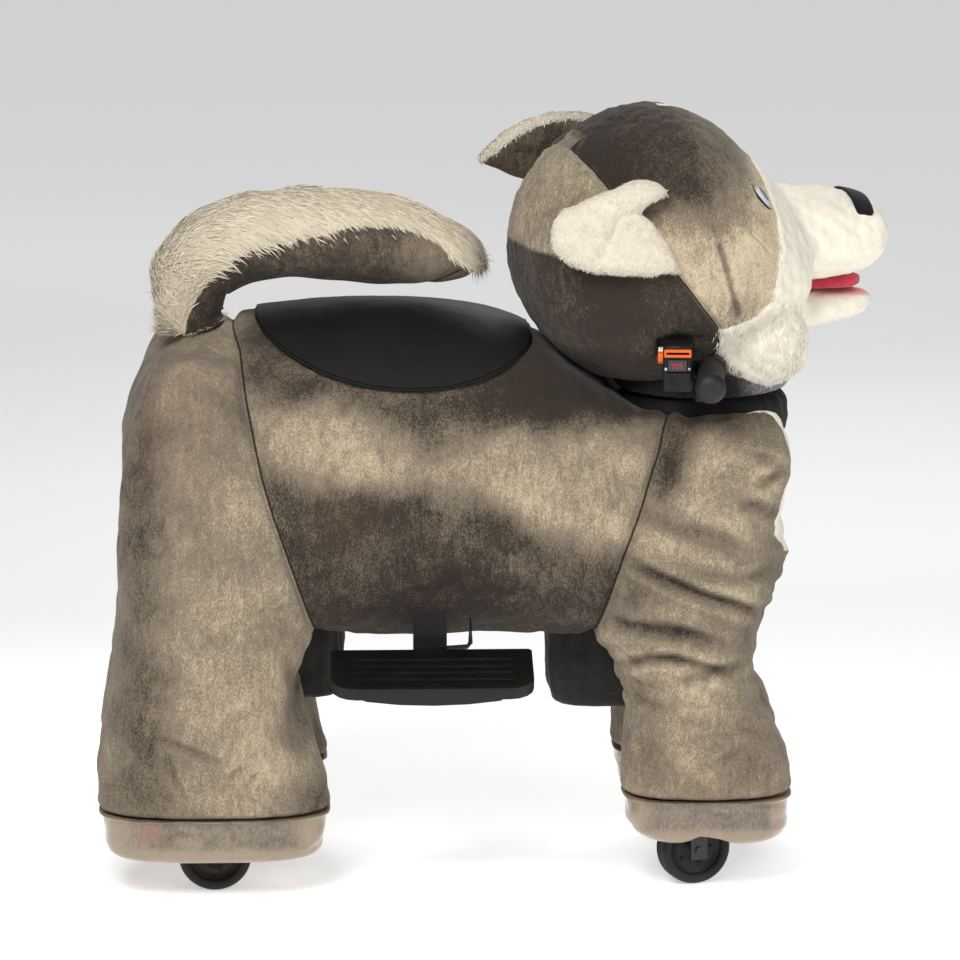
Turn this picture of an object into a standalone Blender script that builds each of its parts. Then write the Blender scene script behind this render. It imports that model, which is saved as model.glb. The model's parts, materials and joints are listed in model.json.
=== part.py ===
"""Coin-operated plush animal ride: a steel chassis on four small wheels inside a sewn animal.

Metres, +Z up. The nose looks towards +X, the ride stands on Z = 0, and Y = 0 is the middle of the chassis.
The steering is stored turned to the left, as the ride is parked.
"""

import math

import bmesh
import bpy
from mathutils import Matrix, Vector

# Chassis
WHEELBASE = 0.605
KINGPIN_X = 0.256
REAR_TRACK = 0.270
FRONT_TRACK = 0.240
WHEEL_RADIUS = 0.045
WHEEL_WIDTH = 0.030
FRAME_TUBE_RADIUS = 0.016
SPINE_RADIUS = 0.019
SPINE_HEIGHT = 0.470
CLEARANCE = 0.0003
SEWN_GAP = 0.0009
RUNNING_CLEARANCE = 0.0004

# Plush body
BELLY_HEIGHT = 0.312
BACK_HEIGHT = 0.704
BODY_WIDTH = 0.340
COVER_WALL = 0.025
REAR_HEM_HEIGHT = 0.105
FRONT_HEM_HEIGHT = 0.118
SHOE_CLEAR_OF_FLOOR = 0.047
FRONT_SHOE_CLEAR_OF_FLOOR = 0.058
SEAT_THICKNESS = 0.010

# Steering
STEER_AT_REST = math.radians(18.0)
COLUMN_RADIUS = 0.0125
COLUMN_TOP = 0.700
HEAD_TUBE_RADIUS = 0.022
HEAD_TUBE_BORE = 0.019
HEAD_TUBE_BOTTOM = 0.300
HEAD_TUBE_TOP = 0.560
BEARING_HEIGHT = 0.010
KINGPIN_RADIUS = 0.010
SLEEVE_WALL = 0.006
STEERING_ARM = 0.050
ARM_THICKNESS = 0.008
LINK_PIN_RADIUS = 0.004
TIE_ROD_THICKNESS = 0.007
CASTER_TRAIL = 0.015
BAR_RADIUS = 0.011
BAR_HEIGHT = 0.651
BAR_OFF_COLUMN = 0.0025
GRIP_RADIUS = 0.0165
GRIP_LENGTH = 0.108

# Drive
AXLE_RADIUS = 0.0075
GEAR_MODULE = 0.0018
GEAR_TEETH = 30
PINION_TEETH = 12
GEAR_WIDTH = 0.010
GEAR_Y = 0.030
MOTOR_RADIUS = 0.026
MOTOR_LENGTH = 0.050
MOTOR_SHAFT_RADIUS = 0.004
BEARING_BLOCK = (0.034, 0.020, 0.054)

# Batteries, controller and footrests
BATTERY = (0.151, 0.098, 0.094)
TRAY_BASE = 0.3440
TRAY_SHEET = 0.0025
FOOTREST_SHARE = 0.43884
FOOTREST_LENGTH = 0.246
FOOTREST_DEPTH = 0.108
FOOTREST_THICKNESS = 0.015
FOOTREST_OFF_SIDE = 0.006
FOOTREST_INNER_HEIGHT = 0.310
FOOTREST_SLOPE = math.radians(13.0)
CROSSBAR_HEIGHT = 0.364
CROSSBAR_RADIUS = 0.010

# Coin unit
COIN_BOX = (0.036, 0.058, 0.058)
COIN_BOX_WALL = 0.003
COIN_BOX_AT = (-0.0400, 0.0, 0.6620)
COIN_BOX_BACK = 0.092
COIN_SLOT = (0.003, 0.028)

SIDES = 10
ROD_SIDES = 12

REAR_AXLE_X = KINGPIN_X - WHEELBASE
FOOTREST_X = REAR_AXLE_X + FOOTREST_SHARE * WHEELBASE
FOOTREST_INNER_Y = BODY_WIDTH / 2 + FOOTREST_OFF_SIDE
SLEEVE_RADIUS = KINGPIN_RADIUS + SLEEVE_WALL
BAR_AHEAD = COLUMN_RADIUS + BAR_RADIUS + BAR_OFF_COLUMN
CROWN_BOTTOM = 2 * WHEEL_RADIUS + 0.006
CROWN_THICKNESS = 0.008


def along(share):
    """X at a share of the wheelbase ahead of the rear axle."""
    return REAR_AXLE_X + share * WHEELBASE


def level(share):
    """Height at a share of the way from the belly to the back."""
    return BELLY_HEIGHT + share * (BACK_HEIGHT - BELLY_HEIGHT)


def leg_height(share, hem):
    """Height on a leg: 0 is its hem, 1 the belly and 2 the back."""
    if share <= 1:
        return hem + share * (BELLY_HEIGHT - hem)
    return level(share - 1)


def start_scene():
    """Clears the scene and makes the two collections."""
    for old in list(bpy.data.objects):
        bpy.data.objects.remove(old)
    made = []
    for name in ("coin_operated_animal_ride", "cutters"):
        collection = bpy.data.collections.new(name)
        bpy.context.scene.collection.children.link(collection)
        made.append(collection)
    return made


PARTS, CUTTERS = start_scene()


def material(name, colour, roughness, metallic=0.0):
    made = bpy.data.materials.new(name)
    made.use_nodes = True
    shader = made.node_tree.nodes["Principled BSDF"]
    shader.inputs["Base Color"].default_value = (*colour, 1.0)
    shader.inputs["Roughness"].default_value = roughness
    shader.inputs["Metallic"].default_value = metallic
    made.diffuse_color = (*colour, 1.0)
    return made


GREY_PLUSH = material("grey_plush", (0.27, 0.24, 0.20), 0.95)
WHITE_PLUSH = material("white_plush", (0.86, 0.82, 0.74), 0.95)
DARK_CLOTH = material("dark_cloth", (0.035, 0.035, 0.035), 0.85)
SHOE_FILM = material("shoe_film", (0.42, 0.38, 0.32), 0.25)
SEAT_VINYL = material("seat_vinyl", (0.02, 0.02, 0.02), 0.55)
BLACK_STEEL = material("black_steel", (0.02, 0.02, 0.02), 0.45, 1.0)
BRIGHT_STEEL = material("bright_steel", (0.62, 0.62, 0.60), 0.30, 1.0)
BLACK_PLASTIC = material("black_plastic", (0.015, 0.015, 0.015), 0.45)
BLACK_RUBBER = material("black_rubber", (0.02, 0.02, 0.02), 0.75)
ORANGE_PLASTIC = material("orange_plastic", (0.85, 0.18, 0.03), 0.35)
TONGUE_RED = material("tongue_red", (0.72, 0.05, 0.10), 0.80)
NOSE_BLACK = material("nose_black", (0.012, 0.010, 0.014), 0.50)
KNIT_GREY = material("knit_grey", (0.42, 0.40, 0.46), 0.90)
EYE_WHITE = material("eye_white", (0.80, 0.82, 0.86), 0.35)
BATTERY_GREY = material("battery_grey", (0.10, 0.11, 0.12), 0.50)
ZINC = material("zinc", (0.55, 0.55, 0.52), 0.45, 1.0)


def link(name, mesh, finish=None, parent=None):
    """A part object, or a cutter where no finish is given."""
    made = bpy.data.objects.new(name, mesh)
    if finish is None:
        CUTTERS.objects.link(made)
        made.hide_render = True
        made.display_type = "WIRE"
    else:
        PARTS.objects.link(made)
        mesh.materials.append(finish)
    if parent is not None:
        made.parent = parent
    return made


def frame_at(name, place, turn=0.0, parent=None):
    """An empty that carries what turns about a vertical axis through place."""
    empty = bpy.data.objects.new(name, None)
    PARTS.objects.link(empty)
    empty.location = place
    empty.rotation_euler = (0.0, 0.0, turn)
    if parent is not None:
        empty.parent = parent
    return empty


def mesh_of(name, bm, smooth=True):
    mesh = bpy.data.meshes.new(name)
    bmesh.ops.recalc_face_normals(bm, faces=bm.faces)
    bm.to_mesh(mesh)
    bm.free()
    if smooth:
        mesh.shade_smooth()
        mesh.set_sharp_from_angle(angle=math.radians(40))
    return mesh


def box(name, low, high, finish=None, parent=None, bevel=0.0):
    """A block between two corners, with its edges rounded where bevel is given."""
    low, high = Vector(low), Vector(high)
    bm = bmesh.new()
    size = Matrix.Diagonal((*(high - low), 1.0))
    bmesh.ops.create_cube(bm, size=1.0, matrix=Matrix.Translation((low + high) / 2) @ size)
    made = link(name, mesh_of(name, bm, False), finish, parent)
    if bevel:
        round_edges(made, bevel)
    return made


def round_edges(target, width, segments=1):
    modifier = target.modifiers.new("rounded", "BEVEL")
    modifier.width = width
    modifier.segments = segments
    modifier.limit_method = "ANGLE"
    return target


def rod(name, start, end, radius, finish=None, parent=None, sides=ROD_SIDES, tip_radius=None):
    """A round bar between two points, tapering to tip_radius where that is given."""
    start, end = Vector(start), Vector(end)
    run = end - start
    turn = Vector((0, 0, 1)).rotation_difference(run).to_matrix().to_4x4()
    bm = bmesh.new()
    bmesh.ops.create_cone(
        bm, cap_ends=True, segments=sides, radius1=radius, depth=run.length,
        radius2=radius if tip_radius is None else tip_radius,
        matrix=Matrix.Translation((start + end) / 2) @ turn,
    )
    return link(name, mesh_of(name, bm), finish, parent)


def bore_radius(radius, clearance=RUNNING_CLEARANCE, sides=ROD_SIDES):
    """Radius of a many-sided bore whose flats clear a pin of that radius."""
    return (radius + clearance) / math.cos(math.pi / sides)


def boolean(target, other, operation):
    modifier = target.modifiers.new(operation.lower(), "BOOLEAN")
    modifier.operation = operation
    modifier.object = other
    modifier.solver = "EXACT"
    return target


def carve(target, *cutters):
    for cutter in cutters:
        boolean(target, cutter, "DIFFERENCE")
    return target


def weld(target, *others):
    for other in others:
        boolean(target, other, "UNION")
    return target


def smooth_cage(target, levels=1):
    modifier = target.modifiers.new("smooth", "SUBSURF")
    modifier.levels = levels
    modifier.render_levels = levels
    return target


def cage_growth(sides):
    """How much a cage ring is widened so that its smoothed surface has the wanted size."""
    return 3 / (2 + math.cos(2 * math.pi / sides))


def squared(value, power):
    """A sine or cosine drawn out towards a rounded rectangle: power 2 keeps the circle."""
    return math.copysign(abs(value) ** (2 / power), value)


def oval(half_u, half_v, power_up=2.0, power_down=None, sides=SIDES):
    """Points (u, v) of a rounded section; power_down shapes its lower half."""
    power_down = power_up if power_down is None else power_down
    grow = cage_growth(sides)
    points = []
    for step in range(sides):
        turn = 2 * math.pi * step / sides
        power = power_up if math.sin(turn) >= 0 else power_down
        u = grow * half_u * squared(math.cos(turn), power)
        v = grow * half_v * squared(math.sin(turn), power)
        points.append((u, v))
    return points


def loft(name, rings, finish=None, parent=None, levels=1):
    """A closed skin through rings of points, with flat ends, smoothed as sewn cloth over padding is."""
    bm = bmesh.new()
    rows = [[bm.verts.new(point) for point in ring] for ring in rings]
    for near, far in zip(rows, rows[1:]):
        for i, _ in enumerate(near):
            j = (i + 1) % len(near)
            bm.faces.new((near[i], near[j], far[j], far[i]))
    bm.faces.new(rows[0][::-1])
    bm.faces.new(rows[-1])
    made = link(name, mesh_of(name, bm), finish, parent)
    return smooth_cage(made, levels) if levels else made


# Torso sections: share of the wheelbase, lower and upper height shares, share of the half width, and
# how square the upper half is.
TORSO = (
    (-0.172, 0.44, 0.62, 0.38, 2.2),
    (-0.142, 0.22, 0.81, 0.78, 2.2),
    (-0.060, 0.07, 0.93, 0.96, 2.2),
    (0.150, 0.00, 0.995, 1.00, 2.2),
    (0.410, 0.00, 1.005, 1.00, 2.2),
    (0.640, 0.00, 0.955, 0.98, 2.5),
    (0.780, 0.00, 0.732, 0.96, 4.0),
    (0.920, 0.00, 0.695, 0.92, 4.2),
    (1.070, 0.02, 0.675, 0.86, 3.0),
    (1.150, 0.08, 0.630, 0.72, 2.4),
    (1.192, 0.22, 0.530, 0.44, 2.2),
)


def torso_form(name, grow, finish=None, sides=SIDES, levels=1):
    """The barrel of the animal, grown by a thickness all round, or shrunk where that is negative."""
    length = along(TORSO[-1][0]) - along(TORSO[0][0])
    middle_x = (along(TORSO[-1][0]) + along(TORSO[0][0])) / 2
    rings = []
    for share, low, high, width, squareness in TORSO:
        middle = (level(low) + level(high)) / 2
        half_height = (level(high) - level(low)) / 2 + grow
        half_width = width * BODY_WIDTH / 2 + grow
        x = middle_x + (along(share) - middle_x) * (length + 2 * grow) / length
        section = oval(half_width, half_height, squareness, 3.0, sides)
        rings.append([(x, u, middle + v) for u, v in section])
    return loft(name, rings, finish, None, levels)


# How much wider the last ring of a cage is drawn, so that smoothing leaves the hem at its size.
HEM_FLARE = 1.10
# Leg sections: height share, reach behind and ahead of the leg's axis, reach outwards and inwards.
REAR_LEG = (
    (0.00, 0.142 * HEM_FLARE, 0.142 * HEM_FLARE, 0.081 * HEM_FLARE, 0.081 * HEM_FLARE),
    (0.006, 0.142, 0.142, 0.081, 0.081),
    (0.36, 0.141, 0.124, 0.077, 0.083),
    (0.80, 0.130, 0.102, 0.071, 0.088),
    (1.10, 0.119, 0.126, 0.070, 0.100),
    (1.34, 0.114, 0.126, 0.068, 0.105),
    (1.62, 0.100, 0.082, 0.052, 0.103),
    (1.88, 0.064, 0.032, 0.010, 0.090),
)
FRONT_LEG = (
    (0.00, 0.103 * HEM_FLARE, 0.106 * HEM_FLARE, 0.077 * HEM_FLARE, 0.076 * HEM_FLARE),
    (0.006, 0.103, 0.106, 0.077, 0.076),
    (0.26, 0.105, 0.104, 0.074, 0.075),
    (0.48, 0.097, 0.076, 0.063, 0.070),
    (0.74, 0.098, 0.061, 0.062, 0.075),
    (1.00, 0.136, 0.074, 0.061, 0.083),
    (1.20, 0.147, 0.099, 0.059, 0.092),
    (1.54, 0.092, 0.112, 0.046, 0.095),
    (1.705, 0.052, 0.088, 0.014, 0.080),
)


def leg_form(name, sections, axis_x, track, hem, side, grow, finish=None):
    """A padded leg; side is -1 on the right and +1 on the left."""
    rings = []
    for share, behind, ahead, outer, inner in sections:
        x = axis_x + (ahead - behind) / 2
        y = side * (track / 2 + (outer - inner) / 2)
        section = oval((ahead + behind) / 2 + grow, (outer + inner) / 2 + grow, 2.6, sides=8)
        z = leg_height(share, hem)
        if share == sections[0][0]:
            z -= grow
        if share == sections[-1][0]:
            z += grow
        rings.append([(x + u, y + v, z) for u, v in section])
    return loft(name, rings, finish)


def shoe_form(name, axis_x, track, side, sizes, finish=None):
    """The padded foot under a leg: (height, half length, half width, distance ahead) from the sole up."""
    rings = []
    for height, half_length, half_width, ahead in sizes:
        section = oval(half_length, half_width, 3.0, sides=8)
        rings.append([(axis_x + ahead + u, side * track / 2 + v, height) for u, v in section])
    return loft(name, rings, finish)


def swept(name, path, sizes, up=(0, 0, 1), finish=None, parent=None, sides=8, levels=1, power=2.0):
    """A skin along a path; sizes gives (half width across, half height) at each of its points."""
    path = [Vector(point) for point in path]
    rings = []
    for i, point in enumerate(path):
        ahead = (path[min(i + 1, len(path) - 1)] - path[max(i - 1, 0)]).normalized()
        side = ahead.cross(Vector(up)).normalized()
        top = side.cross(ahead)
        rings.append([point + u * side + v * top for u, v in oval(*sizes[i], power, sides=sides)])
    return loft(name, rings, finish, parent, levels)


def pipe(name, path, radius, finish=None, parent=None, sides=ROD_SIDES):
    """A bent round bar."""
    grow = 1 / cage_growth(sides)
    sizes = [(radius * grow, radius * grow)] * len(path)
    return swept(name, path, sizes, finish=finish, parent=parent, sides=sides, levels=0)


def turned(name, profile, place, finish=None, parent=None, sides=32):
    """A solid turned about the vertical axis through place, from (radius, height) points."""
    bm = bmesh.new()
    place = Vector(place)
    rows = []
    for radius, height in profile:
        row = []
        for step in range(sides):
            turn = 2 * math.pi * step / sides
            offset = Vector((radius * math.cos(turn), radius * math.sin(turn), height))
            row.append(bm.verts.new(place + offset))
        rows.append(row)
    for near, far in zip(rows, rows[1:] + rows[:1]):
        for i, _ in enumerate(near):
            j = (i + 1) % sides
            bm.faces.new((near[i], near[j], far[j], far[i]))
    return link(name, mesh_of(name, bm), finish, parent)


def wheel(name, place, bore, finish):
    """A wheel about the Y axis through place: rounded tyre, dished disc, hub and bore."""
    half = WHEEL_WIDTH / 2
    profile = (
        (bore, -half * 0.95), (WHEEL_RADIUS * 0.40, -half * 0.95), (WHEEL_RADIUS * 0.64, -half * 0.62),
        (WHEEL_RADIUS * 0.76, -half), (WHEEL_RADIUS, -half * 0.62), (WHEEL_RADIUS, half * 0.62),
        (WHEEL_RADIUS * 0.76, half), (WHEEL_RADIUS * 0.64, half * 0.62),
        (WHEEL_RADIUS * 0.40, half * 0.95),
        (bore, half * 0.95),
    )
    made = turned(name, profile, (0, 0, 0), finish, sides=16)
    made.data.transform(Matrix.Translation(place) @ Matrix.Rotation(math.radians(-90), 4, "X"))
    return made


def gear(name, teeth, place, width, bore, finish, phase=0.0):
    """A spur gear about the Y axis; phase turns it by a share of one tooth."""
    pitch_radius = GEAR_MODULE * teeth / 2
    outline = []
    for tooth in range(teeth):
        for radius, share in (
            (pitch_radius - 1.25 * GEAR_MODULE, -0.36), (pitch_radius + 0.92 * GEAR_MODULE, -0.10),
            (pitch_radius + 0.92 * GEAR_MODULE, 0.10), (pitch_radius - 1.25 * GEAR_MODULE, 0.36),
        ):
            turn = 2 * math.pi * (tooth + share + phase) / teeth
            outline.append((radius * math.cos(turn), radius * math.sin(turn)))
    bm = bmesh.new()
    low = [bm.verts.new((x, -width / 2, z)) for x, z in outline]
    high = [bm.verts.new((x, width / 2, z)) for x, z in outline]
    bm.faces.new(low)
    bm.faces.new(high[::-1])
    for i, _ in enumerate(outline):
        j = (i + 1) % len(outline)
        bm.faces.new((low[i], low[j], high[j], high[i]))
    bmesh.ops.translate(bm, vec=place, verts=bm.verts)
    made = link(name, mesh_of(name, bm, False), finish)
    if bore:
        place = Vector(place)
        reach = Vector((0, width, 0))
        carve(made, rod(name + "_bore", place - reach, place + reach, bore))
    return made


REAR_AXLE = Vector((REAR_AXLE_X, 0, WHEEL_RADIUS))
KINGPIN = Vector((KINGPIN_X, 0, 0))
SIDE_NAMES = ((-1, "right"), (1, "left"))
REAR_LEG_Y = REAR_TRACK / 2 - WHEEL_WIDTH / 2 - BEARING_BLOCK[1] / 2 - 0.010
ARM_HEIGHT = 0.262
LINK_HEIGHT = ARM_HEIGHT + ARM_THICKNESS + 0.0004
ARM_EYE = LINK_PIN_RADIUS + 0.006
HUB_RADIUS = KINGPIN_RADIUS + 0.006
STRUT = (HUB_RADIUS + 0.006, HUB_RADIUS + 0.014)
FRONT_CROSS_HEIGHT = 0.385
FRONT_CROSS_RADIUS = 0.014
CASTER_REACH = math.hypot(WHEEL_RADIUS + CASTER_TRAIL, WHEEL_WIDTH / 2 + 0.006)
PINION_CENTRE = WHEEL_RADIUS + GEAR_MODULE * (GEAR_TEETH + PINION_TEETH) / 2
POST_Y = BODY_WIDTH / 2 - 0.042


def at(side, x, y, z):
    return Vector((x, side * y, z))


def span(side, low, high):
    """Corners of a block given for the left side, mirrored to the side asked for."""
    ys = sorted((side * low[1], side * high[1]))
    return (low[0], ys[0], low[2]), (high[0], ys[1], high[2])


def build_frame():
    """Spine, head tube and cross tubes, and the leg frames."""
    made = rod(
        "main_frame", (REAR_AXLE_X, 0, SPINE_HEIGHT), (KINGPIN_X, 0, SPINE_HEIGHT), SPINE_RADIUS,
        BLACK_STEEL,
    )
    head_tube = rod(
        "head_tube", KINGPIN + Vector((0, 0, HEAD_TUBE_BOTTOM)), KINGPIN + Vector((0, 0, HEAD_TUBE_TOP)),
        HEAD_TUBE_RADIUS, sides=12,
    )
    rear_cross = rod(
        "rear_cross", (REAR_AXLE_X, -REAR_LEG_Y - 0.018, SPINE_HEIGHT),
        (REAR_AXLE_X, REAR_LEG_Y + 0.018, SPINE_HEIGHT), 0.0165,
    )
    reach = FRONT_TRACK / 2 + 0.014
    front_cross = rod(
        "front_cross", (KINGPIN_X, -reach, FRONT_CROSS_HEIGHT), (KINGPIN_X, reach, FRONT_CROSS_HEIGHT),
        FRONT_CROSS_RADIUS,
    )
    hanger = box(
        "hanger", (FOOTREST_X - 0.010, -0.008, CROSSBAR_HEIGHT),
        (FOOTREST_X + 0.010, 0.008, SPINE_HEIGHT),
    )
    foot_bar = rod(
        "foot_bar", (FOOTREST_X, -POST_Y + CLEARANCE, CROSSBAR_HEIGHT),
        (FOOTREST_X, POST_Y - CLEARANCE, CROSSBAR_HEIGHT), CROSSBAR_RADIUS,
    )
    weld(made, head_tube, rear_cross, front_cross, hanger, foot_bar)
    carve(made, rod(
        "column_bore", KINGPIN + Vector((0, 0, 0.2)), KINGPIN + Vector((0, 0, 0.7)), HEAD_TUBE_BORE,
        sides=12,
    ))
    bearing = rod(
        "upper_bearing", KINGPIN + Vector((0, 0, HEAD_TUBE_TOP - BEARING_HEIGHT)),
        KINGPIN + Vector((0, 0, HEAD_TUBE_TOP + 0.008)), HEAD_TUBE_BORE - CLEARANCE, BRIGHT_STEEL,
        sides=12,
    )
    flange = rod(
        "flange", KINGPIN + Vector((0, 0, HEAD_TUBE_TOP + CLEARANCE)),
        KINGPIN + Vector((0, 0, HEAD_TUBE_TOP + 0.008)), HEAD_TUBE_RADIUS, sides=12,
    )
    weld(bearing, flange)
    carve(bearing, rod(
        "bearing_bore", KINGPIN + Vector((0, 0, 0.5)), KINGPIN + Vector((0, 0, 0.7)),
        bore_radius(COLUMN_RADIUS, sides=12), sides=12,
    ))
    for side, word in SIDE_NAMES:
        build_rear_leg_frame(side, word)
        build_front_leg_frame(side, word)


def build_rear_leg_frame(side, word):
    """A tube down to a bearing block for the rear axle."""
    length, width, height = BEARING_BLOCK
    made = rod(
        "rear_leg_frame_" + word, at(side, REAR_AXLE_X, REAR_LEG_Y, WHEEL_RADIUS + 0.016),
        at(side, REAR_AXLE_X, REAR_LEG_Y, SPINE_HEIGHT - 0.0168), FRAME_TUBE_RADIUS, BLACK_STEEL,
    )
    block = box("axle_block_" + word, *span(
        side, (REAR_AXLE_X - length / 2, REAR_LEG_Y - width / 2, WHEEL_RADIUS - height / 2),
        (REAR_AXLE_X + length / 2, REAR_LEG_Y + width / 2, WHEEL_RADIUS + height / 2),
    ))
    weld(made, block)
    carve(made, rod(
        "axle_bore_" + word, at(side, REAR_AXLE_X, 0.05, WHEEL_RADIUS),
        at(side, REAR_AXLE_X, 0.2, WHEEL_RADIUS),
        bore_radius(AXLE_RADIUS),
    ))


def build_front_leg_frame(side, word):
    """A flat strut ahead of the kingpin, with a sleeve above and one below the steering arm."""
    y = FRONT_TRACK / 2
    top = FRONT_CROSS_HEIGHT - FRONT_CROSS_RADIUS - CLEARANCE
    made = box("front_leg_frame_" + word, *span(
        side, (KINGPIN_X + STRUT[0], y - 0.014, CROWN_BOTTOM + 0.032),
        (KINGPIN_X + STRUT[1], y + 0.014, top),
    ), BLACK_STEEL)
    weld(made, box("strut_head_" + word, *span(
        side, (KINGPIN_X - 0.014, y - 0.014, top - 0.008), (KINGPIN_X + STRUT[1], y + 0.014, top),
    )))
    for low, high, place in ((0.290, 0.345, "upper"), (CROWN_BOTTOM + 0.036, 0.200, "lower")):
        weld(made, rod(
            "sleeve_%s_%s" % (place, word), at(side, KINGPIN_X, y, low), at(side, KINGPIN_X, y, high),
            SLEEVE_RADIUS,
        ))
        weld(made, box("web_%s_%s" % (place, word), *span(
            side, (KINGPIN_X + 0.013, y - 0.006, low + 0.002),
            (KINGPIN_X + STRUT[0] + 0.002, y + 0.006, high - 0.002),
        )))
    carve(made, rod(
        "kingpin_bore_" + word, at(side, KINGPIN_X, y, 0.09), at(side, KINGPIN_X, y, 0.354),
        bore_radius(KINGPIN_RADIUS),
    ))


def build_power():
    """Battery, its tray, the controller, the gear motor and its mount."""
    length, width, height = BATTERY
    front = FOOTREST_X + 0.022
    base_top = TRAY_BASE + TRAY_SHEET
    half_width = width / 2 + 0.007
    back = FOOTREST_X - 0.130
    end = front + length + 0.006
    tray = box("battery_tray", (back, -half_width, TRAY_BASE), (end, half_width, base_top), ZINC)
    lip = TRAY_SHEET * 0.4
    for x in (back, end - TRAY_SHEET):
        weld(tray, box(
            "tray_end_%d" % (x * 1000), (x + 0.0001, lip - half_width, TRAY_BASE + lip),
            (x + TRAY_SHEET - 0.0001, half_width - lip, TRAY_BASE + 0.030),
        ))
    top = SPINE_HEIGHT + SPINE_RADIUS + CLEARANCE
    outer, inner = half_width - 0.0002, half_width - 0.0002 - TRAY_SHEET
    hoop = (
        (-outer, TRAY_BASE + lip), (-inner, TRAY_BASE + lip), (-inner, top), (inner, top),
        (inner, TRAY_BASE + lip), (outer, TRAY_BASE + lip), (outer, top + TRAY_SHEET),
        (-outer, top + TRAY_SHEET),
    )
    for x in (FOOTREST_X - 0.050, front + length * 0.5):
        weld(tray, prism("strap_%d" % (x * 1000), hoop, x - 0.010, x + 0.010, "X"))
    battery = box(
        "battery", (front, -width / 2, base_top + CLEARANCE),
        (front + length, width / 2, base_top + CLEARANCE + height * 0.94), BATTERY_GREY, bevel=0.002,
    )
    for y in (-0.030, 0.030):
        weld(battery, rod(
            "terminal_%d" % (y * 1000), (front + 0.014, y, base_top + height * 0.5),
            (front + 0.014, y, base_top + height + 0.006), 0.006, sides=12,
        ))
    controller = box(
        "controller", (FOOTREST_X - 0.118, -0.036, base_top + CLEARANCE),
        (FOOTREST_X - 0.024, 0.036, base_top + 0.034), BLACK_PLASTIC, bevel=0.002,
    )
    for step in range(6):
        x = FOOTREST_X - 0.112 + step * 0.014
        weld(
            controller,
            box("fin_%d" % step, (x, -0.030, base_top + 0.03), (x + 0.004, 0.030, base_top + 0.041)),
        )
    mount_y = GEAR_Y - GEAR_WIDTH / 2 - 0.009
    cross_z = 0.150
    mount = rod(
        "motor_mount", (REAR_AXLE_X, -REAR_LEG_Y + FRAME_TUBE_RADIUS + CLEARANCE, cross_z),
        (REAR_AXLE_X, REAR_LEG_Y - FRAME_TUBE_RADIUS - CLEARANCE, cross_z), 0.010, BLACK_STEEL,
    )
    weld(mount, box(
        "mount_plate", (REAR_AXLE_X - 0.030, mount_y, WHEEL_RADIUS + 0.012),
        (REAR_AXLE_X + 0.030, mount_y + 0.004, cross_z + 0.004),
    ))
    shaft_bore = bore_radius(MOTOR_SHAFT_RADIUS)
    carve(mount, rod(
        "mount_hole", (REAR_AXLE_X, mount_y - 0.01, PINION_CENTRE),
        (REAR_AXLE_X, mount_y + 0.01, PINION_CENTRE),
        shaft_bore,
    ))
    motor_y = mount_y - CLEARANCE
    motor = rod(
        "gear_motor", (REAR_AXLE_X, motor_y, PINION_CENTRE),
        (REAR_AXLE_X, motor_y - MOTOR_LENGTH, PINION_CENTRE),
        MOTOR_RADIUS, ZINC, sides=18,
    )
    weld(motor, rod(
        "motor_cap", (REAR_AXLE_X, motor_y - MOTOR_LENGTH + 0.01, PINION_CENTRE),
        (REAR_AXLE_X, motor_y - MOTOR_LENGTH - 0.008, PINION_CENTRE), 0.012, sides=20,
    ))
    carve(motor, rod(
        "motor_hole", (REAR_AXLE_X, motor_y + 0.01, PINION_CENTRE),
        (REAR_AXLE_X, motor_y - 0.014, PINION_CENTRE),
        shaft_bore,
    ))
    pinion = gear(
        "motor_pinion", PINION_TEETH, (REAR_AXLE_X, GEAR_Y, PINION_CENTRE), GEAR_WIDTH, 0, BRIGHT_STEEL,
        phase=0.5 - PINION_TEETH * 0.25 % 1,
    )
    weld(pinion, rod(
        "motor_shaft", (REAR_AXLE_X, GEAR_Y + 0.004, PINION_CENTRE),
        (REAR_AXLE_X, motor_y - 0.010, PINION_CENTRE),
        MOTOR_SHAFT_RADIUS,
    ))


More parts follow.
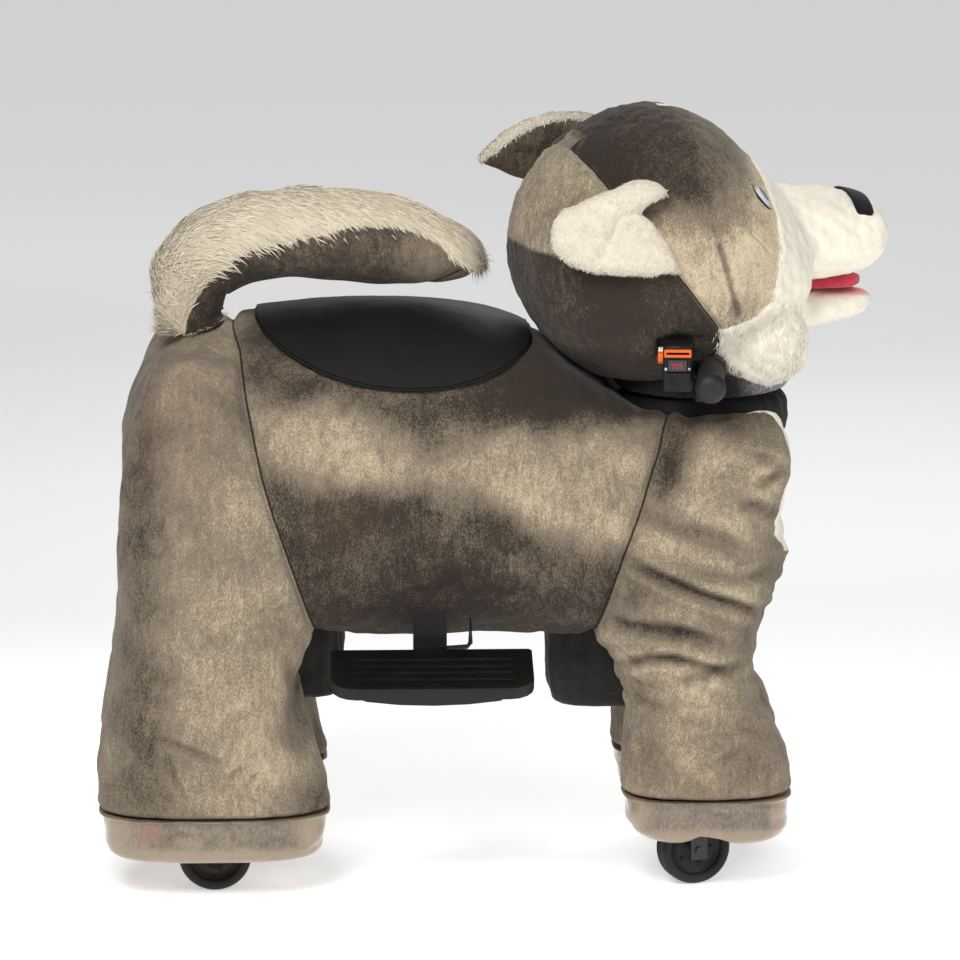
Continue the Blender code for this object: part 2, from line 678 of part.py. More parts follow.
def build_running_gear():
    """Rear axle with its gear and wheels, knuckles with the front wheels, tie rod and column."""
    reach = REAR_TRACK / 2 + WHEEL_WIDTH / 2 + 0.004
    axle = rod(
        "rear_axle", REAR_AXLE - Vector((0, reach, 0)), REAR_AXLE + Vector((0, reach, 0)), AXLE_RADIUS,
        BRIGHT_STEEL,
    )
    weld(axle, gear(
        "axle_gear", GEAR_TEETH, (REAR_AXLE_X, GEAR_Y, WHEEL_RADIUS), GEAR_WIDTH, 0, None,
        phase=GEAR_TEETH * 0.25 % 1,
    ))
    hub = bore_radius(AXLE_RADIUS, CLEARANCE)
    for side, word in SIDE_NAMES:
        wheel(
            "rear_wheel_" + word, at(side, REAR_AXLE_X, REAR_TRACK / 2, WHEEL_RADIUS), hub, BLACK_RUBBER,
        )
        carrier = frame_at("turn_" + word, at(side, KINGPIN_X, FRONT_TRACK / 2, 0), STEER_AT_REST)
        build_knuckle(word, carrier)
    turn = Vector((-math.cos(STEER_AT_REST), -math.sin(STEER_AT_REST), 0)) * STEERING_ARM
    middle = KINGPIN + turn
    half = FRONT_TRACK / 2
    low, high = LINK_HEIGHT, LINK_HEIGHT + TIE_ROD_THICKNESS
    tie = box(
        "tie_rod", (middle.x - 0.006, middle.y - half, low), (middle.x + 0.006, middle.y + half, high),
        BRIGHT_STEEL,
    )
    eyes = [Vector((middle.x, middle.y + offset, 0)) for offset in (-half, 0, half)]
    for number, eye in enumerate(eyes):
        weld(
            tie,
            rod(
                "eye_ring_%d" % number, eye + Vector((0, 0, low)), eye + Vector((0, 0, high)), ARM_EYE,
                sides=10,
            ),
        )
    for number, eye in enumerate(eyes):
        carve(tie, rod(
            "eye_hole_%d" % number, eye + Vector((0, 0, low - 0.01)), eye + Vector((0, 0, high + 0.01)),
            bore_radius(LINK_PIN_RADIUS, 0.0003, 8), sides=8,
        ))


def add_arm(target, name, parent, hub_radius):
    """The steering arm with its pin, which points back from the axis it turns about."""
    top = ARM_HEIGHT + ARM_THICKNESS
    weld(target, rod(name + "_hub", (0, 0, ARM_HEIGHT - 0.004), (0, 0, top), hub_radius, parent=parent))
    weld(target, box(name + "_bar", (-STEERING_ARM, -0.007, ARM_HEIGHT), (0, 0.007, top), parent=parent))
    weld(
        target,
        rod(
            name + "_eye", (-STEERING_ARM, 0, ARM_HEIGHT), (-STEERING_ARM, 0, top), ARM_EYE,
            parent=parent,
        ),
    )
    weld(target, rod(
        name + "_pin", (-STEERING_ARM, 0, top - 0.002),
        (-STEERING_ARM, 0, top + TIE_ROD_THICKNESS + 0.003),
        LINK_PIN_RADIUS, parent=parent, sides=10,
    ))


def build_knuckle(word, carrier):
    """Kingpin, arm and fork of one front wheel, built about the kingpin's axis."""
    made = rod(
        "knuckle_" + word, (0, 0, CROWN_BOTTOM + 0.004), (0, 0, 0.3535), KINGPIN_RADIUS, BLACK_STEEL,
        carrier,
    )
    add_arm(made, "knuckle_arm_" + word, carrier, HUB_RADIUS)
    weld(made, box(
        "fork_crown_" + word, (-CASTER_TRAIL - 0.015, -0.021, CROWN_BOTTOM),
        (KINGPIN_RADIUS + 0.003, 0.021, CROWN_BOTTOM + CROWN_THICKNESS), parent=carrier,
    ))
    for side in (-1, 1):
        ys = sorted((side * (WHEEL_WIDTH / 2 + 0.0022), side * (WHEEL_WIDTH / 2 + 0.006)))
        weld(made, box(
            "fork_leg_%s_%d" % (word, side), (-CASTER_TRAIL - 0.011, ys[0], WHEEL_RADIUS - 0.012),
            (-CASTER_TRAIL + 0.011, ys[1], CROWN_BOTTOM + CROWN_THICKNESS - 0.002), parent=carrier,
        ))
    weld(made, rod(
        "fork_axle_" + word, (-CASTER_TRAIL, -WHEEL_WIDTH / 2 - 0.0085, WHEEL_RADIUS),
        (-CASTER_TRAIL, WHEEL_WIDTH / 2 + 0.0085, WHEEL_RADIUS), 0.005,
        parent=carrier, sides=16,
    ))
    made = wheel(
        "front_wheel_" + word, (-CASTER_TRAIL, 0, WHEEL_RADIUS), bore_radius(0.005, 0.0004, 16),
        BLACK_RUBBER,
    )
    made.parent = carrier


def bag_form(name, low, high, grow, finish=None, levels=0):
    """A cloth bag that hangs under the body: a soft-cornered block that narrows towards its bottom."""
    middle_x = (low[0] + high[0]) / 2
    rings = []
    for share, scale in ((0, 0.84), (0.18, 0.97), (1.0, 1.0)):
        z = low[2] - (grow if share == 0 else 0) + share * (high[2] - low[2])
        half_x = (high[0] - low[0]) / 2 * scale + grow
        half_y = high[1] * scale + grow
        rings.append([(middle_x + u, v, z) for u, v in oval(half_x, half_y, 5.0, sides=12)])
    return loft(name, rings, finish, None, levels)


CHEST_BAG = ((KINGPIN_X - 0.194, 0, 0.200), (KINGPIN_X + 0.044, 0.040, 0.345))
REAR_BAG = ((REAR_AXLE_X + 0.020, 0, 0.216), (REAR_AXLE_X + 0.164, 0.046, 0.345))


def leg_holes(side, word, kind):
    """Cutters for the frame that runs down inside a leg and its shoe."""
    if kind == "rear":
        block_x, block_y, block_z = BEARING_BLOCK
        return [
            rod(
                "tube_hole_" + word, at(side, REAR_AXLE_X, REAR_LEG_Y, 0.02),
                at(side, REAR_AXLE_X, REAR_LEG_Y, 0.60),
                bore_radius(FRAME_TUBE_RADIUS, CLEARANCE + 0.0002),
            ),
            box("block_hole_" + word, *span(
                side, (REAR_AXLE_X - block_x / 2 - 0.0005, REAR_LEG_Y - block_y / 2 - 0.0005, 0.0),
                (
                    REAR_AXLE_X + block_x / 2 + 0.0005, REAR_LEG_Y + block_y / 2 + 0.0005,
                    WHEEL_RADIUS + block_z / 2 + 0.0005,
                ),
            )),
            rod(
                "mount_tube_hole_" + word, at(side, REAR_AXLE_X, 0, 0.150),
                at(side, REAR_AXLE_X, REAR_LEG_Y, 0.150),
                bore_radius(0.010, CLEARANCE + 0.0002),
            ),
            rod(
                "rear_well_" + word,
                at(side, REAR_AXLE_X, REAR_TRACK / 2 - WHEEL_WIDTH / 2 - 0.0065, WHEEL_RADIUS),
                at(side, REAR_AXLE_X, REAR_TRACK / 2 + WHEEL_WIDTH / 2 + 0.007, WHEEL_RADIUS),
                WHEEL_RADIUS + 0.005,
                sides=16,
            ),
        ]
    y = FRONT_TRACK / 2
    reach = STEERING_ARM + ARM_EYE + 0.006
    side_reach = (STEERING_ARM + ARM_EYE) * math.sin(math.radians(38))
    return [
        box("strut_hole_" + word, *span(
            side, (KINGPIN_X - SLEEVE_RADIUS - 0.0008, y - SLEEVE_RADIUS - 0.0008, 0.05),
            (KINGPIN_X + STRUT[1] + 0.0005, y + SLEEVE_RADIUS + 0.0008, FRONT_CROSS_HEIGHT + 0.03),
        )),
        box("arm_hole_" + word, *span(
            side, (KINGPIN_X - reach, 0.0, ARM_HEIGHT - 0.010),
            (KINGPIN_X + HUB_RADIUS + 0.002, y + side_reach, ARM_HEIGHT + 0.0275),
        )),
        rod(
            "front_well_" + word, at(side, KINGPIN_X, y, 0.0),
            at(side, KINGPIN_X, y, CROWN_BOTTOM + CROWN_THICKNESS + 0.0035), CASTER_REACH + 0.004,
            sides=14,
        ),
    ]


# Shoe sections from the sole up: height, half length, half width, and how far ahead of the axle it sits.
REAR_SHOE = (
    (SHOE_CLEAR_OF_FLOOR - 0.001, 0.104, 0.052, 0.0), (SHOE_CLEAR_OF_FLOOR + 0.004, 0.123, 0.067, 0.0),
    (SHOE_CLEAR_OF_FLOOR + 0.020, 0.1355, 0.0765, 0.0), (REAR_HEM_HEIGHT - 0.0015, 0.1375, 0.0785, 0.0),
    (REAR_HEM_HEIGHT - CLEARANCE, 0.1375 * HEM_FLARE, 0.0785 * HEM_FLARE, 0.0),
)
FRONT_SHOE = (
    (FRONT_SHOE_CLEAR_OF_FLOOR - 0.001, 0.060, 0.042, 0.010),
    (FRONT_SHOE_CLEAR_OF_FLOOR + 0.005, 0.082, 0.060, 0.007),
    (FRONT_SHOE_CLEAR_OF_FLOOR + 0.022, 0.100, 0.073, 0.003),
    (FRONT_HEM_HEIGHT - 0.0015, 0.101, 0.074, 0.002),
    (FRONT_HEM_HEIGHT - CLEARANCE, 0.101 * HEM_FLARE, 0.074 * HEM_FLARE, 0.002),
)


def build_covers():
    """The padded skin of the body, legs and feet, the saddle and the cloth covers below."""
    torso = torso_form("torso_cover", 0.0, GREY_PLUSH)
    root = rod(
        "tail_pad", (TAIL_X, 0, TAIL_PLANE - 0.076), (TAIL_X, 0, TAIL_PLANE), TAIL_ROOT_RADIUS, sides=14,
    )
    weld(torso, root)
    carve(torso, torso_form("torso_inside", -COVER_WALL, sides=12, levels=0))
    carve(
        torso,
        rod("neck_hole", KINGPIN + Vector((0, 0, 0.50)), KINGPIN + Vector((0, 0, 0.70)), 0.027, sides=14),
    )
    carve(torso, box("chest_hole", (KINGPIN_X - 0.136, -0.030, 0.28), (KINGPIN_X + 0.030, 0.030, 0.40)))
    carve(
        torso,
        box("crotch_hole", (REAR_AXLE_X + 0.050, -0.028, 0.28), (REAR_AXLE_X + 0.134, 0.028, 0.40)),
    )
    carve(torso, rod(
        "foot_bar_way", (FOOTREST_X, -POST_Y, CROSSBAR_HEIGHT), (FOOTREST_X, POST_Y, CROSSBAR_HEIGHT),
        CROSSBAR_RADIUS + 0.0012,
    ))
    outside = torso_form("torso_outside", SEWN_GAP)
    chest_bag = bag_form("chest_bag_outside", *CHEST_BAG, CLEARANCE)
    rear_bag = bag_form("rear_bag_outside", *REAR_BAG, CLEARANCE)
    for side, word in SIDE_NAMES:
        post = box("post_hole_" + word, *span(
            side, (FOOTREST_X - 0.0212, POST_Y - 0.0004, 0.27),
            (FOOTREST_X + 0.0212, POST_Y + 0.0064, 0.39),
        ))
        carve(torso, post)
        carve(torso, rod(
            "cable_hole_" + word, at(side, FOOTREST_X + 0.050, POST_Y - 0.005, 0.29),
            at(side, FOOTREST_X + 0.050, POST_Y - 0.005, 0.36), 0.0036, sides=12,
        ))
        rear_holes = leg_holes(side, word, "rear")
        front_holes = leg_holes(side, word, "front")
        rear = leg_form(
            "rear_leg_cover_" + word, REAR_LEG, REAR_AXLE_X, REAR_TRACK, REAR_HEM_HEIGHT, side, 0.0,
            GREY_PLUSH,
        )
        front = leg_form(
            "front_leg_cover_" + word, FRONT_LEG, KINGPIN_X, FRONT_TRACK, FRONT_HEM_HEIGHT, side, 0.0,
            GREY_PLUSH,
        )
        carve(torso, rear_holes[0], front_holes[0])
        carve(rear, outside, rear_bag, *rear_holes)
        carve(front, outside, chest_bag, *front_holes)
        build_shoes(side, word, rear_holes, front_holes)
    for name, sizes, solid in (
        ("steering_cover", CHEST_BAG, chest_bag), ("drive_cover", REAR_BAG, rear_bag),
    ):
        bag = bag_form(name, *sizes, 0.0, DARK_CLOTH)
        carve(bag, outside, bag_form(name + "_inside", *sizes, -0.0035))
        low, high = sizes
        carve(bag, box(
            name + "_mouth", (low[0] + 0.006, -high[1] + 0.004, 0.300),
            (high[0] - 0.006, high[1] - 0.004, 0.36),
        ))
        if name == "steering_cover":
            carve(bag, box(
                "tie_slot", (KINGPIN_X - STEERING_ARM - ARM_EYE - 0.003, -0.06, LINK_HEIGHT - 0.012),
                (KINGPIN_X - STEERING_ARM * 0.80 + ARM_EYE + 0.003, 0.06, LINK_HEIGHT + 0.017),
            ))
    build_saddle()
    build_neck_roll()


def build_shoes(side, word, rear_holes, front_holes):
    """Padded feet with a wheel well, a way in for the leg frame and, at the rear, for the axle."""
    rear = shoe_form("rear_shoe_" + word, REAR_AXLE_X, REAR_TRACK, side, REAR_SHOE, SHOE_FILM)
    axle_way = box("axle_way_" + word, *span(
        side, (REAR_AXLE_X - 0.0135, 0.02, 0.0),
        (REAR_AXLE_X + 0.0135, REAR_TRACK / 2 - 0.004, WHEEL_RADIUS + 0.0115),
    ))
    carve(rear, rear_holes[3], *rear_holes[:2], axle_way)
    front = shoe_form("front_shoe_" + word, KINGPIN_X, FRONT_TRACK, side, FRONT_SHOE, SHOE_FILM)
    carve(front, front_holes[2], rod(
        "kingpin_way_" + word, at(side, KINGPIN_X, FRONT_TRACK / 2, 0.05),
        at(side, KINGPIN_X, FRONT_TRACK / 2, 0.2), KINGPIN_RADIUS + 0.003, sides=16,
    ))


# Lower edge of the saddle's flaps: share of the wheelbase, height share of the body.
FLAP = (
    (0.045, 1.079), (0.086, 0.990), (0.140, 0.913), (0.226, 0.839), (0.329, 0.796), (0.436, 0.791),
    (0.537, 0.824), (0.610, 0.883), (0.653, 0.944), (0.683, 1.020),
)


def build_saddle():
    """Thin padded vinyl over the back: the part of a thicker barrel above the line of its flaps."""
    saddle = torso_form("saddle", SEAT_THICKNESS, SEAT_VINYL)
    bm = bmesh.new()
    outline = [(along(share), level(height)) for share, height in FLAP]
    outline += [(outline[-1][0], level(1.25)), (outline[0][0], level(1.25))]
    rows = [[bm.verts.new((x, y, z)) for x, z in outline] for y in (-0.25, 0.25)]
    for i, _ in enumerate(outline):
        j = (i + 1) % len(outline)
        bm.faces.new((rows[0][i], rows[0][j], rows[1][j], rows[1][i]))
    bm.faces.new(rows[0])
    bm.faces.new(rows[1][::-1])
    boolean(saddle, link("flap_line", mesh_of("flap_line", bm, False)), "INTERSECT")
    carve(saddle, torso_form("saddle_bed", SEWN_GAP))


def build_neck_roll():
    """A padded ring of black cloth on the shoulders, under the part that turns."""
    roll = turned("neck_roll", (
        (0.034, 0.555), (0.100, 0.545), (0.108, 0.575), (0.104, 0.592), (0.090, 0.601), (0.034, 0.602),
    ), KINGPIN, DARK_CLOTH, sides=12)
    carve(roll, torso_form("neck_roll_bed", SEWN_GAP))
    for side, word in SIDE_NAMES:
        carve(roll, leg_form(
            "shoulder_bed_" + word, FRONT_LEG, KINGPIN_X, FRONT_TRACK, FRONT_HEM_HEIGHT, side, 0.0016,
        ))


def prism(name, outline, low, high, axis="Z", finish=None):
    """A block with a flat outline: (x, y) points drawn out along Z, (x, z) along Y or (y, z) along X."""
    bm = bmesh.new()
    rows = []
    for level_at in (low, high):
        points = {
            "X": [(level_at, u, v) for u, v in outline],
            "Y": [(u, level_at, v) for u, v in outline],
            "Z": [(u, v, level_at) for u, v in outline],
        }[axis]
        rows.append([bm.verts.new(point) for point in points])
    for i, _ in enumerate(outline):
        j = (i + 1) % len(outline)
        bm.faces.new((rows[0][i], rows[0][j], rows[1][j], rows[1][i]))
    bm.faces.new(rows[0][::-1])
    bm.faces.new(rows[1])
    return link(name, mesh_of(name, bm, False), finish)


def build_footrest(side, word):
    """A moulded foot plate, arched below, on a flat steel strap, with a thin conduit beside the strap."""
    half = FOOTREST_LENGTH / 2
    corner = 0.030
    outline = [(-half + 0.004, 0.0), (half - 0.004, 0.0), (half, 0.004)]
    for start in (0, 90):
        centre_x = half - corner if start == 0 else corner - half
        for step in range(5):
            turn = math.radians(start + 22.5 * step)
            outline.append(
                (centre_x + corner * math.cos(turn), FOOTREST_DEPTH - corner + corner * math.sin(turn))
            )
    outline.append((-half, 0.004))
    plate = prism("footrest_" + word, outline, -FOOTREST_THICKNESS, 0.0, finish=BLACK_PLASTIC)
    under = prism("foot_arch_" + word, (
        (-half * 0.80, -0.008), (half * 0.80, -0.008), (half * 0.66, -0.018), (half * 0.34, -0.0225),
        (0, -0.024),
        (-half * 0.34, -0.0225), (-half * 0.66, -0.018),
    ), 0.012, FOOTREST_DEPTH - 0.002, "Y")
    weld(plate, under)
    pieces = [plate, under]
    for step in range(4):
        y = 0.026 + step * 0.018
        groove = box(
            "tread_%s_%d" % (word, step), (-half * 0.80, y, -0.002), (half * 0.80, y + 0.005, 0.01),
        )
        carve(plate, groove)
        pieces.append(groove)
    slope = Matrix.Translation(at(1, FOOTREST_X, FOOTREST_INNER_Y, FOOTREST_INNER_HEIGHT))
    slope = Matrix.Diagonal((1, side, 1, 1)) @ slope @ Matrix.Rotation(-FOOTREST_SLOPE, 4, "X")
    for piece in pieces:
        place_mesh(piece, slope)
    strap = box("foot_strap_" + word, *span(
        side, (FOOTREST_X - 0.0207, POST_Y, 0.2965), (FOOTREST_X + 0.0207, POST_Y + 0.006, 0.374),
    ))
    shelf = box("foot_shelf_" + word, *span(
        side, (FOOTREST_X - 0.0200, POST_Y + 0.001, 0.296),
        (FOOTREST_X + 0.0200, FOOTREST_INNER_Y + 0.020, 0.303),
    ))
    y = POST_Y + 0.0045
    conduit = pipe(
        "foot_conduit_" + word,
        [at(side, FOOTREST_X + 0.010, y, 0.3005), at(side, FOOTREST_X + 0.046, y - 0.010, 0.3005),
         at(side, FOOTREST_X + 0.050, y - 0.010, 0.3055), at(side, FOOTREST_X + 0.050, y - 0.010, 0.345)],
        0.003, sides=10,
    )
    weld(plate, shelf, strap, conduit)


def place_mesh(piece, matrix):
    """Moves the mesh itself, and keeps its faces outward where the move mirrors it."""
    piece.data.transform(matrix)
    if matrix.determinant() < 0:
        piece.data.flip_normals()


TAIL_FROM_RUMP = 0.09106
TAIL_X = along(TORSO[0][0]) + TAIL_FROM_RUMP
TAIL_PLANE = BACK_HEIGHT - 0.028
TAIL_ROOT_RADIUS = 0.040
# The tail's middle line: distance ahead of its root, height above the plane it turns on.
TAIL_PATH = (
    (-0.004, -0.026), (-0.012, 0.024), (-0.006, 0.076), (0.044, 0.109), (0.107, 0.119),
    (0.172, 0.117), (0.237, 0.110), (0.292, 0.098), (0.330, 0.089), (0.348, 0.086),
)
TAIL_SIZES = (
    (0.036, 0.036), (0.044, 0.042), (0.054, 0.050), (0.059, 0.056), (0.062, 0.056),
    (0.063, 0.057), (0.060, 0.056), (0.050, 0.044), (0.034, 0.027), (0.012, 0.010),
)


def build_tail():
    """The stuffed tail, flat where it turns on its pad."""
    path = [(TAIL_X + x, 0, TAIL_PLANE + z) for x, z in TAIL_PATH]
    tail = swept("tail", path, TAIL_SIZES, up=(-0.25, 0, 1), finish=WHITE_PLUSH, sides=7)
    carve(
        tail,
        box(
            "tail_flat", (TAIL_X - 0.2, -0.2, TAIL_PLANE - 0.2), (TAIL_X + 0.2, 0.2, TAIL_PLANE + 0.0005),
        ),
    )
    carve(tail, torso_form("tail_over_saddle", SEAT_THICKNESS + 0.002))


BAR_PATH = (
    (-0.0884, -0.2530), (-0.0650, -0.1950), (-0.0404, -0.1340), (-0.0150, -0.0900), (0.0120, -0.0620),
    (BAR_AHEAD, -0.0400), (BAR_AHEAD, 0.0400), (0.0120, 0.0620), (-0.0150, 0.0900), (-0.0404, 0.1340),
    (-0.0650, 0.1950), (-0.0884, 0.2530),
)
BAR_LEAN = Vector((BAR_PATH[2][0] - BAR_PATH[0][0], BAR_PATH[2][1] - BAR_PATH[0][1], 0)).normalized()
BAR_END = Vector((*BAR_PATH[0], BAR_HEIGHT))


def bar_point(side, back):
    """A point on the straight end of the handlebar, a distance back from its end."""
    point = BAR_END + BAR_LEAN * back
    return Vector((point.x, -side * point.y, point.z))


def build_column(steering):
    """Column with its arm and bar clamp, handlebar and grips."""
    column = rod(
        "steering_column", (0, 0, ARM_HEIGHT - 0.004), (0, 0, COLUMN_TOP), COLUMN_RADIUS, BLACK_STEEL,
        steering,
    )
    add_arm(column, "column_arm", steering, COLUMN_RADIUS + 0.004)
    weld(
        column,
        rod("lower_collar", (0, 0, 0.280), (0, 0, 0.2985), COLUMN_RADIUS + 0.006, parent=steering),
    )
    weld(column, box(
        "bar_clamp", (0.004, -0.022, BAR_HEIGHT - 0.018), (BAR_AHEAD + 0.017, 0.022, BAR_HEIGHT + 0.018),
        parent=steering, bevel=0.003,
    ))
    path = [(x, y, BAR_HEIGHT) for x, y in BAR_PATH]
    carve(column, pipe("bar_seat", path, BAR_RADIUS + CLEARANCE, parent=steering))
    for y in (-0.014, 0.014):
        weld(column, rod(
            "clamp_bolt_%d" % (y * 1000), (BAR_AHEAD + 0.012, y, BAR_HEIGHT + 0.014),
            (BAR_AHEAD + 0.021, y, BAR_HEIGHT + 0.014), 0.0035, parent=steering, sides=6,
        ))
    pipe("handlebar", path, BAR_RADIUS, BLACK_STEEL, steering)
    for side, word in SIDE_NAMES:
        build_grip(side, word, steering)


def build_grip(side, word, steering):
    """A rubber grip with ribs and a closed, rounded end."""
    start, end = bar_point(side, GRIP_LENGTH), bar_point(side, -0.012)
    run = (start - end).normalized()
    length = (start - end).length
    radius = GRIP_RADIUS
    sides = 10
    bore = bore_radius(BAR_RADIUS, CLEARANCE, sides)
    profile = [
        (0.0015, 0.0), (radius - 0.002, 0.0), (radius + 0.0025, 0.003), (radius + 0.0025, 0.010),
        (radius, 0.012),
    ]
    for step in range(2):
        ring = 0.036 + 0.032 * step
        profile += [(radius, ring), (radius - 0.0016, ring + 0.003)]
    profile += [
        (radius, length - 0.007), (radius + 0.002, length - 0.005), (radius + 0.002, length),
        (bore, length), (bore, 0.0115), (0.0015, 0.0115),
    ]
    grip = turned("grip_" + word, profile, (0, 0, 0), BLACK_RUBBER, steering, sides=sides)
    lay = Vector((0, 0, 1)).rotation_difference(run).to_matrix().to_4x4()
    grip.data.transform(Matrix.Translation(end) @ lay)
    if side < 0:
        build_throttle(bar_point(side, GRIP_LENGTH + 0.014), run, steering)


def build_throttle(place, run, steering):
    """The thumb lever below the bar, just inside the right grip."""
    pivot = frame_at("throttle_pivot", (place.x, place.y, BAR_HEIGHT), 0.0, steering)
    top = -BAR_RADIUS - 0.0006
    low = top - 0.019
    lever = rod("throttle", (0, 0, low), (0, 0, top), 0.008, BLACK_PLASTIC, pivot)
    tip = -run * 0.042 + Vector((-0.012, 0, 0))
    direction = tip.normalized()
    blade_z = low + 0.0052
    weld(lever, pipe("throttle_blade", [
        direction * 0.002 + Vector((0, 0, blade_z)), direction * 0.022 + Vector((0, 0, blade_z)),
        tip + Vector((0, 0, blade_z)),
    ], 0.0042, parent=pivot, sides=10))
    weld(lever, rod(
        "throttle_pad", tip + Vector((0, 0, low)), tip + Vector((0, 0, low + 0.0098)), 0.0085,
        parent=pivot, sides=16,
    ))


def build_coin_unit(steering):
    """The coin and control box behind the right grip, with its slot, display, buttons and cash door."""
    seat = bar_point(-1, COIN_BOX_BACK)
    steering = frame_at("coin_unit", (seat.x, seat.y, 0), -math.atan2(BAR_LEAN.x, BAR_LEAN.y), steering)
    centre = Vector(COIN_BOX_AT)
    half = Vector(COIN_BOX) / 2
    low, high = centre - half, centre + half
    wall = Vector((COIN_BOX_WALL,) * 3)
    shell = box("coin_box_shell", low, high, BLACK_PLASTIC, steering, bevel=0.003)
    inner = GRIP_LENGTH - COIN_BOX_BACK + 0.001
    weld(shell, box(
        "coin_bracket", (high.x - 0.002, inner, BAR_HEIGHT - 0.010),
        (-0.005, inner + 0.012, BAR_HEIGHT + 0.010),
        parent=steering,
    ))
    carve(shell, rod(
        "bracket_seat", (0, inner - 0.02, BAR_HEIGHT), (0, inner + 0.03, BAR_HEIGHT),
        bore_radius(BAR_RADIUS, CLEARANCE),
        parent=steering,
    ))
    carve(shell, box("coin_box_inside", low + wall, high - wall, parent=steering))
    face = low.y
    slot_z = high.z - 0.010
    slot_low = (centre.x - COIN_SLOT[1] / 2, face - 0.01, slot_z - COIN_SLOT[0] / 2)
    slot_high = (centre.x + COIN_SLOT[1] / 2, face + 0.01, slot_z + COIN_SLOT[0] / 2)
    slot = box("coin_slot", slot_low, slot_high, parent=steering)
    carve(shell, slot)
    bezel = box(
        "coin_bezel", (centre.x - 0.0165, face - 0.0033, slot_z - 0.0050),
        (centre.x + 0.0165, face - CLEARANCE, slot_z + 0.0050), ORANGE_PLASTIC, steering, bevel=0.001,
    )
    carve(bezel, slot)
    window_z = centre.z + 0.004
    window = box(
        "window", (centre.x - 0.0095, face - 0.01, window_z - 0.005),
        (centre.x + 0.0095, face + 0.01, window_z + 0.005),
        parent=steering,
    )
    carve(shell, window)
    display = box(
        "timer_display", (centre.x - 0.0118, face - 0.0022, window_z - 0.0073),
        (centre.x + 0.0118, face - CLEARANCE, window_z + 0.0073), BLACK_PLASTIC, steering, bevel=0.0006,
    )
    weld(display, box(
        "display_glass", (centre.x - 0.0092, face - 0.0012, window_z - 0.0047),
        (centre.x + 0.0092, face + 0.0020, window_z + 0.0047), parent=steering,
    ))
    door_low, door_high = low.z + 0.005, low.z + 0.024
    carve(shell, box(
        "door_opening", (centre.x - 0.0115, face - 0.01, door_low + 0.003),
        (centre.x + 0.0115, face + 0.01, door_high - 0.003), parent=steering,
    ))
    hinge = frame_at("door_hinge", (centre.x + 0.0145, face - 0.0020, 0), 0.0, steering)
    door = box("cash_door", (-0.0285, -0.0015, door_low), (0.0, 0.0015, door_high), BLACK_PLASTIC, hinge)
    weld(door, rod("door_knuckle", (0, 0, door_low), (0, 0, door_high), 0.0016, parent=hinge, sides=16))
    middle = (door_low + door_high) / 2
    weld(
        door,
        rod(
            "door_lock", (-0.0215, -0.0008, middle), (-0.0215, -0.0045, middle), 0.0040, parent=hinge,
            sides=20,
        ),
    )
    carve(
        door,
        box(
            "key_way", (-0.0220, -0.006, middle - 0.0026), (-0.0210, -0.0028, middle + 0.0026),
            parent=hinge,
        ),
    )
    for name, y, colour in (("start_button", -0.014, ORANGE_PLASTIC), ("music_button", 0.014, EYE_WHITE)):
        y += centre.y
        z = high.z - 0.018
        carve(
            shell,
            rod(
                name + "_bore", (low.x - 0.01, y, z), (low.x + 0.01, y, z), 0.0084, parent=steering,
                sides=16,
            ),
        )
        cap = rod(
            name, (low.x - 0.0060, y, z), (low.x + 0.0040, y, z), 0.0074, colour, steering, sides=16,
        )
        weld(
            cap,
            rod(
                name + "_stop", (low.x + 0.0034, y, z), (low.x + 0.0060, y, z), 0.0098, parent=steering,
                sides=16,
            ),
        )
    room_low = low - Vector((0.0085, 0.006, 0.004))
    room_high = high + Vector((0.022, 0.004, 0.003))
    return box("coin_room", room_low, room_high, parent=steering)


# Head sections ahead of the steering axis: distance, lower and upper height, half width.
HEAD = (
    (-0.243, 0.745, 0.825, 0.050), (-0.226, 0.700, 0.868, 0.096), (-0.186, 0.655, 0.916, 0.134),
    (-0.125, 0.624, 0.950, 0.157), (-0.060, 0.613, 0.962, 0.165), (0.000, 0.617, 0.938, 0.160),
    (0.048, 0.634, 0.897, 0.143), (0.090, 0.660, 0.851, 0.115), (0.118, 0.690, 0.812, 0.079),
)
MUZZLE = (
    (0.060, 0.726, 0.852, 0.078), (0.120, 0.726, 0.848, 0.069),
    (0.186, 0.732, 0.840, 0.055), (0.217, 0.739, 0.829, 0.047), (0.237, 0.752, 0.811, 0.034),
    (0.246, 0.768, 0.796, 0.016),
)
JAW = (
    (0.050, 0.664, 0.720, 0.066), (0.120, 0.666, 0.716, 0.054),
    (0.188, 0.675, 0.712, 0.038), (0.214, 0.682, 0.710, 0.027), (0.227, 0.691, 0.705, 0.012),
)
TONGUE = (
    (0.080, 0.7190, 0.7280, 0.029), (0.130, 0.7180, 0.7280, 0.030), (0.170, 0.7165, 0.7290, 0.028),
    (0.196, 0.7160, 0.7290, 0.021), (0.207, 0.7185, 0.7265, 0.008),
)


def along_head(name, rows, finish=None, steering=None, sides=12, power=2.0, grow=0.0):
    """A form through sections that face forward: (distance, lower, upper, half width)."""
    rings = []
    length, centre = rows[-1][0] - rows[0][0], (rows[-1][0] + rows[0][0]) / 2
    for x, low, high, half_width in rows:
        x = centre + (x - centre) * (length + 2 * grow) / length
        middle, half = (low + high) / 2, (high - low) / 2
        section = oval(half_width + grow, half + grow, power, sides=sides)
        rings.append([(x, u, middle + v) for u, v in section])
    return loft(name, rings, finish, steering)


def ball(name, centre, half, finish=None, steering=None, segments=12, rings=8, turn=0.0):
    """A rounded stuffed lump with three half sizes."""
    bm = bmesh.new()
    matrix = Matrix.Translation(centre) @ Matrix.Rotation(turn, 4, "Z") @ Matrix.Diagonal((*half, 1.0))
    bmesh.ops.create_uvsphere(bm, u_segments=segments, v_segments=rings, radius=1.0, matrix=matrix)
    return link(name, mesh_of(name, bm), finish, steering)


